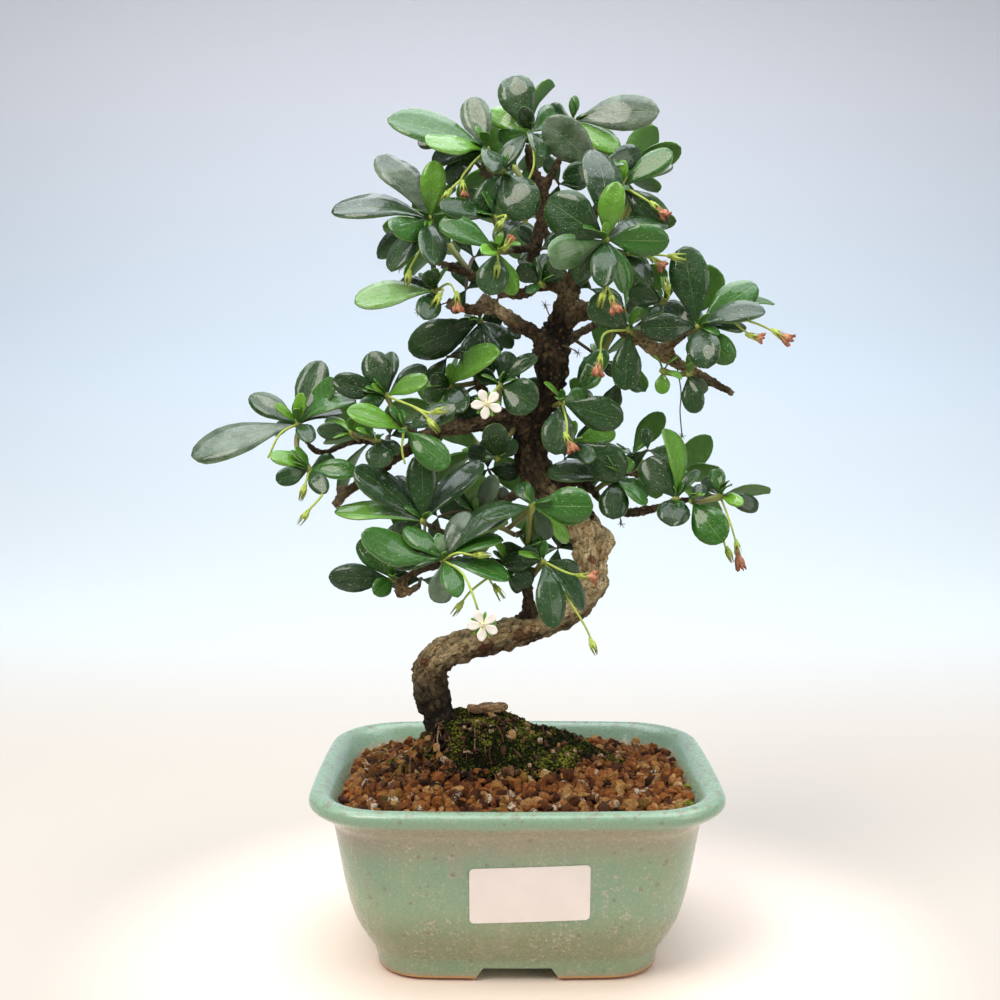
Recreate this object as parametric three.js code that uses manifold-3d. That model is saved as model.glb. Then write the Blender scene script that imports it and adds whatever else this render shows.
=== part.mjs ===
// A fukien tea bonsai: an S-shaped trunk with tiers of small spoon-shaped leaves, in a glazed pot.
// Millimetres, +Z up, the front of the pot towards -Y. The origin is under the middle of the whole.
import * as THREE from "three";
import { mergeVertices } from "three/addons/utils/BufferGeometryUtils.js";
import Module from "manifold-3d";

const wasm = await Module();
wasm.setup();

// Driving dimensions of the pot
const POT_WIDTH = 152;
const POT_DEPTH = 135;
const POT_HEIGHT = 70;
const PLAN_DIFFERENCE = (POT_WIDTH - POT_DEPTH) / 2;
const FOOT_RECESS = 4.6;
const FLOOR_TOP = 9.5;
const DRAIN_RADIUS = 5;
const DRAIN_OFFSET = 22;
const CUTOUT_HEIGHT = 3.8;
const CUTOUT_FRONT = 31;
const CUTOUT_SIDE = 25;

// Driving dimensions of what the pot holds
const CLEARANCE = 0.35;
const SOIL_EDGE_HEIGHT = 66.5;
const SOIL_DOME = 3;
const GRANULE_RELIEF = 1.5;
const SOIL_GRID = 10.4;
const MOSS_THICKNESS = 2.2;
const MOSS_MIDDLE = -1;
const LABEL_WIDTH = 43;
const LABEL_HEIGHT = 21.5;
const LABEL_MIDDLE_HEIGHT = 37.3;
const LABEL_OFFSET = 4.3;
const LABEL_THICKNESS = 0.7;

// Driving dimensions of the plant
const BLADE_THICKNESS = 1.0;
const SPUR_RADIUS = 1.7;
const TWIG_RADIUS = 1.1;
const STALK_RADIUS = 0.45;
const CALYX_RADIUS = 1.1;
const FORK_DISTANCE = 9;
const WHITE_FLOWER_RADIUS = 5;
const WILTED_RADIUS = 1.9;

// Colours and roughness of each kind of piece
const GLAZE = [0x7fb79b, 0.25];
const PAPER = [0xf1ece8, 0.8];
const CLAY = [0x9a5a37, 0.95];
const MOSS = [0x4d5a1c, 1];
const CHIP = [0x6d523c, 0.9];
const BARK = [0x4a3a2b, 0.9];
const GREEN = [0x2c5a2a, 0.4];
const WHITE = [0xf6f3ea, 0.6];
const ORANGE = [0xc8714a, 0.8];

// The view that the plant's places are given in: a frame of 1000 by 1000, seen from the front.
// A place is (across, down, depth), with depth in millimetres behind the pot's middle plane.
const VIEW = { x: -6.3, y: -540.8, z: 220, focal: 1400, pitch: THREE.MathUtils.degToRad(4.93) };
const VIEW_MIDDLE = 500;

function seen(across, down, depth) {
  const u = across - VIEW_MIDDLE;
  const v = VIEW_MIDDLE - down;
  const forward = VIEW.focal * Math.cos(VIEW.pitch) + v * Math.sin(VIEW.pitch);
  const up = -VIEW.focal * Math.sin(VIEW.pitch) + v * Math.cos(VIEW.pitch);
  const t = (depth - VIEW.y) / forward;
  return new THREE.Vector3(VIEW.x + u * t, depth, VIEW.z + up * t);
}

function millimetresPerPixel(depth) {
  return (depth - VIEW.y) / VIEW.focal;
}

// A small repeatable source of numbers from 0 to 1
function draws(seed) {
  let state = seed;
  return () => {
    state = (state * 16807) % 2147483647;
    return state / 2147483647;
  };
}

// Solids: a closed geometry becomes one that can be joined and cut
function solid(geometry) {
  const bare = geometry.index ? geometry.toNonIndexed() : geometry.clone();
  bare.deleteAttribute("normal");
  bare.deleteAttribute("uv");
  const merged = mergeVertices(bare, 1e-4);
  const vertProperties = merged.attributes.position.array;
  const triVerts = new Uint32Array(merged.index.array);
  const made = new wasm.Manifold(new wasm.Mesh({ numProp: 3, vertProperties, triVerts }));
  if (made.volume() > 0) return made;
  for (let i = 0; i < triVerts.length; i += 3) {
    [triVerts[i + 1], triVerts[i + 2]] = [triVerts[i + 2], triVerts[i + 1]];
  }
  return new wasm.Manifold(new wasm.Mesh({ numProp: 3, vertProperties, triVerts }));
}

function join(solids) {
  return solids.reduce((whole, one) => whole.add(one));
}

// What stays in one piece after a cut: the largest body, without loose scraps
function largest(whole) {
  const bodies = whole.decompose();
  return bodies.reduce((a, b) => (b.volume() > a.volume() ? b : a));
}

function geometryOf(whole) {
  const mesh = whole.getMesh();
  const geometry = new THREE.BufferGeometry();
  geometry.setAttribute("position", new THREE.BufferAttribute(mesh.vertProperties, 3));
  geometry.setIndex(new THREE.BufferAttribute(mesh.triVerts, 1));
  geometry.computeVertexNormals();
  return geometry;
}

function surfaceOf(points, faces) {
  const geometry = new THREE.BufferGeometry().setFromPoints(points);
  geometry.setIndex(faces);
  return geometry;
}

// A closed skin over rings of equally many points, with a fan over each end
function loft(rings) {
  const count = rings[0].length;
  const points = rings.flat();
  const faces = [];
  for (let r = 0; r + 1 < rings.length; r++) {
    for (let i = 0; i < count; i++) {
      const a = r * count + i;
      const b = r * count + ((i + 1) % count);
      faces.push(a, b, b + count, a, b + count, a + count);
    }
  }
  const middle = (ring) =>
    ring.reduce((sum, p) => sum.add(p), new THREE.Vector3()).divideScalar(count);
  const low = points.push(middle(rings[0])) - 1;
  const high = points.push(middle(rings[rings.length - 1])) - 1;
  const last = (rings.length - 1) * count;
  for (let i = 0; i < count; i++) {
    const next = (i + 1) % count;
    faces.push(low, next, i, high, last + i, last + next);
  }
  return surfaceOf(points, faces);
}

// A limb: round sections along a smooth line through points, each point with its own radius.
// The bark function, where given, makes the skin lumpy.
function limb(points, radii, sides, steps, bark = () => 1) {
  const line = new THREE.CatmullRomCurve3(points, false, "centripetal");
  const rings = [];
  const across = new THREE.Vector3();
  let before = line.getTangent(0);
  across.crossVectors(before, new THREE.Vector3(0.3, -1, 0.2)).normalize();
  for (let s = 0; s <= steps; s++) {
    const t = s / steps;
    const tangent = line.getTangent(t);
    across.applyQuaternion(new THREE.Quaternion().setFromUnitVectors(before, tangent));
    across.addScaledVector(tangent, -across.dot(tangent)).normalize();
    before = tangent;
    const beside = new THREE.Vector3().crossVectors(tangent, across);
    const place = t * (radii.length - 1);
    const from = Math.min(Math.floor(place), radii.length - 2);
    const radius = THREE.MathUtils.lerp(radii[from], radii[from + 1], place - from);
    const middle = line.getPoint(t);
    const ring = [];
    for (let i = 0; i < sides; i++) {
      const turn = (2 * Math.PI * i) / sides;
      const r = radius * bark(turn, place);
      const point = middle.clone().addScaledVector(across, r * Math.cos(turn));
      ring.push(point.addScaledVector(beside, r * Math.sin(turn)));
    }
    rings.push(ring);
  }
  return loft(rings);
}

// The pot: a rounded rectangle in plan, with slightly bowed sides
const CORNER_STEPS = 3;

function plan(halfWidth, halfDepth, corner, height) {
  const bow = 1.2;
  const ring = [];
  const signs = [[1, 1], [-1, 1], [-1, -1], [1, -1]];
  signs.forEach(([sx, sy], quarter) => {
    for (let i = 0; i <= CORNER_STEPS; i++) {
      const turn = ((quarter + i / CORNER_STEPS) * Math.PI) / 2;
      const x = sx * (halfWidth - bow - corner) + corner * Math.cos(turn);
      const y = sy * (halfDepth - bow - corner) + corner * Math.sin(turn);
      ring.push(new THREE.Vector3(x, y, height));
    }
    const end = quarter % 2 === 0;
    const x = end ? 0 : sx * halfWidth;
    const y = end ? sy * halfDepth : 0;
    ring.push(new THREE.Vector3(x, y, height));
  });
  return ring;
}

// Half the width, the height and the corner's radius, from the foot up the outside
const POT_OUTSIDE = [
  [52.2, 0, 16],
  [52.5, 3.5, 16.5],
  [53.3, 7, 17.5],
  [56.6, 13, 19.5],
  [60.6, 21, 22.5],
  [63.3, 31, 24.5],
  [65.3, 43, 25.5],
  [67.2, 56, 26.5],
  [69.7, 60.5, 27.5],
  [74.4, 64, 29.5],
  [76.0, 66.6, 30.5],
  [75.2, 69.2, 30],
  [73.0, POT_HEIGHT, 29],
];
// The same down the inside of the wall to the floor
const POT_INSIDE = [
  [69.6, 69.2, 26.5],
  [67.2, 66.2, 25],
  [62.2, 58, 23],
  [59.2, 40, 21],
  [54.0, 20, 18],
  [46.0, FLOOR_TOP, 13],
];

function potRing([halfWidth, height, corner], inset = 0) {
  const halfDepth = halfWidth - PLAN_DIFFERENCE;
  return plan(halfWidth - inset, halfDepth - inset, corner - inset, height);
}

function potBody() {
  const outside = POT_OUTSIDE.map((row) => potRing(row));
  const inside = POT_INSIDE.map((row) => potRing(row));
  const underside = [potRing([46.8, FOOT_RECESS, 12]), potRing([47.4, 0, 12])];
  let body = solid(loft([...underside, ...outside, ...inside]));
  const cutout = (width) => {
    const outline = new THREE.Shape();
    outline.moveTo(-width / 2 - 2, -1);
    outline.lineTo(width / 2 + 2, -1);
    outline.lineTo(width / 2 - 3, CUTOUT_HEIGHT);
    outline.lineTo(-width / 2 + 3, CUTOUT_HEIGHT);
    const bar = new THREE.ExtrudeGeometry(outline, { depth: 2 * POT_WIDTH, bevelEnabled: false });
    return bar.translate(0, 0, -POT_WIDTH).rotateX(Math.PI / 2);
  };
  body = body.subtract(solid(cutout(CUTOUT_FRONT)));
  body = body.subtract(solid(cutout(CUTOUT_SIDE).rotateZ(Math.PI / 2)));
  for (const side of [-1, 1]) {
    const drain = new THREE.CylinderGeometry(DRAIN_RADIUS, DRAIN_RADIUS, 3 * FLOOR_TOP, 12);
    drain.rotateX(Math.PI / 2).translate(side * DRAIN_OFFSET, 0, 0);
    body = body.subtract(solid(drain));
  }
  return body;
}

// The blank label follows the pot's front, a little clear of it
function frontOfPot(height) {
  const above = POT_OUTSIDE.findIndex((row) => row[1] >= height);
  const low = POT_OUTSIDE[above - 1];
  const high = POT_OUTSIDE[above];
  const share = (height - low[1]) / (high[1] - low[1]);
  return -(THREE.MathUtils.lerp(low[0], high[0], share) - PLAN_DIFFERENCE);
}

function labelBody() {
  const corner = 2;
  const tilt = THREE.MathUtils.degToRad(1.9);
  const columns = [0, 0.35, 1, 1.65, 2];
  const rows = [0.5, 0.85, 1, 1, 0.85, 0.5];
  const shares = [0, 0.1, 0.26, 0.74, 0.9, 1];
  const layer = (lift) => shares.map((share, r) => {
    const half = LABEL_WIDTH / 2 - corner + corner * rows[r];
    return columns.map((column) => {
      const x = (column - 1) * half;
      const z = LABEL_MIDDLE_HEIGHT + (share - 0.5) * LABEL_HEIGHT + x * Math.sin(tilt);
      return new THREE.Vector3(x + LABEL_OFFSET, frontOfPot(z) - lift, z);
    });
  });
  return solid(blanket(layer(CLEARANCE + 0.1), layer(CLEARANCE + 0.1 + LABEL_THICKNESS)));
}

// A closed blanket between two sheets with the same rows of points
function blanket(under, over) {
  const rows = under.length;
  const columns = under[0].length;
  const points = [...under.flat(), ...over.flat()];
  const faces = [];
  const lower = (r, c) => r * columns + c;
  const upper = (r, c) => rows * columns + r * columns + c;
  for (let r = 0; r + 1 < rows; r++) {
    for (let c = 0; c + 1 < columns; c++) {
      faces.push(upper(r, c), upper(r, c + 1), upper(r + 1, c + 1));
      faces.push(upper(r, c), upper(r + 1, c + 1), upper(r + 1, c));
      faces.push(lower(r, c), lower(r + 1, c + 1), lower(r, c + 1));
      faces.push(lower(r, c), lower(r + 1, c), lower(r + 1, c + 1));
    }
  }
  const rim = [];
  for (let c = 0; c + 1 < columns; c++) rim.push([0, c]);
  for (let r = 0; r + 1 < rows; r++) rim.push([r, columns - 1]);
  for (let c = columns - 1; c > 0; c--) rim.push([rows - 1, c]);
  for (let r = rows - 1; r > 0; r--) rim.push([r, 0]);
  rim.forEach(([r, c], i) => {
    const [nextRow, nextColumn] = rim[(i + 1) % rim.length];
    faces.push(lower(r, c), lower(nextRow, nextColumn), upper(nextRow, nextColumn));
    faces.push(lower(r, c), upper(nextRow, nextColumn), upper(r, c));
  });
  return surfaceOf(points, faces);
}

// Soil and moss share one surface: a low dome, a hump over the roots and the granules' relief
function hump(x, y) {
  const aside = x < -19 ? Math.max(0, -28 - x) / 10 : Math.max(0, x + 10) / 16;
  const away = Math.max(0, Math.abs(y + 3) - 9) / 11;
  const peak = 18 * Math.exp(-(aside ** 2) - away ** 2);
  const ridge = 9.5 * Math.exp(-(((x - 17) / 16) ** 2) - ((y - 2) / 12) ** 2);
  return peak + ridge;
}

function granules(x, y) {
  const wave = Math.sin(12.9898 * x + 78.233 * y) * 43758.5453;
  return GRANULE_RELIEF * (wave - Math.floor(wave) - 0.5);
}

function soilHeight(x, y) {
  const dome = SOIL_DOME * Math.max(0, 1 - (x / 62) ** 2) * Math.max(0, 1 - (y / 54) ** 2);
  return SOIL_EDGE_HEIGHT + dome + hump(x, y) + granules(x, y);
}

// A block with the soil's surface, raised by a clearance where a neighbour is cut by it
function soilBlock(raised) {
  const halfGrid = (count) => (count * SOIL_GRID) / 2;
  const columns = 14;
  const rows = 12;
  const sheet = (height) => {
    const grid = [];
    for (let r = 0; r <= rows; r++) {
      const line = [];
      for (let c = 0; c <= columns; c++) {
        const x = c * SOIL_GRID - halfGrid(columns);
        const y = r * SOIL_GRID - halfGrid(rows);
        line.push(new THREE.Vector3(x, y, height(x, y)));
      }
      grid.push(line);
    }
    return grid;
  };
  const top = sheet((x, y) => soilHeight(x, y) + raised);
  return solid(blanket(sheet(() => 0), top));
}

function soilBody() {
  const walls = [POT_INSIDE[1], POT_INSIDE[2], POT_INSIDE[5]].map(([half, height, corner]) => {
    const lift = height === FLOOR_TOP ? CLEARANCE : 0;
    return potRing([half, height + lift, corner], CLEARANCE + 0.15);
  });
  const mouth = potRing([67.4, 100, 25], CLEARANCE + 0.15);
  return soilBlock(0).intersect(solid(loft([...walls.reverse(), mouth])));
}

// The moss cushion: a lumpy patch over the hump, cut to the soil's surface a little clear of it
function mossLump(raised) {
  const spokes = 13;
  const shape = (turn) => 1 + 0.14 * Math.sin(3 * turn + 0.6) + 0.1 * Math.sin(5 * turn);
  const ring = (share, height) => {
    const points = [];
    for (let i = 0; i < spokes; i++) {
      const turn = (2 * Math.PI * i) / spokes;
      const x = MOSS_MIDDLE + 39.5 * share * shape(turn) * Math.cos(turn);
      const y = 22.5 * share * shape(turn) * Math.sin(turn) - 1;
      const smooth = SOIL_EDGE_HEIGHT + SOIL_DOME + hump(x, y);
      points.push(new THREE.Vector3(x, y, height(smooth, x, y) + raised));
    }
    return points;
  };
  const lump = (x, y) => MOSS_THICKNESS + 0.9 * granules(y, x);
  const rings = [
    ring(1, () => SOIL_EDGE_HEIGHT - 8),
    ring(1.02, (smooth) => smooth + 0.6),
    ring(0.72, (smooth, x, y) => smooth + lump(x, y)),
    ring(0.36, (smooth, x, y) => smooth + lump(x, y)),
  ];
  return solid(loft(rings));
}

function mossBody() {
  return mossLump(0).subtract(soilBlock(CLEARANCE));
}

// The flat chip of bark on top of the hump
function chipBody() {
  const middle = seen(487, 709, -3);
  const sides = 7;
  const ring = (scale, lift) => {
    const points = [];
    for (let i = 0; i < sides; i++) {
      const turn = (2 * Math.PI * i) / sides;
      const radius = scale * (1 + 0.18 * Math.sin(2.4 * i + 1));
      const x = middle.x + 7.4 * radius * Math.cos(turn);
      const y = middle.y + 5.2 * radius * Math.sin(turn);
      points.push(new THREE.Vector3(x, y, middle.z + lift + 0.05 * (x - middle.x)));
    }
    return points;
  };
  const chip = solid(loft([ring(0.8, -3.6), ring(1, -0.8), ring(0.95, 0.9), ring(0.6, 1.5)]));
  return chip.subtract(mossLump(CLEARANCE)).subtract(soilBlock(CLEARANCE));
}

// The wood: each limb's line as (across, down, depth, radius in pixels)
const TRUNK = [
  [449, 800, -3, 20], [447, 768, -3, 25], [446, 745, -3, 24], [439, 712, -3, 18.5], [431, 690, -3, 20],
  [430, 672, -3, 19.5], [440, 655, -4, 19], [468, 645, -6, 18.5], [501, 636, -8, 18], [546, 621, -8, 17],
  [575, 604, -5, 19], [587, 586, -2, 19], [589, 563, 1, 18.2], [588, 543, 4, 19], [579, 522, 6, 19.5],
  [566, 503, 7, 19], [545, 485, 7, 18], [534, 465, 6, 20], [530, 447, 5, 19], [532, 427, 3, 18],
  [541, 405, 1, 16], [551, 386, 0, 16], [551, 360, 0, 20], [552, 343, 0, 19], [558, 328, 0, 15],
  [566, 308, 0, 15], [572, 285, 0, 10],
];
const BRANCHES = [
  // Crown
  [[553, 345, 2, 12], [536, 336, -1, 9], [515, 322, -4, 9], [497, 308, -6, 8], [480, 296, -8, 7]],
  [[494, 308, -6, 7], [478, 309, -8, 7], [462, 308, -9, 6.5], [446, 303, -10, 6]],
  [[572, 297, 0, 10], [560, 288, -3, 8], [545, 285, -5, 7], [512, 295, -5, 6],
    [474, 276, -3, 6], [440, 264, -4, 5]],
  [[545, 287, -4, 7], [533, 270, 0, 7], [534, 250, 2, 7.5], [545, 205, 3, 8],
    [531, 165, 2, 6], [528, 143, 1, 4]],
  [[543, 190, 3, 6], [562, 155, 4, 4], [570, 135, 6, 3.5]],
  [[541, 200, 3, 8], [503, 186, -1, 8], [482, 169, -3, 7]],
  [[536, 246, 2, 6], [522, 249, -6, 5], [508, 252, -13, 4.5]],
  [[572, 292, 0, 9], [576, 266, -4, 7], [597, 249, -18, 4.5]],
  [[574, 275, -1, 6], [592, 222, 2, 5.5], [603, 176, -4, 4]],
  // Right
  [[562, 322, 0, 13], [578, 312, -2, 12], [597, 312, -4, 10], [618, 326, -6, 9], [640, 339, -8, 9],
    [657, 350, -8, 10], [690, 370, -7, 7.5], [734, 394, -5, 4]],
  [[660, 352, -8, 7], [676, 341, -12, 5], [692, 331, -16, 4.5]],
  [[640, 338, -8, 6], [646, 322, -9, 4.5], [655, 308, -10, 4]],
  // Lower right
  [[560, 478, 6, 9], [582, 482, 2, 6], [594, 491, 0, 5], [609, 509, -3, 5], [633, 513, -5, 6.5],
    [660, 507, -6, 4.5], [700, 498, -3, 4.5], [718, 498, -1, 4]],
  // Left
  [[536, 424, 3, 12], [515, 418, 0, 10.5], [498, 416, -3, 9.5], [480, 424, -4, 9], [435, 432, -6, 8.5],
    [395, 458, -7, 8], [352, 488, -6, 6.5], [336, 492, -6, 6]],
  [[400, 455, -7, 6], [382, 444, -8, 5], [360, 441, -6, 4.5], [318, 452, -3, 4], [303, 437, -1, 4]],
  [[350, 488, -6, 5], [332, 509, -6, 4]],
  [[500, 416, -2, 7], [478, 380, 8, 5.5], [480, 340, 10, 4.5]],
  [[420, 440, -6, 6], [405, 428, -8, 5], [392, 410, -6, 4.5]],
  // Lower left
  [[530, 622, -7, 10], [528, 597, -10, 7.5], [524, 577, -13, 6], [506, 563, -15, 5.5], [480, 560, -16, 5],
    [450, 561, -15, 5], [404, 580, -8, 5], [400, 596, -6, 4.5], [419, 586, -6, 4]],
  [[480, 560, -16, 5], [452, 536, -15, 4.5], [426, 524, -14, 4]],
  [[537, 478, 6, 9], [511, 498, 2, 6], [482, 512, 4, 5]],
  // Behind
  [[540, 440, 6, 10], [508, 428, 22, 6.5], [465, 422, 36, 4.5]],
  [[552, 360, 2, 11], [567, 341, 19, 6.5], [600, 322, 36, 4.5]],
  [[568, 300, 1, 9], [553, 250, 18, 6], [530, 195, 28, 4.5]],
  [[568, 290, 2, 8], [603, 246, 18, 5.5], [622, 195, 26, 4.5]],
  [[585, 535, 6, 10], [556, 529, 22, 6.5], [515, 535, 34, 4.5]],
  [[560, 478, 8, 8], [608, 469, 25, 5.5], [655, 478, 32, 4]],
];
// Surface roots: they run out of the trunk's flare and down into the soil
const ROOTS = [
  [[450, 742, -6, 12], [464, 757, -15, 8.5], [474, 800, -22, 5]],
  [[440, 745, -4, 12], [421, 762, -9, 8], [410, 800, -14, 5]],
];

function trunkBark(turn, place) {
  const flutes = 0.07 * Math.sin(3 * turn + 0.7 * place) + 0.05 * Math.sin(5 * turn - 1.3 * place);
  return 1 + flutes + 0.05 * Math.sin(2.1 * place + turn);
}

function branchBark(turn, place) {
  return 1 + 0.08 * Math.sin(2 * turn + 2.3 * place) + 0.06 * Math.sin(4.7 * place);
}

function woodLimb(rows, sides, bark, grow) {
  const points = rows.map(([across, down, depth]) => seen(across, down, depth));
  const radii = rows.map(([, , depth, pixels]) => pixels * millimetresPerPixel(depth) + grow);
  const last = points.length - 1;
  const start = points[0].clone().sub(points[1]).setLength(grow);
  const end = points[last].clone().sub(points[last - 1]).setLength(grow);
  points[0].add(start);
  points[last].add(end);
  return solid(limb(points, radii, sides, rows.length - 1, bark));
}

function woodBody(grow) {
  const limbs = [woodLimb(TRUNK, 8, trunkBark, grow)];
  BRANCHES.forEach((rows) => limbs.push(woodLimb(rows, rows[0][3] > 9 ? 5 : 4, branchBark, grow)));
  ROOTS.forEach((rows) => limbs.push(woodLimb(rows, 5, branchBark, grow)));
  return join(limbs);
}

// Blades: the midrib arches from base to tip, the upper side is ridged along it and the underside
// is flat across. Each row gives how far along the leaf it lies, and its share of the full width.
const WIDTHS_SMALL = [[0.42, 0.74], [0.8, 0.94]];
const WIDTHS_LARGE = [[0.22, 0.27], [0.58, 0.97], [0.86, 0.84]];
const LARGE_LEAF = 24;
const RIDGE_SHARE = 0.65;

function bladeSolid(leaf, grow = 0) {
  const { base, tip, normal, width, arch } = leaf;
  const length = base.distanceTo(tip);
  const along = new THREE.Vector3().subVectors(tip, base).normalize();
  const middle = new THREE.Vector3().lerpVectors(base, tip, 0.5).addScaledVector(normal, 2 * arch * length);
  const end = tip.clone().addScaledVector(along, grow);
  const midrib = new THREE.QuadraticBezierCurve3(base, middle, end);
  const rows = length > LARGE_LEAF ? WIDTHS_LARGE : WIDTHS_SMALL;
  const side = new THREE.Vector3().crossVectors(along, normal).normalize();
  const points = [base, end];
  rows.forEach(([share, half]) => {
    const rib = midrib.getPoint(share);
    const up = new THREE.Vector3().crossVectors(side, midrib.getTangent(share)).normalize();
    const reach = (half * width) / 2 + grow;
    const over = RIDGE_SHARE * BLADE_THICKNESS + grow;
    const under = over - BLADE_THICKNESS - 2 * grow;
    points.push(rib.clone().addScaledVector(side, -reach).addScaledVector(up, under));
    points.push(rib.clone().addScaledVector(side, reach).addScaledVector(up, under));
    points.push(rib.clone().addScaledVector(up, over));
  });
  const faces = [];
  const row = (r) => [2 + 3 * r, 3 + 3 * r, 4 + 3 * r];
  const [left, right, ridge] = row(0);
  faces.push(0, right, ridge, 0, ridge, left, 0, left, right);
  for (let r = 0; r + 1 < rows.length; r++) {
    const [l0, r0, m0] = row(r);
    const [l1, r1, m1] = row(r + 1);
    faces.push(m0, r0, r1, m0, r1, m1, l0, m0, m1, l0, m1, l1, l0, l1, r1, l0, r1, r0);
  }
  const [lastLeft, lastRight, lastRidge] = row(rows.length - 1);
  faces.push(lastRidge, lastRight, 1, lastLeft, lastRidge, 1, lastRight, lastLeft, 1);
  return solid(surfaceOf(points, faces));
}

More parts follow.
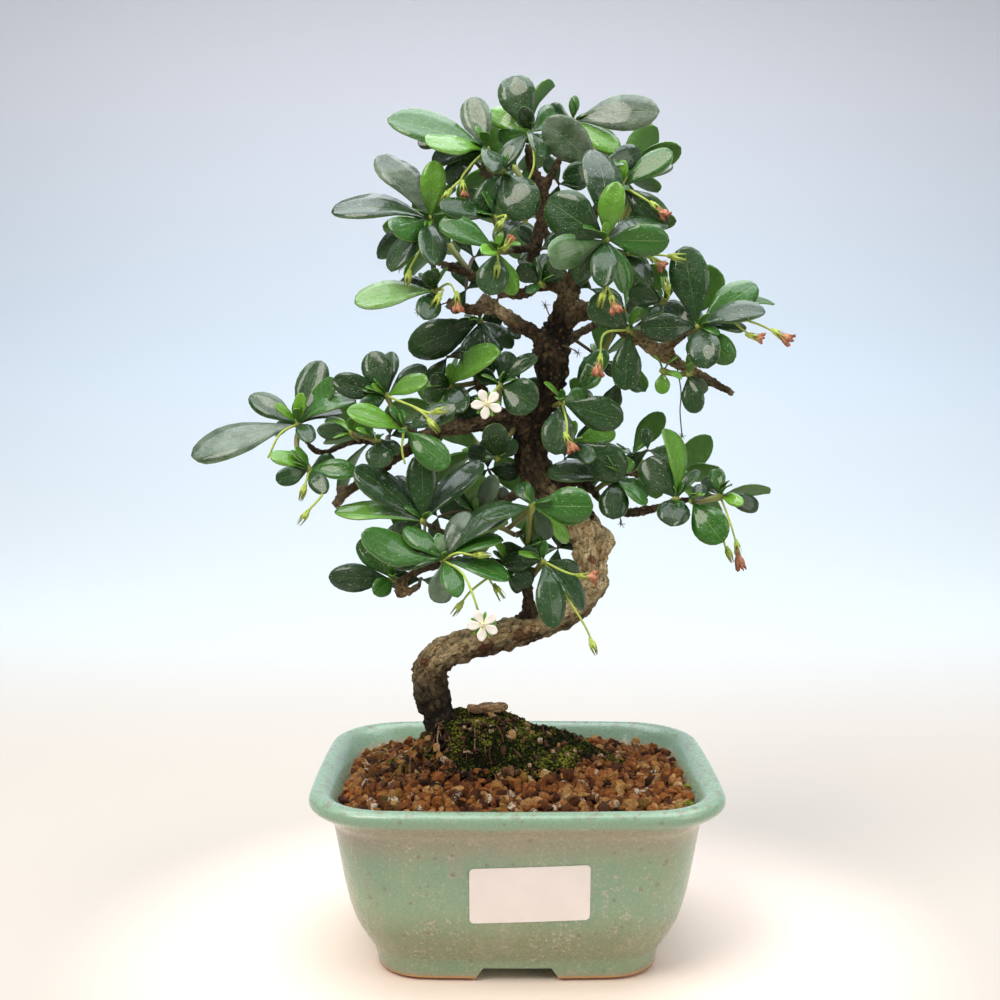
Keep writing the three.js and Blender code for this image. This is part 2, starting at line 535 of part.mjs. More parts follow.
// The shoots. Each spray has twigs, lines of (across, down, depth), and rosettes: where the leaves
// spring from, how many more leaves fill it at the back, and its leaves as (tip across, tip down,
// tip's depth past the rosette, width in pixels, tone). Tones: d dark, g green, b bright,
// y young, s dark with a sheen, p turned to its pale underside.
const SPRAYS = {
  crown_left: {
    twigs: [[[440, 264, -4], [433, 258, -6], [430, 219, -8]]],
    links: [[[433, 258, -6], [434, 278, -12], [435, 291, -15]]],
    rosettes: [
      { at: [430, 219, -8], fill: 1, leaves: [
        [332, 212, -2, 23, "s"], [379, 156, 6, 30, "s"], [435, 161, -2, 25, "b"], [392, 231, -14, 28, "p"],
        [378, 258, 0, 20, "d"], [391, 271, -8, 22, "d"], [431, 264, -12, 28, "d"]] },
      { at: [435, 291, -15], fill: 0, leaves: [
        [355, 303, -4, 24, "b"], [428, 271, -6, 17, "s"], [424, 319, -6, 25, "d"],
        [400, 282, 5, 16, "d"]] },
    ],
  },
  crown_top_left: {
    twigs: [[[482, 169, -3], [486, 159, -4], [487, 150, -5]]],
    links: [[[487, 150, -5], [496, 160, -8], [503, 172, -9]]],
    rosettes: [
      { at: [487, 150, -5], fill: 0, leaves: [
        [388, 119, 0, 30, "g"], [426, 143, -10, 16, "b"], [470, 98, 4, 30, "d"],
        [491, 172, -12, 20, "d"], [432, 163, 4, 20, "d"], [446, 182, 2, 20, "d"]] },
      { at: [503, 172, -9], fill: 0, leaves: [[530, 218, -7, 42, "d"], [476, 214, -4, 24, "d"]] },
    ],
  },
  crown_top: {
    twigs: [[[528, 143, 1], [529, 137, 1], [530, 131, 0]]],
    rosettes: [
      { at: [530, 133, 0], fill: 1, leaves: [
        [511, 77, 2, 36, "d"], [523, 107, -6, 17, "s"], [488, 113, 6, 22, "b"], [498, 138, 3, 18, "g"],
        [553, 153, -6, 18, "d"], [538, 162, -9, 15, "d"], [500, 168, -5, 18, "d"],
        [556, 112, 8, 24, "g"]] },
    ],
  },
  crown_top_right: {
    twigs: [[[603, 176, -4], [602, 172, -6], [600, 167, -8]]],
    rosettes: [
      { at: [573, 121, 8], fill: 0, leaves: [
        [659, 111, -6, 34, "s"], [652, 124, 6, 15, "b"], [619, 152, -6, 22, "b"], [548, 108, 6, 20, "d"]] },
      { at: [600, 168, -8], fill: 0, leaves: [
        [545, 130, -2, 40, "d"], [640, 152, 6, 24, "s"], [563, 178, -6, 24, "d"], [612, 145, 6, 18, "d"]] },
      { at: [622, 186, -4], fill: 0, leaves: [
        [672, 152, -2, 22, "g"], [670, 164, 8, 18, "d"], [667, 226, -3, 28, "d"]] },
    ],
    links: [
      [[601, 172, -6], [612, 182, -5], [622, 186, -4]],
      [[600, 167, -8], [590, 146, -1], [573, 121, 8]],
    ],
  },
  crown_front: {
    twigs: [[[597, 249, -18], [601, 245, -23], [606, 240, -28]]],
    rosettes: [
      { at: [606, 240, -28], fill: 0, leaves: [
        [593, 150, 6, 36, "s"], [618, 182, -4, 25, "b"], [548, 200, 2, 46, "d"], [549, 257, -6, 34, "p"],
        [669, 241, -2, 32, "g"], [665, 224, 10, 18, "d"], [603, 287, -8, 27, "d"], [624, 293, -1, 20, "g"],
        [575, 282, 6, 22, "d"]] },
      { at: [624, 254, -20], fill: 0, leaves: [[651, 285, -4, 16, "s"], [641, 268, 4, 12, "g"]] },
    ],
    links: [[[604, 242, -26], [614, 250, -23], [624, 254, -20]]],
  },
  crown_front_left: {
    twigs: [[[508, 252, -13], [502, 252, -18], [497, 251, -22]]],
    rosettes: [
      { at: [497, 251, -22], fill: 0, leaves: [
        [440, 222, 0, 24, "g"], [482, 253, -8, 12, "y"], [490, 295, -4, 32, "d"], [514, 295, -1, 20, "b"],
        [517, 217, 6, 15, "d"], [504, 230, 3, 18, "d"]] },
      { at: [495, 218, -15], fill: 0, leaves: [[440, 206, -2, 20, "d"], [468, 190, 4, 18, "d"]] },
    ],
    links: [[[499, 247, -21], [498, 232, -18], [495, 218, -15]]],
  },
  crown_low_right: {
    twigs: [[[545, 287, -5], [543, 285, -9], [541, 284, -12]]],
    rosettes: [
      { at: [541, 284, -12], fill: 0, leaves: [[518, 266, -2, 20, "d"], [548, 254, 4, 24, "d"],
        [562, 262, -4, 22, "d"]] },
    ],
  },
  right_top: {
    twigs: [[[692, 331, -16], [695, 329, -17], [698, 327, -18]]],
    rosettes: [
      { at: [698, 327, -18], fill: 1, leaves: [
        [684, 247, 2, 38, "d"], [641, 328, -2, 28, "s"], [708, 368, -8, 33, "s"], [733, 362, -3, 27, "g"],
        [765, 312, -4, 20, "s"], [773, 303, 5, 14, "g"], [756, 285, 4, 32, "g"], [746, 327, 3, 14, "d"],
        [664, 304, 6, 20, "d"]] },
    ],
  },
  right_hang: {
    twigs: [[[694, 372, -7], [691, 373, -10], [688, 374, -13]]],
    rosettes: [
      { at: [688, 374, -13], fill: 0, leaves: [[696, 413, -3, 22, "d"], [706, 392, 3, 14, "d"]] },
      { at: [663, 371, -14], fill: 0, leaves: [[662, 394, -1, 15, "b"]] },
    ],
    links: [[[688, 374, -13], [675, 374, -14], [663, 371, -14]]],
  },
  right_inner: {
    twigs: [
      [[655, 308, -10], [660, 305, -12], [664, 301, -13]],
      [[640, 338, -8], [634, 334, -11], [629, 330, -13]],
    ],
    rosettes: [
      { at: [664, 301, -13], fill: 0, leaves: [[629, 291, -2, 24, "d"], [650, 326, -6, 18, "d"]] },
      { at: [629, 330, -13], fill: 0, leaves: [[592, 297, -2, 35, "d"], [625, 390, -3, 29, "d"],
        [604, 318, 5, 16, "g"]] },
    ],
    links: [[[632, 332, -12], [650, 316, -14], [664, 301, -13]]],
  },
  neck_right: {
    twigs: [[[556, 402, 1], [565, 399, 1], [574, 396, 2]]],
    rosettes: [
      { at: [574, 396, 2], fill: 0, leaves: [
        [606, 350, 2, 22, "g"], [598, 372, 6, 18, "b"], [592, 402, -5, 20, "d"]] },
    ],
  },
  left_end: {
    twigs: [[[303, 437, -1], [300, 431, -1], [298, 424, 0]]],
    links: [[[299, 428, 0], [297, 448, -8], [309, 470, -12]]],
    rosettes: [
      { at: [298, 424, 0], fill: 1, leaves: [
        [192, 456, -6, 32, "s"], [250, 396, 4, 24, "d"], [321, 361, 6, 30, "d"], [334, 378, 0, 19, "p"],
        [356, 401, -2, 15, "g"], [342, 412, 4, 13, "d"],
        [311, 442, -8, 17, "d"], [276, 432, 6, 14, "g"]] },
      { at: [309, 470, -12], fill: 0, leaves: [
        [270, 455, -2, 14, "b"], [276, 480, -4, 19, "d"], [326, 493, -6, 19, "d"],
        [357, 473, -2, 20, "g"], [334, 457, 4, 13, "s"], [296, 452, 5, 14, "d"]] },
    ],
  },
  left_mid: {
    twigs: [
      [[360, 441, -6], [356, 437, -8], [352, 433, -10]],
      [[382, 444, -8], [380, 442, -12], [378, 440, -15]],
    ],
    rosettes: [
      { at: [352, 433, -10], fill: 0, leaves: [[317, 430, -3, 18, "d"], [326, 419, 4, 13, "b"],
        [372, 424, -4, 16, "g"]] },
      { at: [378, 440, -15], fill: 0, leaves: [[380, 468, -4, 27, "d"], [400, 452, -2, 15, "d"]] },
    ],
    links: [[[352, 433, -10], [365, 437, -13], [378, 440, -15]]],
  },
  left_upper: {
    twigs: [[[392, 410, -6], [390, 403, -5], [387, 396, -5]]],
    rosettes: [
      { at: [387, 396, -5], fill: 0, leaves: [
        [371, 352, 2, 30, "d"], [333, 380, 0, 25, "s"], [428, 380, -6, 17, "b"], [426, 367, 5, 22, "s"],
        [360, 408, -6, 16, "d"], [390, 352, 8, 20, "d"]] },
    ],
  },
  left_front: {
    twigs: [[[405, 428, -8], [405, 429, -14], [404, 430, -19]]],
    rosettes: [
      { at: [404, 430, -19], fill: 0, leaves: [
        [347, 411, -3, 21, "b"], [448, 467, -6, 30, "g"], [456, 406, -2, 22, "d"],
        [400, 410, 3, 12, "g"]] },
    ],
  },
  neck_left: {
    twigs: [[[478, 382, 8], [464, 385, 7], [451, 387, 6]]],
    rosettes: [
      { at: [451, 387, 6], fill: 0, leaves: [
        [500, 352, -12, 22, "b"], [431, 377, -4, 17, "d"], [463, 412, -10, 26, "d"],
        [478, 428, -4, 28, "d"],
        [425, 398, 4, 18, "g"]] },
    ],
  },
  neck_top: {
    twigs: [[[480, 340, 10], [481, 330, 10], [480, 321, 9]]],
    rosettes: [
      { at: [480, 321, 9], fill: 0, leaves: [
        [480, 379, -8, 40, "d"], [512, 348, -3, 16, "d"], [455, 327, -2, 14, "d"], [409, 350, 2, 38, "d"],
        [500, 312, 6, 18, "d"], [438, 338, 8, 28, "g"]] },
    ],
  },
  neck_front: {
    twigs: [[[498, 416, -3], [499, 402, -7], [500, 386, -10]]],
    rosettes: [
      { at: [500, 385, -10], fill: 0, leaves: [
        [537, 406, -4, 38, "d"], [537, 356, 0, 15, "d"], [478, 372, 3, 16, "d"], [510, 352, 4, 22, "d"]] },
    ],
  },
  neck_low: {
    twigs: [[[515, 418, 0], [512, 432, -1], [500, 448, -2], [497, 458, -2]]],
    rosettes: [
      { at: [497, 459, -2], fill: 0, leaves: [[494, 423, -3, 26, "d"], [468, 452, 5, 20, "d"],
        [516, 440, 2, 18, "d"]] },
    ],
  },
  low_left_back: {
    twigs: [[[426, 524, -14], [425, 523, -15], [423, 521, -17]]],
    rosettes: [
      { at: [423, 521, -16], fill: 0, leaves: [
        [357, 469, 4, 30, "s"], [422, 453, 2, 32, "d"], [481, 461, 8, 24, "d"], [335, 512, 0, 17, "b"],
        [392, 478, 8, 26, "d"], [385, 545, 6, 20, "d"]] },
    ],
  },
  low_left_end: {
    twigs: [[[404, 580, -8], [398, 580, -6], [392, 579, -5]]],
    rosettes: [
      { at: [392, 579, -5], fill: 0, leaves: [
        [360, 540, 2, 24, "g"], [329, 577, -2, 29, "s"], [374, 594, -6, 20, "g"],
        [400, 556, 5, 20, "d"]] },
    ],
  },
  low_left_front: {
    twigs: [[[450, 561, -15], [447, 561, -21], [443, 560, -27]]],
    rosettes: [
      { at: [443, 560, -28], fill: 0, leaves: [
        [362, 534, -2, 32, "p"], [393, 563, 4, 22, "d"], [458, 597, -8, 22, "g"], [440, 603, 0, 25, "d"],
        [468, 512, 5, 24, "s"], [517, 507, 4, 24, "s"], [503, 540, -2, 15, "g"], [509, 580, -4, 19, "g"],
        [404, 528, 4, 20, "g"]] },
    ],
  },
  low_middle: {
    twigs: [[[482, 512, 4], [479, 513, 4], [476, 514, 4]]],
    rosettes: [
      { at: [476, 514, 4], fill: 0, leaves: [
        [480, 475, 0, 28, "b"], [461, 475, 3, 20, "d"], [497, 476, -3, 18, "d"], [440, 505, 4, 20, "d"],
        [507, 490, 4, 20, "d"]] },
    ],
  },
  low_front: {
    twigs: [[[524, 577, -13], [527, 549, -22], [532, 506, -30]]],
    rosettes: [
      { at: [532, 506, -30], fill: 0, leaves: [
        [593, 506, -4, 38, "g"], [482, 518, -4, 16, "d"], [549, 539, 3, 17, "s"], [570, 538, 9, 18, "b"],
        [520, 484, 5, 18, "d"]] },
      { at: [527, 549, -22], fill: 0, leaves: [[539, 519, -3, 24, "g"], [500, 549, 4, 14, "d"]] },
    ],
  },
  low_right: {
    twigs: [[[526, 586, -11], [534, 574, -18], [543, 562, -25]]],
    rosettes: [
      { at: [543, 561, -25], fill: 0, leaves: [
        [521, 550, 4, 20, "d"], [578, 572, 3, 19, "d"], [553, 628, -7, 30, "d"], [583, 610, 0, 17, "d"],
        [503, 562, 2, 20, "d"]] },
      { at: [506, 563, -20], fill: 0, leaves: [[532, 586, -6, 24, "s"], [520, 592, 3, 15, "d"],
        [478, 574, -2, 16, "d"]] },
    ],
    links: [[[536, 571, -20], [520, 566, -21], [506, 563, -20]]],
  },
  trunk_right: {
    twigs: [
      [[548, 408, 1], [556, 405, -5], [562, 403, -10]],
      [[538, 446, 5], [560, 444, -4], [572, 442, -8]],
    ],
    rosettes: [
      { at: [562, 403, -10], fill: 0, leaves: [[623, 420, -2, 34, "d"], [556, 455, -8, 33, "d"],
        [585, 392, 6, 16, "g"]] },
      { at: [573, 442, -8], fill: 0, leaves: [
        [625, 474, -2, 38, "d"], [615, 432, 5, 20, "b"], [592, 462, -8, 18, "d"]] },
    ],
    links: [[[562, 405, -9], [568, 424, -9], [573, 442, -8]]],
  },
  right_low_inner: {
    twigs: [[[594, 491, 0], [604, 484, -4], [614, 478, -8]]],
    rosettes: [
      { at: [615, 478, -8], fill: 0, leaves: [
        [613, 519, -5, 30, "s"], [649, 494, 2, 16, "g"], [646, 505, -5, 12, "g"], [632, 460, 4, 14, "b"],
        [547, 473, 4, 22, "d"]] },
    ],
  },
  right_low_mid: {
    twigs: [[[660, 507, -6], [668, 504, -10], [676, 499, -13]]],
    rosettes: [
      { at: [676, 499, -13], fill: 0, leaves: [
        [645, 460, 4, 32, "d"], [671, 526, -6, 33, "s"], [681, 470, 6, 19, "b"], [698, 470, 3, 13, "d"],
        [662, 431, 6, 19, "b"]] },
    ],
  },
  right_low_end: {
    twigs: [
      [[718, 498, -1], [720, 497, -1], [722, 496, -2]],
      [[700, 498, -3], [696, 499, -8], [692, 501, -12]],
    ],
    rosettes: [
      { at: [720, 496, -3], fill: 1, leaves: [
        [716, 469, 3, 16, "g"], [743, 504, -5, 12, "y"], [758, 508, 2, 18, "s"],
        [704, 478, 6, 15, "d"]] },
      { at: [692, 502, -13], fill: 0, leaves: [[723, 542, -6, 36, "g"], [705, 486, 5, 16, "s"]] },
    ],
    links: [[[692, 502, -13], [706, 500, -9], [720, 497, -4]]],
  },
  // Shoots behind, which fill the crown from the sides and the back
  back_left: {
    twigs: [
      [[465, 422, 36], [455, 418, 39], [445, 412, 42]],
      [[455, 418, 39], [470, 434, 39], [482, 453, 38]],
    ],
    rosettes: [{ at: [445, 412, 42], fill: 6, leaves: [] }, { at: [482, 453, 38], fill: 4, leaves: [] }],
  },
  back_far_left: {
    twigs: [[[395, 458, -7], [385, 452, 8], [372, 440, 22]]],
    rosettes: [{ at: [372, 440, 22], fill: 5, leaves: [] }],
  },
  back_right: {
    twigs: [
      [[600, 322, 36], [612, 316, 39], [625, 310, 42]],
      [[612, 316, 39], [610, 338, 40], [600, 360, 40]],
    ],
    rosettes: [{ at: [625, 310, 42], fill: 6, leaves: [] }, { at: [600, 360, 40], fill: 4, leaves: [] }],
  },
  back_far_right: {
    twigs: [[[657, 350, -8], [668, 338, 6], [680, 322, 20]]],
    rosettes: [{ at: [680, 322, 20], fill: 5, leaves: [] }],
  },
  back_crown: {
    twigs: [
      [[530, 195, 28], [522, 180, 31], [515, 168, 33]],
      [[522, 180, 31], [526, 200, 36], [525, 220, 40]],
    ],
    rosettes: [{ at: [515, 168, 33], fill: 6, leaves: [] }, { at: [525, 220, 40], fill: 6, leaves: [] }],
  },
  back_crown_right: {
    twigs: [
      [[622, 195, 26], [624, 185, 29], [624, 176, 31]],
      [[624, 185, 29], [630, 204, 36], [622, 222, 41]],
    ],
    rosettes: [{ at: [624, 176, 31], fill: 5, leaves: [] }, { at: [622, 222, 41], fill: 5, leaves: [] }],
  },
  back_crown_left: {
    twigs: [[[474, 276, -3], [462, 262, 12], [450, 246, 25]]],
    rosettes: [{ at: [450, 246, 25], fill: 6, leaves: [] }],
  },
  back_low: {
    twigs: [
      [[515, 535, 34], [506, 530, 38], [498, 526, 42]],
      [[506, 530, 38], [520, 519, 40], [534, 505, 40]],
    ],
    rosettes: [{ at: [498, 526, 42], fill: 5, leaves: [] }, { at: [534, 505, 40], fill: 4, leaves: [] }],
  },
  back_low_left: {
    twigs: [[[450, 561, -15], [440, 554, 2], [426, 545, 18]]],
    rosettes: [{ at: [426, 545, 18], fill: 5, leaves: [] }],
  },
  back_low_right: {
    twigs: [
      [[655, 478, 32], [664, 480, 35], [672, 482, 37]],
      [[664, 480, 35], [648, 466, 40], [632, 456, 42]],
    ],
    rosettes: [{ at: [672, 482, 37], fill: 5, leaves: [] }, { at: [632, 456, 42], fill: 4, leaves: [] }],
  },
};

// A leaf drawn in the view: its normal turns towards the viewer as far as its width shows
const SLIMNESS = 0.44;
const DEPTH_SPREAD = 1.6;

function drawnLeaf(rosette, row, shift) {
  const [across, down, deeper, pixels, tone] = row;
  const base = seen(...rosette.at);
  const depth = rosette.at[2] + DEPTH_SPREAD * deeper;
  const tip = seen(across, down, depth).add(shift);
  const along = new THREE.Vector3().subVectors(tip, base);
  const length = along.length();
  along.normalize();
  const width = pixels * millimetresPerPixel(depth);
  const trueWidth = Math.max(width, SLIMNESS * length);
  const facing = new THREE.Vector3(VIEW.x, VIEW.y, VIEW.z).sub(tip).normalize();
  facing.addScaledVector(along, -facing.dot(along)).normalize();
  const lifted = new THREE.Vector3().crossVectors(along, facing);
  if (lifted.z < 0) lifted.negate();
  const share = Math.min(1, width / trueWidth);
  const normal = facing.multiplyScalar(share).addScaledVector(lifted, Math.sqrt(1 - share * share));
  if (tone === "p") normal.negate();
  return { base, tip, normal: normal.normalize(), width: trueWidth };
}

// Leaves that fill a rosette by a rule: they turn round an axis by the golden angle and lean out.
// The axis of a shoot behind points out of the crown, and that of a shoot in front to the back.
const GOLDEN_ANGLE = Math.PI * (3 - Math.sqrt(5));
const SHOOTS_BEHIND = 10;

function fillingAxis(rosette) {
  const place = seen(...rosette.at);
  if (rosette.at[2] < SHOOTS_BEHIND) return new THREE.Vector3(place.x / 150, 0.85, 0.45).normalize();
  return new THREE.Vector3((place.x - 18) / 40, place.y / 40, 0.45).normalize();
}

function fillingLeaf(rosette, number, draw, shift) {
  const axis = fillingAxis(rosette);
  const across = new THREE.Vector3(0, 0, 1).cross(axis).normalize();
  const beside = new THREE.Vector3().crossVectors(axis, across);
  const turn = number * GOLDEN_ANGLE + rosette.at[0];
  const lean = 0.5 + (0.85 * (number + draw())) / rosette.fill;
  const length = 19 + 10 * draw();
  const width = length * (0.46 + 0.1 * draw());
  const base = seen(...rosette.at);
  const along = axis.multiplyScalar(Math.cos(lean));
  along.addScaledVector(across, Math.sin(lean) * Math.cos(turn));
  along.addScaledVector(beside, Math.sin(lean) * Math.sin(turn));
  const tip = base.clone().addScaledVector(along, length).add(shift);
  along.subVectors(tip, base).normalize();
  const normal = fillingAxis(rosette).add(new THREE.Vector3(0, 0, 0.7));
  normal.addScaledVector(along, -normal.dot(along)).normalize();
  return { base, tip, normal, width };
}

// How a leaf is bent clear of what it would cross: its tip moves a little, in this order
const BENDS = [
  [0, 0, 0], [0, 3.5, 0], [0, -3.5, 0], [0, 0, 3.5], [0, 0, -3.5],
  [0, 7, 1], [0, -7, 1], [3, 3, 3], [-3, 3, -3],
];

// Everything that has its place already, with the owner that it belongs to
const placed = [];

function boxesMeet(a, b) {
  return [0, 1, 2].every((i) => a.min[i] <= b.max[i] && b.min[i] <= a.max[i]);
}

function isClear(candidate, isNeighbour) {
  const box = candidate.boundingBox();
  return placed.every((other) => {
    if (!isNeighbour(other) || !boxesMeet(box, other.box)) return true;
    return candidate.intersect(other.body).isEmpty();
  });
}

function place(body, owner, isLeaf = false) {
  placed.push({ body, owner, isLeaf, box: body.boundingBox() });
  return body;
}

// A twig ends in the thick spur that its leaves spring from
function twig(rows) {
  const points = rows.map((row) => seen(...row));
  const last = points.length - 1;
  const along = points[last].clone().sub(points[last - 1]).normalize();
  points.push(points[last].clone().addScaledVector(along, SPUR_RADIUS));
  const radii = points.map((point, i) => (i < last ? TWIG_RADIUS : SPUR_RADIUS));
  radii[last + 1] = 0.6 * SPUR_RADIUS;
  return solid(limb(points, radii, 4, points.length - 1));
}

// Flower stalks, as lines of (across, down, depth) from a rosette. A "calyx" ends in a green cup, a
// "wilted" stalk's last point is the tip of the orange corolla that its cup holds, a "white" stalk's
// last point is the middle of an open flower, and a "bare" stalk has lost its flower.
const STALKS = [
  ["crown_top_left", "wilted", [[484, 152, -7], [472, 164, -14], [461, 180, -16], [463, 187, -16],
    [464, 197, -16]]],
  ["crown_top_left", "calyx", [[461, 180, -16], [452, 188, -17], [446, 196, -17]]],
  ["crown_top", "wilted", [[535, 140, -3], [534, 165, -12], [526, 186, -14], [523, 199, -15]]],
  ["crown_left", "calyx", [[426, 228, -12], [420, 250, -20], [410, 268, -21], [408, 278, -21]]],
  ["crown_left", "wilted", [[438, 288, -16], [450, 284, -20], [457, 298, -21], [458, 312, -21]]],
  ["crown_left", "calyx", [[450, 284, -20], [443, 290, -21], [437, 300, -21]]],
  ["crown_front_left", "calyx", [[500, 254, -23], [498, 262, -26], [497, 270, -27]]],
  ["crown_front_left", "wilted", [[500, 248, -24], [507, 245, -28], [512, 236, -29]]],
  ["crown_front_left", "calyx", [[497, 219, -16], [506, 216, -22], [499, 226, -23]]],
  ["crown_front", "calyx", [[606, 248, -30], [607, 284, -38], [602, 298, -38]]],
  ["crown_front", "wilted", [[607, 284, -38], [612, 299, -38], [617, 313, -38]]],
  ["crown_top_right", "wilted", [[627, 191, -6], [643, 198, -12], [655, 206, -13], [667, 217, -13]]],
  ["crown_front", "wilted", [[630, 257, -22], [644, 256, -25], [654, 260, -26], [664, 268, -26]]],
  ["crown_front", "calyx", [[644, 256, -25], [660, 255, -26], [676, 257, -26]]],
  ["right_top", "wilted", [[705, 324, -21], [730, 318, -24], [755, 323, -24], [777, 333, -24],
    [791, 342, -24]]],
  ["right_top", "wilted", [[730, 318, -24], [742, 329, -25], [752, 336, -25], [763, 339, -25]]],
  ["right_inner", "calyx", [[665, 303, -15], [669, 296, -21], [667, 286, -21]]],
  ["right_inner", "wilted", [[626, 332, -15], [604, 334, -17], [600, 360, -18], [598, 376, -18]]],
  ["trunk_right", "wilted", [[564, 407, -12], [567, 425, -20], [567, 438, -21], [573, 452, -21]]],
  ["left_upper", "calyx", [[391, 401, -8], [412, 406, -22], [430, 413, -25], [440, 411, -25]]],
  ["left_upper", "calyx", [[412, 406, -22], [424, 414, -25], [433, 425, -25]]],
  ["left_front", "bare", [[403, 434, -20], [402, 450, -23], [405, 464, -23]]],
  ["left_end", "bare", [[296, 428, -2], [280, 434, -8], [268, 458, -9]]],
  ["left_end", "calyx", [[308, 474, -13], [306, 482, -17], [303, 492, -17]]],
  ["left_end", "calyx", [[312, 475, -14], [323, 492, -21], [309, 510, -22], [304, 517, -22]]],
  ["low_left_front", "calyx", [[446, 557, -29], [458, 553, -34], [472, 555, -35], [482, 555, -35]]],
  ["low_left_front", "white", [[450, 564, -29], [463, 574, -38], [474, 598, -43], [483, 625, -45]]],
  ["low_right", "calyx", [[503, 567, -21], [489, 577, -27], [498, 591, -28]]],
  ["low_right", "calyx", [[489, 577, -27], [470, 592, -29], [458, 608, -29]]],
  ["low_right", "calyx", [[548, 574, -26], [570, 602, -30], [587, 630, -30], [593, 646, -30]]],
  ["low_right", "wilted", [[548, 566, -27], [568, 573, -31], [583, 576, -32], [597, 578, -32]]],
  ["right_low_end", "wilted", [[722, 500, -5], [730, 522, -9], [737, 546, -10], [741, 569, -10]]],
  ["right_low_end", "calyx", [[730, 522, -9], [724, 541, -10], [729, 554, -10]]],
  ["neck_front", "white", [[498, 389, -12], [492, 395, -24], [487, 404, -31]]],
];

// A ring of petal lobes round an axis, wavy between the narrow and the wide radius
function lobedRing(middle, axis, wide, narrow, lobes, pointsPerLobe, lift) {
  const across = new THREE.Vector3().crossVectors(axis, new THREE.Vector3(0.2, 0.1, 1)).normalize();
  const beside = new THREE.Vector3().crossVectors(axis, across);
  const count = pointsPerLobe * lobes;
  const ring = [];
  for (let i = 0; i < count; i++) {
    const turn = (2 * Math.PI * i) / count;
    const radius = narrow + (wide - narrow) * Math.abs(Math.cos((lobes * turn) / 2)) ** 0.8;
    const point = middle.clone().addScaledVector(axis, lift);
    point.addScaledVector(across, radius * Math.cos(turn));
    ring.push(point.addScaledVector(beside, radius * Math.sin(turn)));
  }
  return ring;
}

function whiteFlower(middle, axis) {
  const wide = WHITE_FLOWER_RADIUS;
  const ring = (outer, inner, lift) => lobedRing(middle, axis, outer, inner, 5, 2, lift);
  return solid(loft([
    ring(0.8, 0.7, -2.6), ring(wide, 0.42 * wide, 0.5), ring(wide, 0.42 * wide, 1.3), ring(1.3, 1, 0.7),
  ]));
}

function wiltedFlower(foot, tip) {
  const axis = tip.clone().sub(foot);
  const length = axis.length();
  axis.normalize();
  const ring = (outer, inner, share) => lobedRing(foot, axis, outer, inner, 3, 2, share * length);
  return solid(loft([
    ring(0.7, 0.7, 0), ring(WILTED_RADIUS, 0.9, 0.8), ring(0.9, 0.5, 1),
  ]));
}

// Growing the plant: the wood first, then each spray's green frame, then the flowers, then leaves
const wood = woodBody(0);
const woodAndClearance = woodBody(CLEARANCE);
const nodes = [];
const frames = new Map();
const WOOD = "wood";
place(woodAndClearance, WOOD);

for (const [name, spray] of Object.entries(SPRAYS)) {
  const parts = spray.twigs.concat(spray.links ?? []).map(twig);
  frames.set(name, parts);
}

const corollas = [];
for (const [name, kind, rows] of STALKS) {
  const points = rows.map((row) => seen(...row));
  const spurs = SPRAYS[name].rosettes.map((rosette) => seen(...rosette.at));
  const nearest = spurs.reduce((a, b) => (b.distanceTo(points[0]) < a.distanceTo(points[0]) ? b : a));
  if (nearest.distanceTo(points[0]) < FORK_DISTANCE) points[0].copy(nearest);
  const parts = frames.get(name);
  const end = points[points.length - 1];
  const before = points[points.length - 2];
  const axis = end.clone().sub(before).normalize();
  if (kind === "white") {
    const towards = new THREE.Vector3(0.05, -1, 0.25).normalize();
    corollas.push({ name: `flower_${name}`, body: whiteFlower(end, towards), colour: WHITE });
    points[points.length - 1] = end.clone().addScaledVector(towards, -5.5);
    points.push(end.clone().addScaledVector(towards, -2.6 - CLEARANCE));
  }
  if (kind === "wilted") {
    points.pop();
    const foot = before.clone().addScaledVector(axis, 2 * CLEARANCE);
    const title = `wilted_${corollas.length}_${name}`;
    corollas.push({ name: title, body: wiltedFlower(foot, end), colour: ORANGE });
  }
  const last = points.length - 1;
  const radii = points.map(() => STALK_RADIUS);
  if (kind !== "bare") {
    const cupShare = Math.min(0.6, 2 / points[last].distanceTo(points[last - 1]));
    points.splice(last, 0, points[last].clone().lerp(points[last - 1], cupShare));
    radii.splice(last, 0, STALK_RADIUS * 1.3);
    radii[last + 1] = CALYX_RADIUS;
  }
  parts.push(solid(limb(points, radii, 3, points.length - 1)));
}
for (const [name, parts] of frames) parts.forEach((part) => place(part, name));
corollas.forEach((one) => place(one.body, one.name));

let serial = 0;
function growLeaf(name, makeLeaf, mayCross) {
  serial += 1;
  const draw = draws(1000 + 37 * serial);
  draw();
  draw();
  const arch = 0.04 + 0.1 * draw();
  const foreign = (other) => other.owner !== name && other.owner !== WOOD;
  const wooden = (other) => other.owner === WOOD;
  const woodenOrLeaf = (other) => wooden(other) || (other.owner === name && other.isLeaf);
  for (const isNeighbour of mayCross ? [woodenOrLeaf, wooden] : [woodenOrLeaf]) {
    for (const bend of BENDS) {
      const leaf = { ...makeLeaf(new THREE.Vector3(...bend)), arch };
      const outer = { ...leaf, base: new THREE.Vector3().lerpVectors(leaf.base, leaf.tip, 0.22) };
      if (!isClear(bladeSolid(leaf, CLEARANCE), foreign)) continue;
      if (!isClear(bladeSolid(outer, CLEARANCE), isNeighbour)) continue;
      frames.get(name).push(place(bladeSolid(leaf), name, true));
      return;
    }
  }
}
for (const [name, spray] of Object.entries(SPRAYS)) {
  for (const rosette of spray.rosettes) {
    rosette.leaves.forEach((row) => growLeaf(name, (shift) => drawnLeaf(rosette, row, shift), true));
  }
}
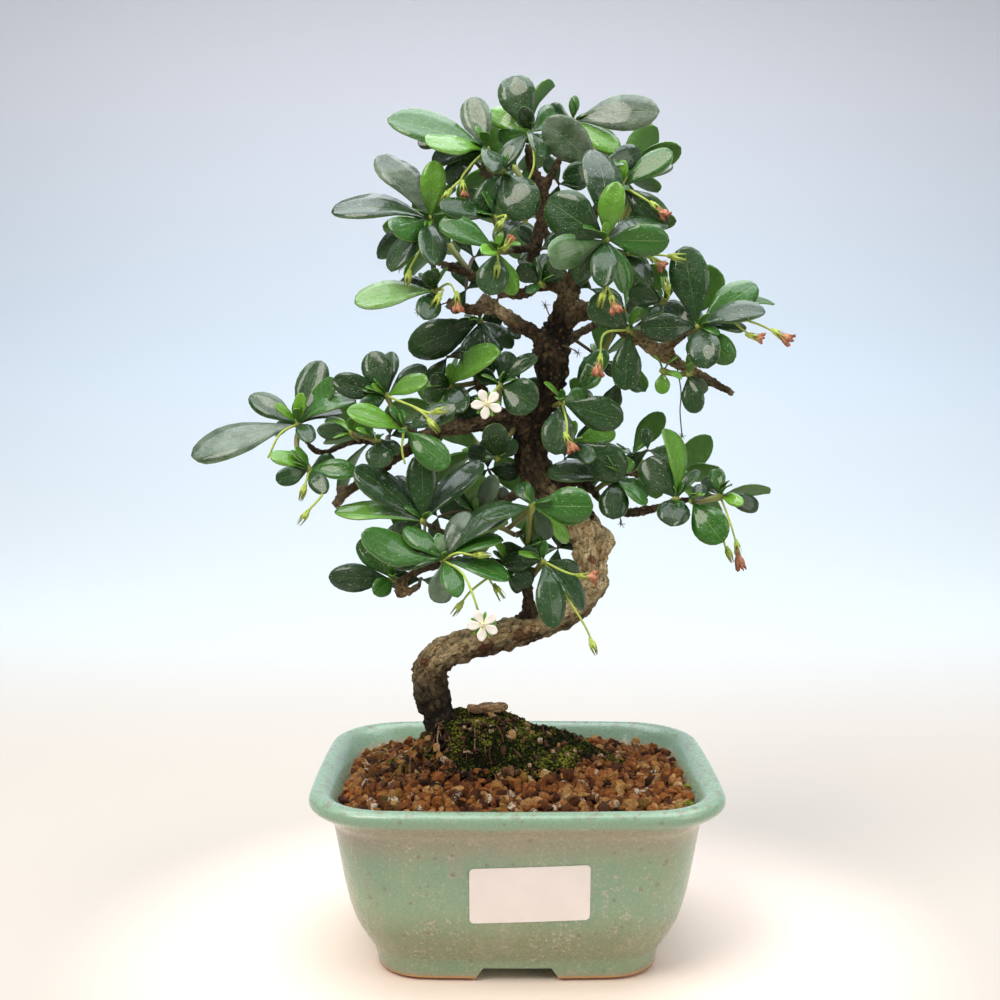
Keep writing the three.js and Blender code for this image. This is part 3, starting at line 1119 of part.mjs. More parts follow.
for (const [name, spray] of Object.entries(SPRAYS)) {
  for (const rosette of spray.rosettes) {
    for (let i = 0; i < rosette.fill; i++) {
      const seed = 5000 + 101 * serial;
      growLeaf(name, (shift) => fillingLeaf(rosette, i, draws(seed), shift), false);
    }
  }
}

// The finished part: every piece is a mesh of its own colour
const group = new THREE.Group();
function add(name, body, [colour, roughness]) {
  const material = new THREE.MeshStandardMaterial({ color: colour, roughness, metalness: 0 });
  const mesh = new THREE.Mesh(geometryOf(largest(body)), material);
  mesh.name = name;
  group.add(mesh);
}

add("pot", potBody(), GLAZE);
add("label", labelBody(), PAPER);
add("soil", soilBody().subtract(woodAndClearance), CLAY);
add("moss", mossBody().subtract(woodAndClearance), MOSS);
add("bark_chip", chipBody(), CHIP);
add("wood", wood, BARK);
for (const [name, parts] of frames) {
  add(`spray_${name}`, join(parts).subtract(woodAndClearance), GREEN);
}
corollas.forEach((one) => add(one.name, one.body, one.colour));

group.updateMatrixWorld(true);
const reach = new THREE.Box3().setFromObject(group);
const middle = reach.getCenter(new THREE.Vector3());
group.position.set(-middle.x, -middle.y, -reach.min.z);

export default group;
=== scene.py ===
"""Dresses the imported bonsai: bark, leaves with veins, flowers, moss, clay granules and a speckled glaze.

The scene's lengths are in metres. The plant's places are given as (across, down, depth): two
coordinates in a front view of 1000 by 1000 and millimetres behind the pot's middle plane.
"""

import math

import bmesh
import bpy
import numpy as np
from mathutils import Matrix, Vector
from mathutils.kdtree import KDTree
from mathutils.noise import noise


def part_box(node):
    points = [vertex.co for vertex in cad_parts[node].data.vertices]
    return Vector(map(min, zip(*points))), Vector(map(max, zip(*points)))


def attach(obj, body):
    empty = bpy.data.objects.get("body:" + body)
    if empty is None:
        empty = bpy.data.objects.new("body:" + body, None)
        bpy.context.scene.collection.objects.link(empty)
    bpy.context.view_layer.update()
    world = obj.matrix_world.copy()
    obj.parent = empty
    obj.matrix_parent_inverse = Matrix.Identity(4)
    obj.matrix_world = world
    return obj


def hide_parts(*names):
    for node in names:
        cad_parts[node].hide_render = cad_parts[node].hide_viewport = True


bl_info = {
    "name": "Potted Bonsai Dressing",
    "version": (1, 0, 0),
    "blender": (4, 5, 0),
    "location": "3D View > Sidebar > Bonsai",
    "description": "Gives a potted bonsai its bark, leaves, flowers, soil, moss and glaze",
    "category": "Object",
}

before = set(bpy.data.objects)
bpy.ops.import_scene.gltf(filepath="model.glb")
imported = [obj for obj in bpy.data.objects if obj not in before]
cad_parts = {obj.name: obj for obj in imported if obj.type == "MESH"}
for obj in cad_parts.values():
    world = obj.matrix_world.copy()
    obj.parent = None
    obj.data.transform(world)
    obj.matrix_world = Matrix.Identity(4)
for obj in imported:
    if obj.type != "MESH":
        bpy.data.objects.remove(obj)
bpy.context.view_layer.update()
POT_LOW, POT_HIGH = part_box("pot")
MIDDLE_X = (POT_LOW.x + POT_HIGH.x) / 2
MIDDLE_Y = (POT_LOW.y + POT_HIGH.y) / 2
MM = 0.001

# The front view: where it is seen from, in millimetres from the pot's middle, and its lens in pixels
VIEW = np.array([-6.3, -540.8, 220.0])
VIEW_FOCAL = 1400.0
VIEW_PITCH = math.radians(4.93)
VIEW_MIDDLE = 500.0


def seen(across, down, depth):
    """A place in the front view, in millimetres from the pot's middle."""
    u = across - VIEW_MIDDLE
    v = VIEW_MIDDLE - down
    forward = VIEW_FOCAL * math.cos(VIEW_PITCH) + v * math.sin(VIEW_PITCH)
    up = -VIEW_FOCAL * math.sin(VIEW_PITCH) + v * math.cos(VIEW_PITCH)
    t = (depth - VIEW[1]) / forward
    return np.array([VIEW[0] + u * t, depth, VIEW[2] + up * t])


def mm_per_pixel(depth):
    """How many millimetres one pixel of the front view spans at a depth."""
    return (depth - VIEW[1]) / VIEW_FOCAL


def in_view(point):
    """Where a place of the plant shows in the front view."""
    x, y, z = np.asarray(point) - VIEW
    ahead = y * math.cos(VIEW_PITCH) - z * math.sin(VIEW_PITCH)
    up = y * math.sin(VIEW_PITCH) + z * math.cos(VIEW_PITCH)
    return VIEW_MIDDLE + VIEW_FOCAL * x / ahead, VIEW_MIDDLE - VIEW_FOCAL * up / ahead


def in_frame(points):
    """Millimetres from the pot's middle, as metres in the shared frame."""
    return np.asarray(points, float) * MM + np.array([MIDDLE_X, MIDDLE_Y, 0.0])


def draws(seed):
    """The same small source of numbers that placed the leaves' solids."""
    state = seed
    while True:
        state = (state * 16807) % 2147483647
        yield state / 2147483647


def unit(vector):
    """The vector's direction, one long."""
    return vector / np.linalg.norm(vector)


def units(vectors):
    """The direction of each row."""
    return vectors / np.linalg.norm(vectors, axis=1)[:, None]


def square_to(vector, axis):
    """The part of a vector that is square to an axis, one long."""
    return unit(vector - axis * vector.dot(axis))


def swing(across, beside, turn):
    """A direction in the plane of two others, turned from the first towards the second."""
    return across * math.cos(turn) + beside * math.sin(turn)


# ---- Meshes -------------------------------------------------------------------------------------

def start_clean():
    """Leaves edit mode and selects nothing."""
    if bpy.context.object and bpy.context.object.mode != "OBJECT":
        bpy.ops.object.mode_set(mode="OBJECT")
    bpy.ops.object.select_all(action="DESELECT")


def name_new(name):
    """Names the object that was just added."""
    made = bpy.context.active_object
    made.name = name
    made.data.name = name
    return made


def make_active(made):
    """Makes the object the only one selected."""
    start_clean()
    made.select_set(True)
    bpy.context.view_layer.objects.active = made


def settle(made):
    """Leaves the object at the origin, with its place in its mesh."""
    make_active(made)
    bpy.ops.object.transform_apply(location=True, rotation=True, scale=True)
    made.select_set(False)
    return made


def apply_modifier(made, kind, **settings):
    """Adds one modifier and applies it."""
    make_active(made)
    modifier = made.modifiers.new(kind.title(), kind)
    for key, value in settings.items():
        setattr(modifier, key, value)
    bpy.ops.object.modifier_apply(modifier=modifier.name)


def edit(made, mode="FACE", action="DESELECT"):
    """Opens the object in edit mode, with nothing or everything selected."""
    make_active(made)
    bpy.ops.object.mode_set(mode="EDIT")
    bpy.ops.mesh.select_mode(type=mode)
    bpy.ops.mesh.select_all(action=action)


def leave_edit():
    """Goes back to object mode."""
    bpy.ops.object.mode_set(mode="OBJECT")


def select(made, kind, test):
    """Selects the verts, edges or faces that pass the test, while the object is in edit mode."""
    mesh = bmesh.from_edit_mesh(made.data)
    for part in getattr(mesh, kind):
        part.select = bool(test(part))
    mesh.select_flush_mode()
    bmesh.update_edit_mesh(made.data)


def extrude(rise):
    """Draws out what is selected, straight up."""
    bpy.ops.mesh.extrude_region_move(TRANSFORM_OT_translate={"value": (0, 0, rise)})


def resize(across, deep):
    """Sizes what is selected about the pot's middle."""
    bpy.ops.transform.resize(value=(across, deep, 1), center_override=(MIDDLE_X, MIDDLE_Y, 0))


def face_outwards():
    """Turns every face of the mesh in edit mode to the outside."""
    bpy.ops.mesh.select_all(action="SELECT")
    bpy.ops.mesh.normals_make_consistent(inside=False)


def corners(made, kind="co"):
    """The object's vertices, or another measure of each of them, as an array."""
    places = np.empty(len(made.data.vertices) * 3)
    made.data.vertices.foreach_get(kind, places)
    return places.reshape(-1, 3)


def set_corners(made, places):
    """Moves the object's vertices."""
    made.data.vertices.foreach_set("co", np.asarray(places, float).ravel())
    made.data.update()


def store(made, name, values):
    """Keeps a value of each corner for the materials."""
    made.data.attributes.new(name, "FLOAT", "POINT").data.foreach_set("value", values)


class Pile:
    """Copies of modelled shapes, gathered with their values and turned into one mesh."""

    def __init__(self):
        self.places, self.faces, self.kinds = [], [], []
        self.values, self.maps = {}, []
        self.count = 0

    def add(self, places, faces, kind=0, uv=None, **values):
        """Adds a shape in millimetres, with the number of its material and its values."""
        places = in_frame(places)
        self.places.append(places)
        self.faces.extend(tuple(i + self.count for i in face) for face in faces)
        self.kinds.extend([kind] * len(faces))
        self.maps.append(np.zeros((len(places), 2)) if uv is None else uv)
        for name, value in values.items():
            self.values.setdefault(name, []).append((self.count, np.broadcast_to(value, len(places))))
        self.count += len(places)

    def build(self, name, materials, node, uv_name="Along"):
        """Makes the one mesh and hands it over."""
        mesh = bpy.data.meshes.new(name)
        mesh.from_pydata(np.concatenate(self.places).tolist(), [], self.faces)
        made = bpy.data.objects.new(name, mesh)
        bpy.context.scene.collection.objects.link(made)
        mesh.polygons.foreach_set("use_smooth", [True] * len(mesh.polygons))
        for value_name, parts in self.values.items():
            column = np.zeros(self.count)
            for first, part in parts:
                column[first:first + len(part)] = part
            store(made, value_name, column)
        loops = np.empty(len(mesh.loops), int)
        mesh.loops.foreach_get("vertex_index", loops)
        layer = mesh.uv_layers.new(name=uv_name)
        layer.data.foreach_set("uv", np.concatenate(self.maps)[loops].ravel())
        hand_over(made, materials, node)
        mesh.polygons.foreach_set("material_index", self.kinds)
        mesh.update()
        return made


def hand_over(made, materials, node):
    """The piece gets its materials, moves with the one body, and stands for the solid that it replaces."""
    made.data.materials.clear()
    for material in materials:
        made.data.materials.append(material)
    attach(made, "root")
    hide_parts(node)


def template(made):
    """A modelled shape as (places, faces), ready to be copied, with its object put away."""
    shape = corners(made), [tuple(face.vertices) for face in made.data.polygons]
    bpy.data.objects.remove(made)
    return shape


# The pairs of knots between which the centripetal curve blends, round by round
CURVE_ROUNDS = ((0, 1), (1, 2), (2, 3)), ((0, 2), (1, 3)), ((1, 2),)


def smooth_line(points, steps):
    """Points along a centripetal curve through the given ones, with their places 0 .. n-1."""
    points = np.asarray(points, float)
    ghosts = np.vstack([2 * points[0] - points[1], points, 2 * points[-1] - points[-2]])
    line, places = [], []
    for i in range(len(points) - 1):
        near = ghosts[i:i + 4]
        knots = [0.0]
        for a, b in zip(near, near[1:]):
            knots.append(knots[-1] + max(np.linalg.norm(b - a), 1e-6) ** 0.5)
        last = i == len(points) - 2
        for share in np.linspace(0, 1, steps + 1)[:steps + last]:
            t = knots[1] + (knots[2] - knots[1]) * share
            blend = near
            for spans in CURVE_ROUNDS:
                blend = [(knots[b] - t) / (knots[b] - knots[a]) * p + (t - knots[a]) / (knots[b] - knots[a]) * q
                         for (a, b), p, q in zip(spans, blend, blend[1:])]
            line.append(blend[0])
            places.append(i + share)
    return np.array(line), np.array(places)


def walls(rings, sides):
    """The faces between rings of points that follow each other."""
    return [(a, b, b + sides, a + sides) for start in range(0, (rings - 1) * sides, sides)
            for a, b in ((start + k, start + (k + 1) % sides) for k in range(sides))]


def tube(points, radii, sides=8, steps=4):
    """A closed round skin along a smooth line, as (places, faces, share around and way along)."""
    line, places = smooth_line(points, steps)
    radius = np.interp(places, np.arange(len(radii)), radii)
    tangents = units(np.gradient(line, axis=0))
    across = unit(np.cross(tangents[0], [0.31, -0.9, 0.27]))
    reach = np.concatenate([[0], np.cumsum(np.linalg.norm(np.diff(line, axis=0), axis=1))])
    rings, uv = [], []
    for i, (middle, tangent) in enumerate(zip(line, tangents)):
        across = square_to(across, tangent)
        beside = np.cross(tangent, across)
        for k in range(sides):
            rings.append(middle + radius[i] * swing(across, beside, 2 * math.pi * k / sides))
            uv.append((k / sides, reach[i]))
    faces = walls(len(line), sides)
    faces.append(tuple(range(sides))[::-1])
    faces.append(tuple(range(len(rings) - sides, len(rings))))
    return np.array(rings), faces, np.array(uv)


# ---- Materials ----------------------------------------------------------------------------------

def colour(code):
    """A colour written as 0xRRGGBB, as linear red, green, blue and alpha."""
    parts = [(code >> shift & 255) / 255 for shift in (16, 8, 0)]
    return tuple(c / 12.92 if c <= 0.04045 else ((c + 0.055) / 1.055) ** 2.4 for c in parts) + (1.0,)


class Nodes:
    """Short calls for shader nodes; a noise with no vector reads the object's own coordinates."""

    def __init__(self, tree):
        self.tree = tree
        self.place = None

    def add(self, kind, inputs=None, **settings):
        """A new node with its settings, and its inputs linked or set."""
        node = self.tree.nodes.new("ShaderNode" + kind)
        for key, value in settings.items():
            setattr(node, key, value)
        for key, value in (inputs or {}).items():
            self.feed(node.inputs[key], value)
        return node

    def feed(self, socket, value):
        """Links an output to a socket, or sets the socket to a value."""
        if isinstance(value, bpy.types.NodeSocket):
            self.tree.links.new(value, socket)
        else:
            socket.default_value = value

    def attribute(self, name):
        return self.add("Attribute", attribute_name=name).outputs["Fac"]

    def noise(self, scale, detail=4.0, roughness=0.55, vector=None):
        inputs = {"Vector": vector or self.place, "Scale": scale, "Detail": detail, "Roughness": roughness}
        return self.add("TexNoise", inputs).outputs["Fac"]

    def mask(self, value, low, high, start=0.0, end=1.0):
        """Goes smoothly from start to end while the value goes from low to high."""
        inputs = {"Value": value, "From Min": low, "From Max": high, "To Min": start, "To Max": end}
        return self.add("MapRange", inputs, interpolation_type="SMOOTHSTEP").outputs[0]

    def math(self, operation, a, b=0.5):
        return self.add("Math", {0: a, 1: b}, operation=operation).outputs[0]

    def times(self, a, *others):
        for b in others:
            a = self.math("MULTIPLY", a, b)
        return a

    def plus(self, a, b):
        return self.math("ADD", a, b)

    def minus(self, a, b):
        return self.math("SUBTRACT", a, b)

    def larger(self, a, b):
        return self.math("MAXIMUM", a, b)

    def off_middle(self, value):
        """How far a value between 0 and 1 is from a half."""
        return self.math("ABSOLUTE", self.minus(value, 0.5))

    def mix(self, factor, a, b):
        return self.add("Mix", {0: factor, 6: a, 7: b}, data_type="RGBA").outputs[2]

    def apart(self, vector):
        return self.add("SeparateXYZ", {0: vector}).outputs[:3]

    def bump(self, height, strength, distance, **more):
        inputs = {"Height": height, "Strength": strength, "Distance": distance, **more}
        return self.add("Bump", inputs).outputs[0]


def effect(name, inputs, outputs):
    """An empty shared effect: its group, its nodes, what comes in and where its results go."""
    group = bpy.data.node_groups.new(name, "ShaderNodeTree")
    group.interface.new_socket("Vector", in_out="INPUT", socket_type="NodeSocketVector")
    for title, default in inputs.items():
        socket = group.interface.new_socket(title, in_out="INPUT", socket_type="NodeSocketFloat")
        socket.default_value = default
    for title in outputs:
        group.interface.new_socket(title, in_out="OUTPUT", socket_type="NodeSocketFloat")
    start = group.nodes.new("NodeGroupInput").outputs
    end = group.nodes.new("NodeGroupOutput").inputs
    return group, Nodes(group), start, end


def speckle_effect(name):
    """Round spots of uneven size: a mask that is 1 on the spots that the share lets through."""
    group, nodes, start, end = effect(name, {"Scale": 400.0, "Size": 0.3, "Share": 0.3}, ["Mask"])
    cell = nodes.add("TexVoronoi", {"Vector": start["Vector"], "Scale": start["Scale"]}).outputs
    chosen, uneven, _ = nodes.apart(cell["Color"])
    size = nodes.times(start["Size"], nodes.plus(uneven, 0.35))
    full = nodes.times(size, 0.55)
    inside = nodes.add("MapRange", {"Value": cell["Distance"], "From Min": size, "From Max": full}).outputs[0]
    nodes.feed(end["Mask"], nodes.times(inside, nodes.math("LESS_THAN", chosen, start["Share"])))
    return group


def mottle_effect(name):
    """Broad and fine unevenness, for colour and for relief."""
    group, nodes, start, end = effect(name, {"Scale": 60.0, "Fine Scale": 600.0}, ["Broad", "Fine"])
    broad = nodes.noise(start["Scale"], 5.0, vector=start["Vector"])
    fine = nodes.noise(start["Fine Scale"], 3.0, vector=start["Vector"])
    nodes.feed(end["Broad"], nodes.mask(broad, 0.32, 0.68))
    nodes.feed(end["Fine"], nodes.mask(fine, 0.3, 0.7))
    return group


def fissure_effect(name):
    """Bark plates and the cracks between them, drawn out along the third coordinate."""
    group, nodes, start, end = effect(name, {"Scale": 500.0, "Stretch": 0.35}, ["Height", "Crack"])
    grown = nodes.add("VectorMath", {0: start["Vector"], "Scale": start["Scale"]}, operation="SCALE").outputs[0]
    x, y, z = nodes.apart(grown)
    drawn = nodes.add("CombineXYZ", {0: x, 1: y, 2: nodes.times(z, start["Stretch"])}).outputs[0]
    wander = nodes.add("TexNoise", {"Vector": drawn, "Scale": 1.0, "Detail": 3.0}).outputs["Color"]
    inputs = {0: wander, 1: (2.4, 2.4, 2.4), 2: drawn}
    bent = nodes.add("VectorMath", inputs, operation="MULTIPLY_ADD").outputs[0]
    edge = nodes.add("TexVoronoi", {"Vector": bent, "Scale": 1.0}, feature="DISTANCE_TO_EDGE").outputs
    crack = nodes.mask(edge["Distance"], 0.0, 0.16, 1.0, 0.0)
    plates = nodes.noise(2.5, 6.0, 0.65, vector=bent)
    nodes.feed(end["Height"], nodes.minus(nodes.times(plates, 0.9), nodes.times(crack, 0.6)))
    nodes.feed(end["Crack"], crack)
    return group


class Finish(Nodes):
    """A material in the making: its base colour is painted over, coat by coat."""

    def __init__(self, name):
        old = bpy.data.materials.get(name)
        if old:
            bpy.data.materials.remove(old)
        self.material = bpy.data.materials.new(name)
        self.material.use_nodes = True
        super().__init__(self.material.node_tree)
        self.place = self.drawn_place((1, 1, 1))
        self.base = None

    def drawn_place(self, scale):
        """The object's coordinates, drawn out where the scale is less than 1."""
        place = self.add("TexCoord").outputs["Object"]
        return self.add("Mapping", {"Vector": place, "Scale": scale}).outputs[0]

    def use(self, name, make, vector=None, **inputs):
        """Places a shared effect, which is built at its first use."""
        node = self.tree.nodes.new("ShaderNodeGroup")
        node.node_tree = bpy.data.node_groups.get(name) or make(name)
        self.feed(node.inputs["Vector"], vector or self.place)
        for key, value in inputs.items():
            node.inputs[key.replace("_", " ").title()].default_value = value
        return list(node.outputs)

    def speckles(self, scale, size, share):
        return self.use("Speckles", speckle_effect, scale=scale, size=size, share=share)[0]

    def mottling(self, scale, fine_scale, vector=None):
        return self.use("Mottling", mottle_effect, vector, scale=scale, fine_scale=fine_scale)

    def fissures(self, scale, stretch, vector):
        return self.use("Bark Fissures", fissure_effect, vector, scale=scale, stretch=stretch)

    def start(self, factor, a, b):
        """The first coat: a blend of two colours."""
        self.base = self.mix(factor, a, b)

    def paint(self, shade, *masks):
        """Lays a colour over the base, by the product of the masks."""
        self.base = self.mix(self.times(*masks), self.base, shade)

    def done(self, inputs):
        """Feeds the shader and hands the material out."""
        shader = self.tree.nodes["Principled BSDF"].inputs
        for key, value in {"Base Color": self.base, **inputs}.items():
            self.feed(shader[key], value)
        return self.material


def glaze_material(look):
    """Sage green glaze, beige where it ran thin, turquoise on the lip, bare clay under the foot."""
    glaze = Finish("Speckled glaze")
    height = glaze.apart(glaze.place)[2]
    run = glaze.drawn_place((1.0, 1.0, 0.22))
    streak = glaze.noise(70.0, 5.0, 0.6, vector=run)
    broad, fine = glaze.mottling(45.0, 900.0)
    wave = glaze.times(glaze.minus(streak, 0.5), 0.012)
    level = glaze.plus(height, wave)
    glaze.start(broad, look.glaze_dark, look.glaze_body)
    foot = glaze.mask(height, 0.0065, 0.0105, 0.1, 0.75)
    glaze.paint(look.glaze_low, glaze.mask(level, 0.032, 0.016), foot)
    thin = glaze.times(glaze.mask(level, 0.0455, 0.0585), glaze.mask(level, 0.0665, 0.0625), 0.85)
    thin = glaze.larger(thin, glaze.times(glaze.mask(streak, 0.52, 0.72), 0.5))
    glaze.paint(look.glaze_thin, thin)
    lip = glaze.mask(glaze.plus(height, glaze.times(wave, 0.25)), 0.0630, 0.0655)
    glaze.paint(look.glaze_lip, lip)
    cloud = glaze.mask(glaze.noise(120.0, 6.0, 0.7, vector=run), 0.46, 0.62, 0.22, 0.66)
    cloud = glaze.times(cloud, glaze.mask(lip, 1.0, 0.0, 0.3, 1.0))
    specks = glaze.larger(cloud, glaze.times(thin, 0.5))
    glaze.paint(look.glaze_speck, glaze.speckles(840.0, 0.5, 0.5), specks)
    crust = glaze.mask(glaze.noise(620.0, 6.0, 0.75), 0.53, 0.6)
    glaze.paint(look.glaze_speck, crust, glaze.mask(cloud, 0.3, 0.6, 0.0, 0.3))
    glaze.paint(look.glaze_brown, glaze.speckles(330.0, 0.32, 0.22), 0.45)
    worn = glaze.mask(glaze.noise(260.0), 0.5, 0.64)
    glaze.paint(look.glaze_brown, glaze.mask(height, 0.0672, 0.0695), worn, 0.45)
    # Painted highlight: a pale band along the foot's lower edge, just above the bare clay
    glaze.paint(look.glaze_thin, glaze.mask(height, 0.0042, 0.0026, 0.0, 0.5))
    bare = glaze.mask(glaze.plus(height, glaze.times(wave, 0.12)), 0.0022, 0.0015)
    glaze.paint(look.bare_clay, bare)
    relief = glaze.plus(glaze.times(fine, 0.25), glaze.times(broad, 0.6))
    return glaze.done({
        "Roughness": glaze.larger(glaze.mask(fine, 0.0, 1.0, 0.24, 0.38), glaze.times(bare, 0.85)),
        "Coat Weight": 0.35, "Coat Roughness": 0.12, "Normal": glaze.bump(relief, 0.35, 0.0006)})


def paper_material(look):
    """Plain matt paper."""
    paper = Finish("Blank paper")
    broad, fine = paper.mottling(80.0, 2500.0)
    paper.start(broad, look.paper, look.paper_pale)
    return paper.done({"Roughness": 0.6, "Normal": paper.bump(fine, 0.15, 0.00008)})


def granule_material(look):
    """Baked clay: rust brown granules, each with its own tone, and a white crust on some."""
    clay = Finish("Baked clay granules")
    tone = clay.attribute("tone")
    clay.start(clay.mask(tone, 0.0, 0.55), look.clay_dark, look.clay)
    clay.paint(look.clay_light, clay.mask(tone, 0.6, 1.0))
    broad, _ = clay.mottling(520.0, 2400.0)
    clay.paint(look.clay_dark, broad, 0.35)
    clay.paint(look.moss_light, clay.mask(clay.noise(45.0, 3.0), 0.56, 0.7), 0.3)
    clay.paint(look.crust, clay.attribute("crust"), clay.mask(clay.noise(480.0, 6.0, 0.75), 0.5, 0.55))
    crumbs = clay.noise(900.0, 6.0, 0.75)
    clay.paint(look.earth, clay.mask(crumbs, 0.5, 0.36, 0.0, 0.35))
    relief = clay.plus(clay.times(crumbs, 2.0), clay.times(broad, 0.8))
    return clay.done({"Roughness": 0.92, "Specular IOR Level": 0.25, "Normal": clay.bump(relief, 1.0, 0.0011)})


def moss_material(look):
    """Moss: nearly black in its hollows and yellow green at its tips, with bare earth between."""
    moss = Finish("Moss")
    broad, fine = moss.mottling(150.0, 1400.0)
    tone = moss.attribute("tone")
    moss.start(moss.times(broad, 0.4), look.moss, look.moss_dark)
    moss.paint(look.moss_dark, moss.mask(tone, 0.3, 0.0))
    moss.paint(look.moss_light, moss.mask(tone, 0.5, 1.0))
    earth = moss.plus(moss.noise(95.0, 5.0), moss.times(moss.attribute("earth"), 0.34))
    moss.paint(look.earth, moss.mask(earth, 0.72, 0.84))
    return moss.done({"Roughness": 0.95, "Specular IOR Level": 0.15, "Normal": moss.bump(fine, 1.0, 0.0008)})


def bark_material(look):
    """Bark that follows the limbs: tan and pitted low down, nearly black and flaky higher up."""
    bark = Finish("Bark")
    along = bark.add("Attribute", attribute_name="grain").outputs["Vector"]
    plates, crack = bark.fissures(600.0, 0.6, along)
    broad, fine = bark.mottling(170.0, 1100.0)
    age, algae = bark.attribute("age"), bark.attribute("algae")
    ridge = bark.plus(bark.attribute("ridge"), bark.times(bark.minus(fine, 0.5), 0.35))
    young = bark.mix(broad, look.bark_tan, look.bark_pale)
    bark.start(age, young, bark.mix(bark.times(broad, 0.2), look.bark_dark, look.bark_fleck))
    pale = bark.mix(age, look.bark_pale, look.bark_fleck)
    # Painted highlight: the high places of the relief are painted pale, as plates that catch the light
    bark.paint(pale, bark.mask(ridge, 0.45, 0.9), bark.mask(age, 0.0, 1.0, 0.9, 0.2))
    weathered = bark.mask(bark.noise(110.0), 0.5, 0.66)
    bark.paint(bark.mix(age, look.bark_olive, look.bark_dark), weathered, 0.4)
    grime = bark.mask(bark.noise(330.0, 8.0, 0.8), 0.52, 0.62)
    bark.paint(look.bark_dark, grime, bark.mask(age, 0.0, 1.0, 0.36, 0.5))
    # The relief's low places in the cracks' colour: the bark's dark pits, with painted shade
    bark.paint(look.bark_crack, bark.mask(ridge, 0.26, 0.04), bark.mask(age, 0.0, 1.0, 0.65, 0.95))
    bark.paint(look.bark_crack, crack, bark.mask(age, 0.0, 1.0, 0.24, 0.4), bark.mask(ridge, 0.9, 0.4))
    rust = bark.plus(bark.noise(380.0, 5.0, 0.65), bark.times(bark.attribute("rust"), 0.25))
    bark.paint(look.bark_rust, bark.mask(rust, 0.62, 0.74), 0.75)
    bark.paint(look.bark_fleck, bark.speckles(460.0, 0.55, 0.55), bark.mask(age, 0.3, 1.0, 0.05, 0.75))
    # Dark and mossy where the algae grows at the trunk's foot, with painted shade on the trunk's downward faces
    bark.paint(look.bark_crack, algae, 0.72)
    bark.paint(look.moss_dark, bark.mask(bark.noise(160.0), 0.45, 0.62), algae, 0.7)
    bark.paint(look.cut_wood, bark.attribute("cut"))
    flakes = bark.bump(plates, 1.0, 0.0016)
    grit = bark.noise(1500.0, 5.0, 0.6)
    return bark.done({
        "Roughness": 0.85, "Specular IOR Level": 0.3,
        "Normal": bark.bump(grit, 0.5, 0.0005, Normal=flakes)})


def leaf_material(look):
    """Leathery leaves: a pale midrib and margin, side veins, fine white dots, a lighter underside, and a
    painted sheen on the leaves that face the light.
    """
    leaf = Finish("Leaves")
    x, y, _ = leaf.apart(leaf.add("UVMap", uv_map="Blade").outputs[0])
    tone, under = leaf.attribute("tone"), leaf.attribute("under")
    broad, fine = leaf.mottling(110.0, 1700.0)
    leaf.start(leaf.mask(tone, 0.0, 0.5), look.leaf_dark, look.leaf_green)
    leaf.paint(look.leaf_young, leaf.mask(tone, 0.5, 1.0))
    leaf.paint(look.leaf_green, broad, 0.12)
    aside = leaf.off_middle(y)
    ray = leaf.minus(leaf.times(x, 8.0), leaf.times(aside, 7.0))
    wave = leaf.off_middle(leaf.math("FRACT", ray))
    vein = leaf.times(leaf.mask(wave, 0.08, 0.0), leaf.mask(aside, 0.45, 0.05))
    rib = leaf.mask(aside, 0.022, 0.004)
    lines = leaf.larger(rib, leaf.mask(aside, 0.465, 0.495))
    leaf.paint(look.leaf_vein, lines, leaf.mask(tone, 0.0, 0.8, 0.22, 0.5))
    leaf.paint(look.leaf_vein, vein, 0.1)
    # Fine pale flecks on the darker leaves: partly dust, partly painted sheen
    dust_and_sheen = leaf.times(leaf.mask(leaf.noise(700.0, 5.0, 0.7), 0.5, 0.75), broad)
    leaf.paint(look.leaf_dot, dust_and_sheen, leaf.mask(tone, 0.9, 0.0, 0.0, 0.1))
    # Painted sheen: pale patches on the leaves that face the light, as much as each leaf's attribute gives
    frost = leaf.mask(leaf.noise(90.0, 6.0, 0.62), 0.38, 0.6, 0.2, 1.0)
    frost = leaf.times(frost, leaf.attribute("frost"))
    leaf.paint(look.leaf_frost, frost, 0.32)
    leaf.paint(look.leaf_dot, leaf.speckles(1200.0, 0.22, 0.42), 0.7)
    leaf.paint(look.leaf_under, under, 0.85)
    dull = leaf.plus(leaf.mask(broad, 0.0, 1.0, 0.24, 0.38), leaf.times(leaf.larger(dust_and_sheen, frost), 0.25))
    sunk = leaf.plus(leaf.times(rib, 0.6), leaf.times(vein, 0.35))
    quilt = leaf.plus(leaf.minus(leaf.times(fine, 0.22), sunk), leaf.times(leaf.noise(260.0), 2.4))
    return leaf.done({
        "Roughness": leaf.larger(dull, leaf.times(under, 0.5)), "Specular IOR Level": 0.3,
        "Coat Weight": leaf.times(leaf.mask(under, 1.0, 0.0), 0.6), "Coat Roughness": 0.09,
        "Normal": leaf.bump(quilt, 0.7, 0.0006)})


def stalk_material(look):
    """Green stalks and calyxes, browner where they turn to wood."""
    stalk = Finish("Green stalks")
    broad, fine = stalk.mottling(140.0, 1500.0)
    stalk.start(stalk.attribute("wood"), look.stalk, look.twig)
    stalk.paint(look.leaf_green, broad, 0.3)
    return stalk.done({"Roughness": 0.55, "Normal": stalk.bump(fine, 0.3, 0.0002)})


def petal_material(look):
    """White petals with a greenish heart, faint lines along them, and pollen on the stamens."""
    petal = Finish("White petals")
    x, y, _ = petal.apart(petal.add("UVMap", uv_map="Petal").outputs[0])
    petal.start(petal.mask(x, 0.34, 0.06), look.petal, look.petal_heart)
    line = petal.mask(petal.off_middle(petal.math("FRACT", petal.times(y, 7.0))), 0.1, 0.0)
    petal.paint(look.petal_line, line, 0.12)
    petal.paint(look.pollen, petal.attribute("pollen"))
    return petal.done({"Roughness": 0.6, "Subsurface Weight": 0.1, "Normal": petal.bump(line, 0.3, 0.0001)})


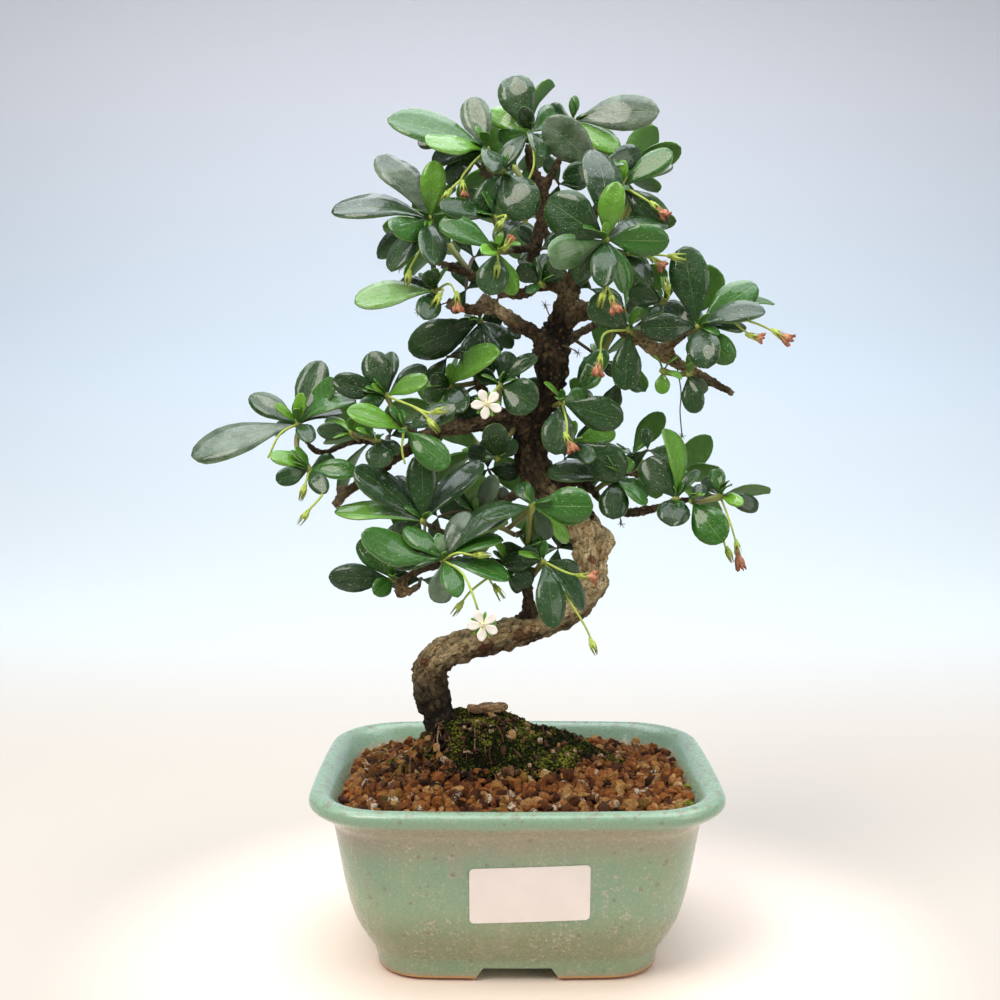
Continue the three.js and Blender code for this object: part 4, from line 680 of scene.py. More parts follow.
def wilted_material(look):
    """Wilted petals: orange, paler at their foot and brick red in their folds."""
    petal = Finish("Wilted petals")
    along = petal.attribute("along")
    broad, fine = petal.mottling(800.0, 2600.0)
    petal.start(along, look.wilted_pale, look.wilted)
    edge = petal.times(petal.mask(along, 0.72, 1.0), 0.6)
    petal.paint(look.wilted_brick, petal.larger(edge, petal.times(broad, 0.6)))
    return petal.done({"Roughness": 0.8, "Normal": petal.bump(fine, 0.6, 0.0003)})


def litter_material(look):
    """Dry roots, dead leaves and flakes: from nearly black to straw."""
    litter = Finish("Dry litter")
    tone = litter.attribute("tone")
    broad, fine = litter.mottling(380.0, 2200.0)
    litter.start(litter.mask(tone, 0.0, 0.45), look.litter_dark, look.litter)
    litter.paint(look.litter_pale, litter.mask(tone, 0.55, 1.0))
    litter.paint(look.litter_dark, broad, 0.5)
    return litter.done({"Roughness": 0.9, "Specular IOR Level": 0.25, "Normal": litter.bump(fine, 0.8, 0.0004)})


def chip_material(look):
    """Dead bark with its grain along the chip."""
    chip = Finish("Dead bark")
    drawn = chip.drawn_place((0.35, 1.0, 1.0))
    plates, crack = chip.fissures(420.0, 1.0, drawn)
    chip.start(chip.mottling(160.0, 1600.0, drawn)[0], look.chip, look.chip_pale)
    chip.paint(look.bark_crack, crack, 0.7)
    return chip.done({"Roughness": 0.9, "Normal": chip.bump(plates, 0.8, 0.0006)})


def floor_material(look):
    """A pale sweep: warm white near the pot, cooler towards the top of the backdrop, and darker as painted
    shade where the lamps light the floor most.
    """
    floor = Finish("Pale floor")
    x, y, z = floor.apart(floor.place)
    aside = floor.minus(x, MIDDLE_X)
    away = floor.math("SQRT", floor.plus(floor.times(aside, aside), floor.times(y, y)))
    # Painted shade: away from the pot, towards the viewer and in the distance the floor is painted darker where
    # the lamps light it most
    floor.start(floor.mask(away, 0.085, 0.19), look.floor, look.floor_open)
    floor.paint(look.floor_front, floor.mask(y, -0.08, -0.4))
    floor.paint(look.floor_far, floor.mask(y, 0.2, 0.9))
    floor.paint(look.haze, floor.mask(z, 0.0, 0.25))
    floor.paint(look.backdrop, floor.mask(z, 0.25, 0.9))
    return floor.done({"Roughness": 0.8, "Specular IOR Level": 0.2})


# ---- The pot and what fills it ------------------------------------------------------------------

# Half the width, the height, from the foot up the outside and down inside to the soil's bed
POT_PROFILE = [
    (52.2, 0.0), (52.2, 1.2), (52.5, 3.5), (53.3, 7.0), (54.8, 10.0), (56.6, 13.0), (58.7, 17.0), (60.6, 21.0),
    (63.3, 31.0), (65.3, 43.0), (67.2, 56.0), (68.0, 58.6), (69.7, 60.6), (72.0, 62.2), (74.4, 64.0),
    (75.7, 65.4), (76.0, 66.8), (75.9, 68.2), (75.1, 69.3), (73.4, 70.0), (71.6, 69.9), (70.0, 69.3),
    (68.5, 68.0), (67.2, 66.0), (65.0, 62.5), (62.2, 58.0), (60.6, 50.0),
]
PLAN_DIFFERENCE = 8.5
FOOT_INSET = 4.7
FOOT_RECESS = 5.8
SIDE_BOW = 0.8


def model_pot():
    """A plan with rounded corners, drawn up through the profile, over the lip and down inside."""
    bpy.ops.mesh.primitive_plane_add(size=2, location=(MIDDLE_X, MIDDLE_Y, 0))
    pot = name_new("pot_glazed")
    half = POT_PROFILE[0][0]
    edit(pot, "EDGE", "SELECT")
    resize(half * MM, (half - PLAN_DIFFERENCE) * MM)
    bpy.ops.mesh.bevel(offset=0.36 * half * MM, offset_type="OFFSET", segments=8, affect="VERTICES")
    mesh = bmesh.from_edit_mesh(pot.data)
    sides = [edge for edge in mesh.edges if edge.calc_length() > 0.4 * half * MM]
    bmesh.ops.subdivide_edges(mesh, edges=sides, cuts=7)
    reach = 0.64 * half * MM
    for corner in mesh.verts:
        x, y = corner.co.x, corner.co.y
        if abs(x) < reach and abs(y) > 0.7 * (half - PLAN_DIFFERENCE) * MM:
            corner.co.y += math.copysign(SIDE_BOW * MM * (1 - (x / reach) ** 2), y)
        elif abs(x) > 0.7 * half * MM:
            corner.co.x += math.copysign(SIDE_BOW * MM * max(0.0, 1 - (y / reach) ** 2), x)
    bmesh.update_edit_mesh(pot.data)
    bpy.ops.mesh.select_all(action="SELECT")
    for (before, low), (after, high) in zip(POT_PROFILE, POT_PROFILE[1:]):
        extrude((high - low) * MM)
        resize(after / before, (after - PLAN_DIFFERENCE) / (before - PLAN_DIFFERENCE))
    select(pot, "faces", lambda face: face.calc_center_median().z < 1e-6 and abs(face.normal.z) > 0.9)
    bpy.ops.mesh.inset(thickness=FOOT_INSET * MM)
    extrude(FOOT_RECESS * MM)
    face_outwards()
    leave_edit()
    return settle(pot)


def cut_from(made, cutter):
    """Cuts a shape out of a piece and puts the cutter away."""
    settle(cutter)
    apply_modifier(made, "BOOLEAN", operation="DIFFERENCE", solver="EXACT", object=cutter)
    bpy.data.objects.remove(cutter)


def foot_notch(width, sideways):
    """The shallow bar that clears the foot ring between two feet, narrower at its top."""
    bpy.ops.mesh.primitive_cube_add(size=1, location=(MIDDLE_X, MIDDLE_Y, 1.4 * MM))
    bar = name_new("notch")
    size = [(width + 4) * MM, 260 * MM]
    narrow = [(width - 6) / (width + 4), 1]
    if sideways:
        size.reverse()
        narrow.reverse()
    bpy.ops.transform.resize(value=(*size, 7.6 * MM))
    edit(bar)
    select(bar, "faces", lambda face: face.normal.z > 0.9)
    resize(*narrow)
    leave_edit()
    return bar


def hump(x, y):
    """How much higher the soil stands where the roots sit, in millimetres."""
    aside = max(0, -28 - x) / 10 if x < -19 else max(0, x + 10) / 16
    away = max(0, abs(y + 3) - 9) / 11
    peak = 18 * math.exp(-aside ** 2 - away ** 2)
    return peak + 9.5 * math.exp(-(((x - 17) / 16) ** 2) - ((y - 2) / 12) ** 2)


def soil_level(x, y):
    """Height of the soil's bed over the pot's middle plan, in millimetres."""
    dome = 3 * max(0, 1 - (x / 62) ** 2) * max(0, 1 - (y / 54) ** 2)
    return 66.5 + dome + hump(x, y)


def soil_sinks(x, y):
    """How much lower the granules lie along the back and the sides."""
    return 3.4 * np.clip(y / 40, 0, 1) + 1.6 * np.clip((abs(x) - 40) / 12, 0, 1)


def inside_pot(x, y, margin):
    """True where a place in plan lies within the pot's mouth by the margin."""
    half_x, half_y, corner = 66.0 - margin, 57.5 - margin, 24.0 - margin
    dx, dy = max(abs(x) - half_x + corner, 0), max(abs(y) - half_y + corner, 0)
    return abs(x) < half_x and abs(y) < half_y and math.hypot(dx, dy) < corner


# How far the moss goes from its middle, a millimetre left and in front of the pot's
MOSS_LEFT, MOSS_RIGHT, MOSS_FRONT, MOSS_BACK = 46.0, 39.5, 24.5, 22.5


def moss_edge(turn):
    """The share of its reach at which the moss ends, by direction."""
    return 1 + 0.14 * math.sin(3 * turn + 0.6) + 0.1 * math.sin(5 * turn)


def on_moss(x, y):
    """1 in the middle of the moss cushion, 0 at its edge and negative beyond it."""
    across = (x + 1) / (MOSS_LEFT if x < -1 else MOSS_RIGHT)
    away = (y + 1) / (MOSS_FRONT if y < -1 else MOSS_BACK)
    return 1 - math.hypot(across, away) / moss_edge(math.atan2(away, across))


def moss_cover(x, y, share):
    """How thick the moss lies at a share of the way from its middle to its edge."""
    lump = 1.1 * noise((x * 0.16, y * 0.16, 3)) + 0.6 * noise((x * 0.5, y * 0.5, 7))
    return (2.0 + lump) * (1 - share ** 4)


def rough_stone(seed):
    """One angular granule of about one unit: a small ball with flats cut on it."""
    bpy.ops.mesh.primitive_ico_sphere_add(subdivisions=2, radius=1.0)
    stone = name_new("granule")
    places = corners(stone)
    rng = np.random.default_rng(seed)
    axes = units(rng.normal(size=(10, 3)))
    for axis, cut in zip(axes, rng.uniform(0.45, 0.85, 10)):
        over = places @ axis - cut
        places -= np.outer(np.maximum(over, 0) * 0.92, axis)
    places *= 1.16
    places += rng.normal(scale=0.05, size=places.shape)
    set_corners(stone, places)
    return template(stone)


def turned(rng):
    """A random turn about the third, second and first axis, as a matrix."""
    turn = np.eye(3)
    for angle, (i, j) in zip(rng.uniform(0, 2 * math.pi, 3), ((0, 1), (2, 0), (1, 2))):
        about = np.eye(3)
        about[i, i] = about[j, j] = math.cos(angle)
        about[i, j], about[j, i] = -math.sin(angle), math.sin(angle)
        turn = turn @ about
    return turn


# Larger pale granules that stand out in front, in the front view: (across, down, pixels)
PALE_GRANULES = [
    (545, 773, 9), (595, 773, 8), (685, 795, 8), (617, 757, 7), (455, 797, 7), (520, 803, 7),
    (492, 718, 11), (491, 731, 9), (526, 726, 9), (540, 743, 8), (511, 737, 11), (531, 734, 7), (560, 746, 6),
    (548, 735, 7), (478, 722, 6), (504, 727, 6), (575, 751, 6), (517, 719, 5), (552, 752, 6),
    (565, 800, 7), (480, 803, 6), (640, 795, 6), (600, 757, 6), (380, 781, 6), (355, 766, 6),
]
# Where litter lies, in the front view: (across, down, spread, how many pieces)
LITTER_ON_MOSS = [
    (462, 722, 14, 12), (470, 728, 10, 14), (494, 724, 10, 9), (524, 727, 14, 18), (500, 740, 26, 10),
    (452, 745, 16, 12), (556, 742, 14, 18), (590, 752, 18, 14),
]
LITTER_ON_SOIL = [
    (400, 758, 24, 34), (372, 764, 22, 24), (385, 780, 22, 20), (440, 768, 24, 20), (500, 772, 40, 10),
    (560, 780, 40, 6), (640, 762, 40, 10), (690, 770, 12, 4),
]


def on_ground(across, down, cover, bare=1.0):
    """Where the line of sight through a point of the view meets what fills the pot."""
    for depth in np.arange(-60.0, 60.0, 0.5):
        x, y, z = seen(across, down, depth)
        top = soil_level(x, y) + (cover if on_moss(x, y) > 0.05 else bare - soil_sinks(x, y))
        if inside_pot(x, y, 1.5) and z <= top:
            return np.array([x, y, top])
    x, _, _ = seen(across, down, -50)
    return np.array([x, -50, soil_level(x, -50) + 1.0])


def dry_litter():
    """The litter's material, which soil and moss share."""
    return bpy.data.materials.get("Dry litter") or litter_material(look())


def dry_root(middle, heading, rng):
    """A thin root that wanders over the ground, with its tone."""
    points = [middle + [0, 0, 0.2]]
    for _ in range(5):
        heading += rng.normal(0, 1.0)
        x, y, _ = points[-1] + np.array([math.cos(heading), math.sin(heading), 0]) * rng.uniform(1.0, 2.8)
        cover = 2.0 if on_moss(x, y) > 0.05 else 2.4 - soil_sinks(x, y)
        points.append(np.array([x, y, soil_level(x, y) + cover + rng.uniform(0.0, 1.4)]))
    radii = rng.uniform(0.12, 0.34) * np.array([0.7, 1, 0.8, 1.1, 0.7, 0.4])
    skin, faces, _ = tube(points, radii, 5, 2)
    return skin, faces, rng.choice([0.0, 0.1, 0.3, 0.45, 0.85], p=[0.3, 0.25, 0.2, 0.15, 0.1])


def curled_leaf(middle, heading, rng):
    """A dead leaf curled to a crumpled roll, with its tone."""
    ahead = np.array([math.cos(heading), math.sin(heading), rng.uniform(-0.1, 0.5)])
    points = [middle, middle + ahead * 1.6 + [0, 0, 0.8], middle + ahead * 3.4 + [0, 0, 0.3]]
    skin, faces, _ = tube(points, [0.3, rng.uniform(0.5, 0.95), 0.2], 7, 3)
    skin = skin + rng.normal(0, 0.14, skin.shape)
    return skin, faces, rng.choice([0.0, 0.2, 0.45, 0.9], p=[0.3, 0.25, 0.25, 0.2])


def add_litter(pile, rng, stones, spots, **values):
    """Dry roots, curled dead leaves and flakes of bark, strewn over the ground."""
    for across, down, spread, count in spots:
        for _ in range(count):
            middle = on_ground(across + rng.normal(0, spread), down + rng.normal(0, spread * 0.35), 2.2, 2.6)
            if not inside_pot(middle[0], middle[1], 5.0) or middle[1] < -49:
                continue
            heading = rng.uniform(0, 2 * math.pi)
            kind = rng.uniform()
            if kind < 0.4:
                skin, faces, tone = dry_root(middle, heading, rng)
            elif kind < 0.7:
                skin, faces, tone = curled_leaf(middle, heading, rng)
            else:
                places, faces = stones[rng.integers(len(stones))]
                skin = (places * [1.5, 0.9, 0.35] * rng.uniform(0.8, 1.7)) @ turned(rng).T + middle
                tone = rng.uniform(0.0, 0.5)
            pile.add(skin, faces, 1, tone=tone, **values)


def model_bed():
    """The soil under the granules, which closes every gap between them."""
    bpy.ops.mesh.primitive_grid_add(x_subdivisions=66, y_subdivisions=58, size=2)
    bed = name_new("bed")
    set_corners(bed, corners(bed) * [66, 57.5, 1])
    edit(bed, "VERT")
    select(bed, "verts", lambda corner: not inside_pot(corner.co.x, corner.co.y, 0.8))
    bpy.ops.mesh.delete(type="VERT")
    leave_edit()
    apply_modifier(bed, "SOLIDIFY", thickness=6.0, offset=-1)
    places = corners(bed)
    for place in places:
        x, y, _ = place
        place[2] += soil_level(x, y) - soil_sinks(x, y) * 0.6 - 1.6 + 0.5 * noise((x * 0.4, y * 0.4, 0))
    set_corners(bed, places)
    return template(bed)


def lay_granule(pile, rng, stones, place, size, tone, crust):
    """Lays a squashed and turned copy of one of the stones."""
    places, faces = stones[rng.integers(len(stones))]
    squash = np.array([1.1, rng.uniform(0.7, 1.0), rng.uniform(0.55, 0.9)]) * size
    pile.add((places * squash) @ turned(rng).T + place, faces, tone=tone, crust=crust)


def model_cushion():
    """The moss's body, with each corner's share of the way to the edge and how bare the moss is."""
    bpy.ops.mesh.primitive_uv_sphere_add(segments=110, ring_count=64, radius=1)
    cushion = name_new("cushion")
    ball = corners(cushion)
    edge = np.array([moss_edge(math.atan2(y, x)) for x, y, _ in ball])
    share = np.clip(np.arccos(np.clip(np.abs(ball[:, 2]), 0, 1)) / (math.pi / 2), 0, 1)
    flat = np.maximum(np.hypot(ball[:, 0], ball[:, 1]), 1e-9)
    x = np.where(ball[:, 0] < 0, MOSS_LEFT, MOSS_RIGHT) * share * edge * ball[:, 0] / flat - 1
    y = np.where(ball[:, 1] < 0, MOSS_FRONT, MOSS_BACK) * share * edge * ball[:, 1] / flat - 1
    places = np.column_stack([x, y, np.zeros(len(x))])
    for place, s, side in zip(places, share, ball[:, 2]):
        over = moss_cover(place[0], place[1], s) if side >= 0 else -3 * (1 - s ** 2) - 0.3
        place[2] = soil_level(place[0], place[1]) + over
    set_corners(cushion, places)
    bare = np.clip((share - 0.62) / 0.2, 0, 1) * np.clip(0.5 - ball[:, 1] * 2, 0, 1)
    return *template(cushion), bare


def model_tuft():
    """The tip of a moss stem: a low cone drawn out into five short leaves."""
    bpy.ops.mesh.primitive_cone_add(vertices=10, radius1=1.0, radius2=0, depth=1.1, location=(0, 0, 0.4))
    star = settle(name_new("tuft"))
    places = corners(star)
    turn = np.arctan2(places[:, 1], places[:, 0])
    rim = np.hypot(places[:, 0], places[:, 1]) > 0.5
    leaf = rim & (np.cos(5 * turn) > 0)
    places[rim & ~leaf, :2] *= 0.36
    places[leaf, 2] += 0.75
    places[leaf, :2] *= 0.95
    set_corners(star, places)
    return template(star)


# ---- The plant's places, in the front view ------------------------------------------------------

# A leaf's tone: dark, in shade, grown, bright, young, or pale where its underside shows
TONES = {"d": 0.12, "s": 0.0, "g": 0.55, "b": 0.8, "y": 1.0, "p": 0.4}


def table(text):
    """Rows of numbers and tones, written with commas between the rows."""
    return [[TONES[word] if word in TONES else float(word) for word in row.split()]
            for row in text.split(",") if row.strip()]


# A line of the plant is written as its points, each as across, down, depth and radius in pixels
TRUNK = table(
    "449 800 -3 20, 447 768 -3 25, 446 745 -3 24, 439 712 -3 18.5, 431 690 -3 20, 430 672 -3 19.5, "
    "440 655 -4 19, 468 645 -6 18.5, 501 636 -8 18, 546 621 -8 17, 575 604 -5 19, 588 586 -2 19, "
    "591 563 1 18.6, 590 543 4 20, 580 522 6 20, 566 503 7 19, 545 485 7 18, 534 465 6 20, 530 447 5 19, "
    "532 427 3 18, 541 405 1 16, 551 386 0 16, 551 360 0 20, 552 343 0 19, 558 328 0 15, 566 308 0 15, "
    "572 285 0 10")
BRANCHES = [table(text) for text in (
    # Crown
    "553 345 2 12, 536 336 -1 9, 515 322 -4 9, 497 308 -6 8, 480 296 -8 7",
    "494 308 -6 7, 478 309 -8 7, 462 308 -9 6.5, 446 303 -10 6",
    "572 297 0 10, 560 288 -3 8, 545 285 -5 7, 512 295 -5 6, 474 276 -3 6, 440 264 -4 5",
    "545 287 -4 7, 533 270 0 7, 534 250 2 7.5, 545 205 3 8, 531 165 2 6, 528 143 1 4",
    "543 190 3 6, 562 155 4 4, 570 135 6 3.5",
    "541 200 3 8, 503 186 -1 8, 482 169 -3 7",
    "536 246 2 6, 522 249 -6 5, 508 252 -13 4.5",
    "572 292 0 9, 576 266 -4 7, 597 249 -18 4.5",
    "574 275 -1 6, 592 222 2 5.5, 603 176 -4 4",
    # Right
    "562 322 0 13, 578 312 -2 12, 597 312 -4 10, 618 326 -6 9, 640 339 -8 9, 657 350 -8 10, "
    "690 370 -7 7.5, 734 394 -5 4",
    "660 352 -8 7, 676 341 -12 5, 692 331 -16 4.5",
    "640 338 -8 6, 646 322 -9 4.5, 655 308 -10 4",
    # Lower right
    "560 478 6 9, 582 482 2 6, 594 491 0 5, 609 509 -3 5, 633 513 -5 6.5, 660 507 -6 4.5, 700 498 -3 4.5, "
    "718 498 -1 4",
    # Left
    "536 424 3 12, 515 418 0 10.5, 498 416 -3 9.5, 480 424 -4 9, 435 432 -6 8.5, 395 458 -7 8, "
    "352 488 -6 6.5, 336 492 -6 6",
    "400 455 -7 6, 382 444 -8 5, 360 441 -6 4.5, 318 452 -3 4, 303 437 -1 4",
    "350 488 -6 6.5, 333 507 -6 5.5",
    "500 416 -2 7, 478 380 8 5.5, 480 340 10 4.5",
    "420 440 -6 6, 405 428 -8 5, 392 410 -6 4.5",
    # Lower left
    "530 622 -7 10, 528 597 -10 7.5, 524 577 -13 6, 506 563 -15 5.5, 480 560 -16 5, 450 561 -15 5, "
    "404 580 -8 6, 400 594 -6 5.6, 419 586 -6 4.4",
    "480 560 -16 5, 452 536 -15 4.5, 426 524 -14 4",
    "537 478 6 9, 511 498 2 6, 482 512 4 5",
    # Behind
    "540 440 6 10, 508 428 22 6.5, 465 422 36 4.5",
    "552 360 2 11, 567 341 19 6.5, 600 322 36 4.5",
    "568 300 1 9, 553 250 18 6, 530 195 28 4.5",
    "568 290 2 8, 603 246 18 5.5, 622 195 26 4.5",
    "585 535 6 10, 556 529 22 6.5, 515 535 34 4.5",
    "560 478 8 8, 608 469 25 5.5, 655 478 32 4",
)]
ROOTS = [table(text) for text in (
    "450 742 -6 12, 464 757 -15 8.5, 474 800 -22 5",
    "440 745 -4 12, 421 762 -9 8, 410 800 -14 5",
)]
# Flower stalks: the spray that each belongs to, what it carries, and its points
STALKS = [(owner, kind, table(text)) for owner, kind, text in (
    ("crown_top_left", "wilted", "484 152 -7, 472 164 -14, 461 180 -16, 463 187 -16, 464 197 -16"),
    ("crown_top_left", "calyx", "461 180 -16, 452 188 -17, 446 196 -17"),
    ("crown_top", "wilted", "535 140 -3, 534 165 -12, 526 186 -14, 523 199 -15"),
    ("crown_left", "calyx", "426 228 -12, 420 250 -20, 410 268 -21, 408 278 -21"),
    ("crown_left", "wilted", "438 288 -16, 450 284 -20, 457 298 -21, 458 312 -21"),
    ("crown_left", "calyx", "450 284 -20, 443 290 -21, 437 300 -21"),
    ("crown_front_left", "calyx", "500 254 -23, 498 262 -26, 497 270 -27"),
    ("crown_front_left", "wilted", "500 248 -24, 507 245 -28, 512 236 -29"),
    ("crown_front_left", "calyx", "497 219 -16, 506 216 -22, 499 226 -23"),
    ("crown_front", "calyx", "606 248 -30, 607 284 -38, 602 298 -38"),
    ("crown_front", "wilted", "607 284 -38, 612 299 -38, 617 313 -38"),
    ("crown_top_right", "wilted", "627 191 -6, 643 198 -12, 655 206 -13, 667 217 -13"),
    ("crown_front", "wilted", "630 257 -22, 644 256 -25, 654 260 -26, 664 268 -26"),
    ("crown_front", "calyx", "644 256 -25, 660 255 -26, 676 257 -26"),
    ("right_top", "wilted", "705 324 -21, 730 318 -24, 755 323 -24, 777 333 -24, 791 342 -24"),
    ("right_top", "wilted", "730 318 -24, 742 329 -25, 752 336 -25, 763 339 -25"),
    ("right_inner", "calyx", "665 303 -15, 669 296 -21, 667 286 -21"),
    ("right_inner", "wilted", "626 332 -15, 604 334 -17, 600 360 -18, 598 376 -18"),
    ("trunk_right", "wilted", "564 407 -12, 567 425 -20, 567 438 -21, 573 452 -21"),
    ("left_upper", "calyx", "391 401 -8, 412 406 -22, 430 413 -25, 440 411 -25"),
    ("left_upper", "calyx", "412 406 -22, 424 414 -25, 433 425 -25"),
    ("left_front", "bare", "403 434 -20, 402 450 -23, 405 464 -23"),
    ("left_end", "bare", "296 428 -2, 280 434 -8, 268 458 -9"),
    ("left_end", "calyx", "308 474 -13, 306 482 -17, 303 492 -17"),
    ("left_end", "calyx", "312 475 -14, 323 492 -21, 309 510 -22, 304 517 -22"),
    ("low_left_front", "calyx", "446 557 -29, 458 553 -34, 472 555 -35, 482 555 -35"),
    ("low_left_front", "white", "450 564 -29, 463 574 -38, 474 598 -43, 483 625 -45"),
    ("low_right", "calyx", "503 567 -21, 489 577 -27, 498 591 -28"),
    ("low_right", "calyx", "489 577 -27, 470 592 -29, 458 608 -29"),
    ("low_right", "calyx", "548 574 -26, 570 602 -30, 587 630 -30, 593 646 -30"),
    ("low_right", "wilted", "548 566 -27, 568 573 -31, 583 576 -32, 597 578 -32"),
    ("right_low_end", "wilted", "722 500 -5, 730 522 -9, 737 546 -10, 741 569 -10"),
    ("right_low_end", "calyx", "730 522 -9, 724 541 -10, 729 554 -10"),
    ("neck_front", "white", "498 389 -12, 492 395 -24, 487 404 -31"),
)]

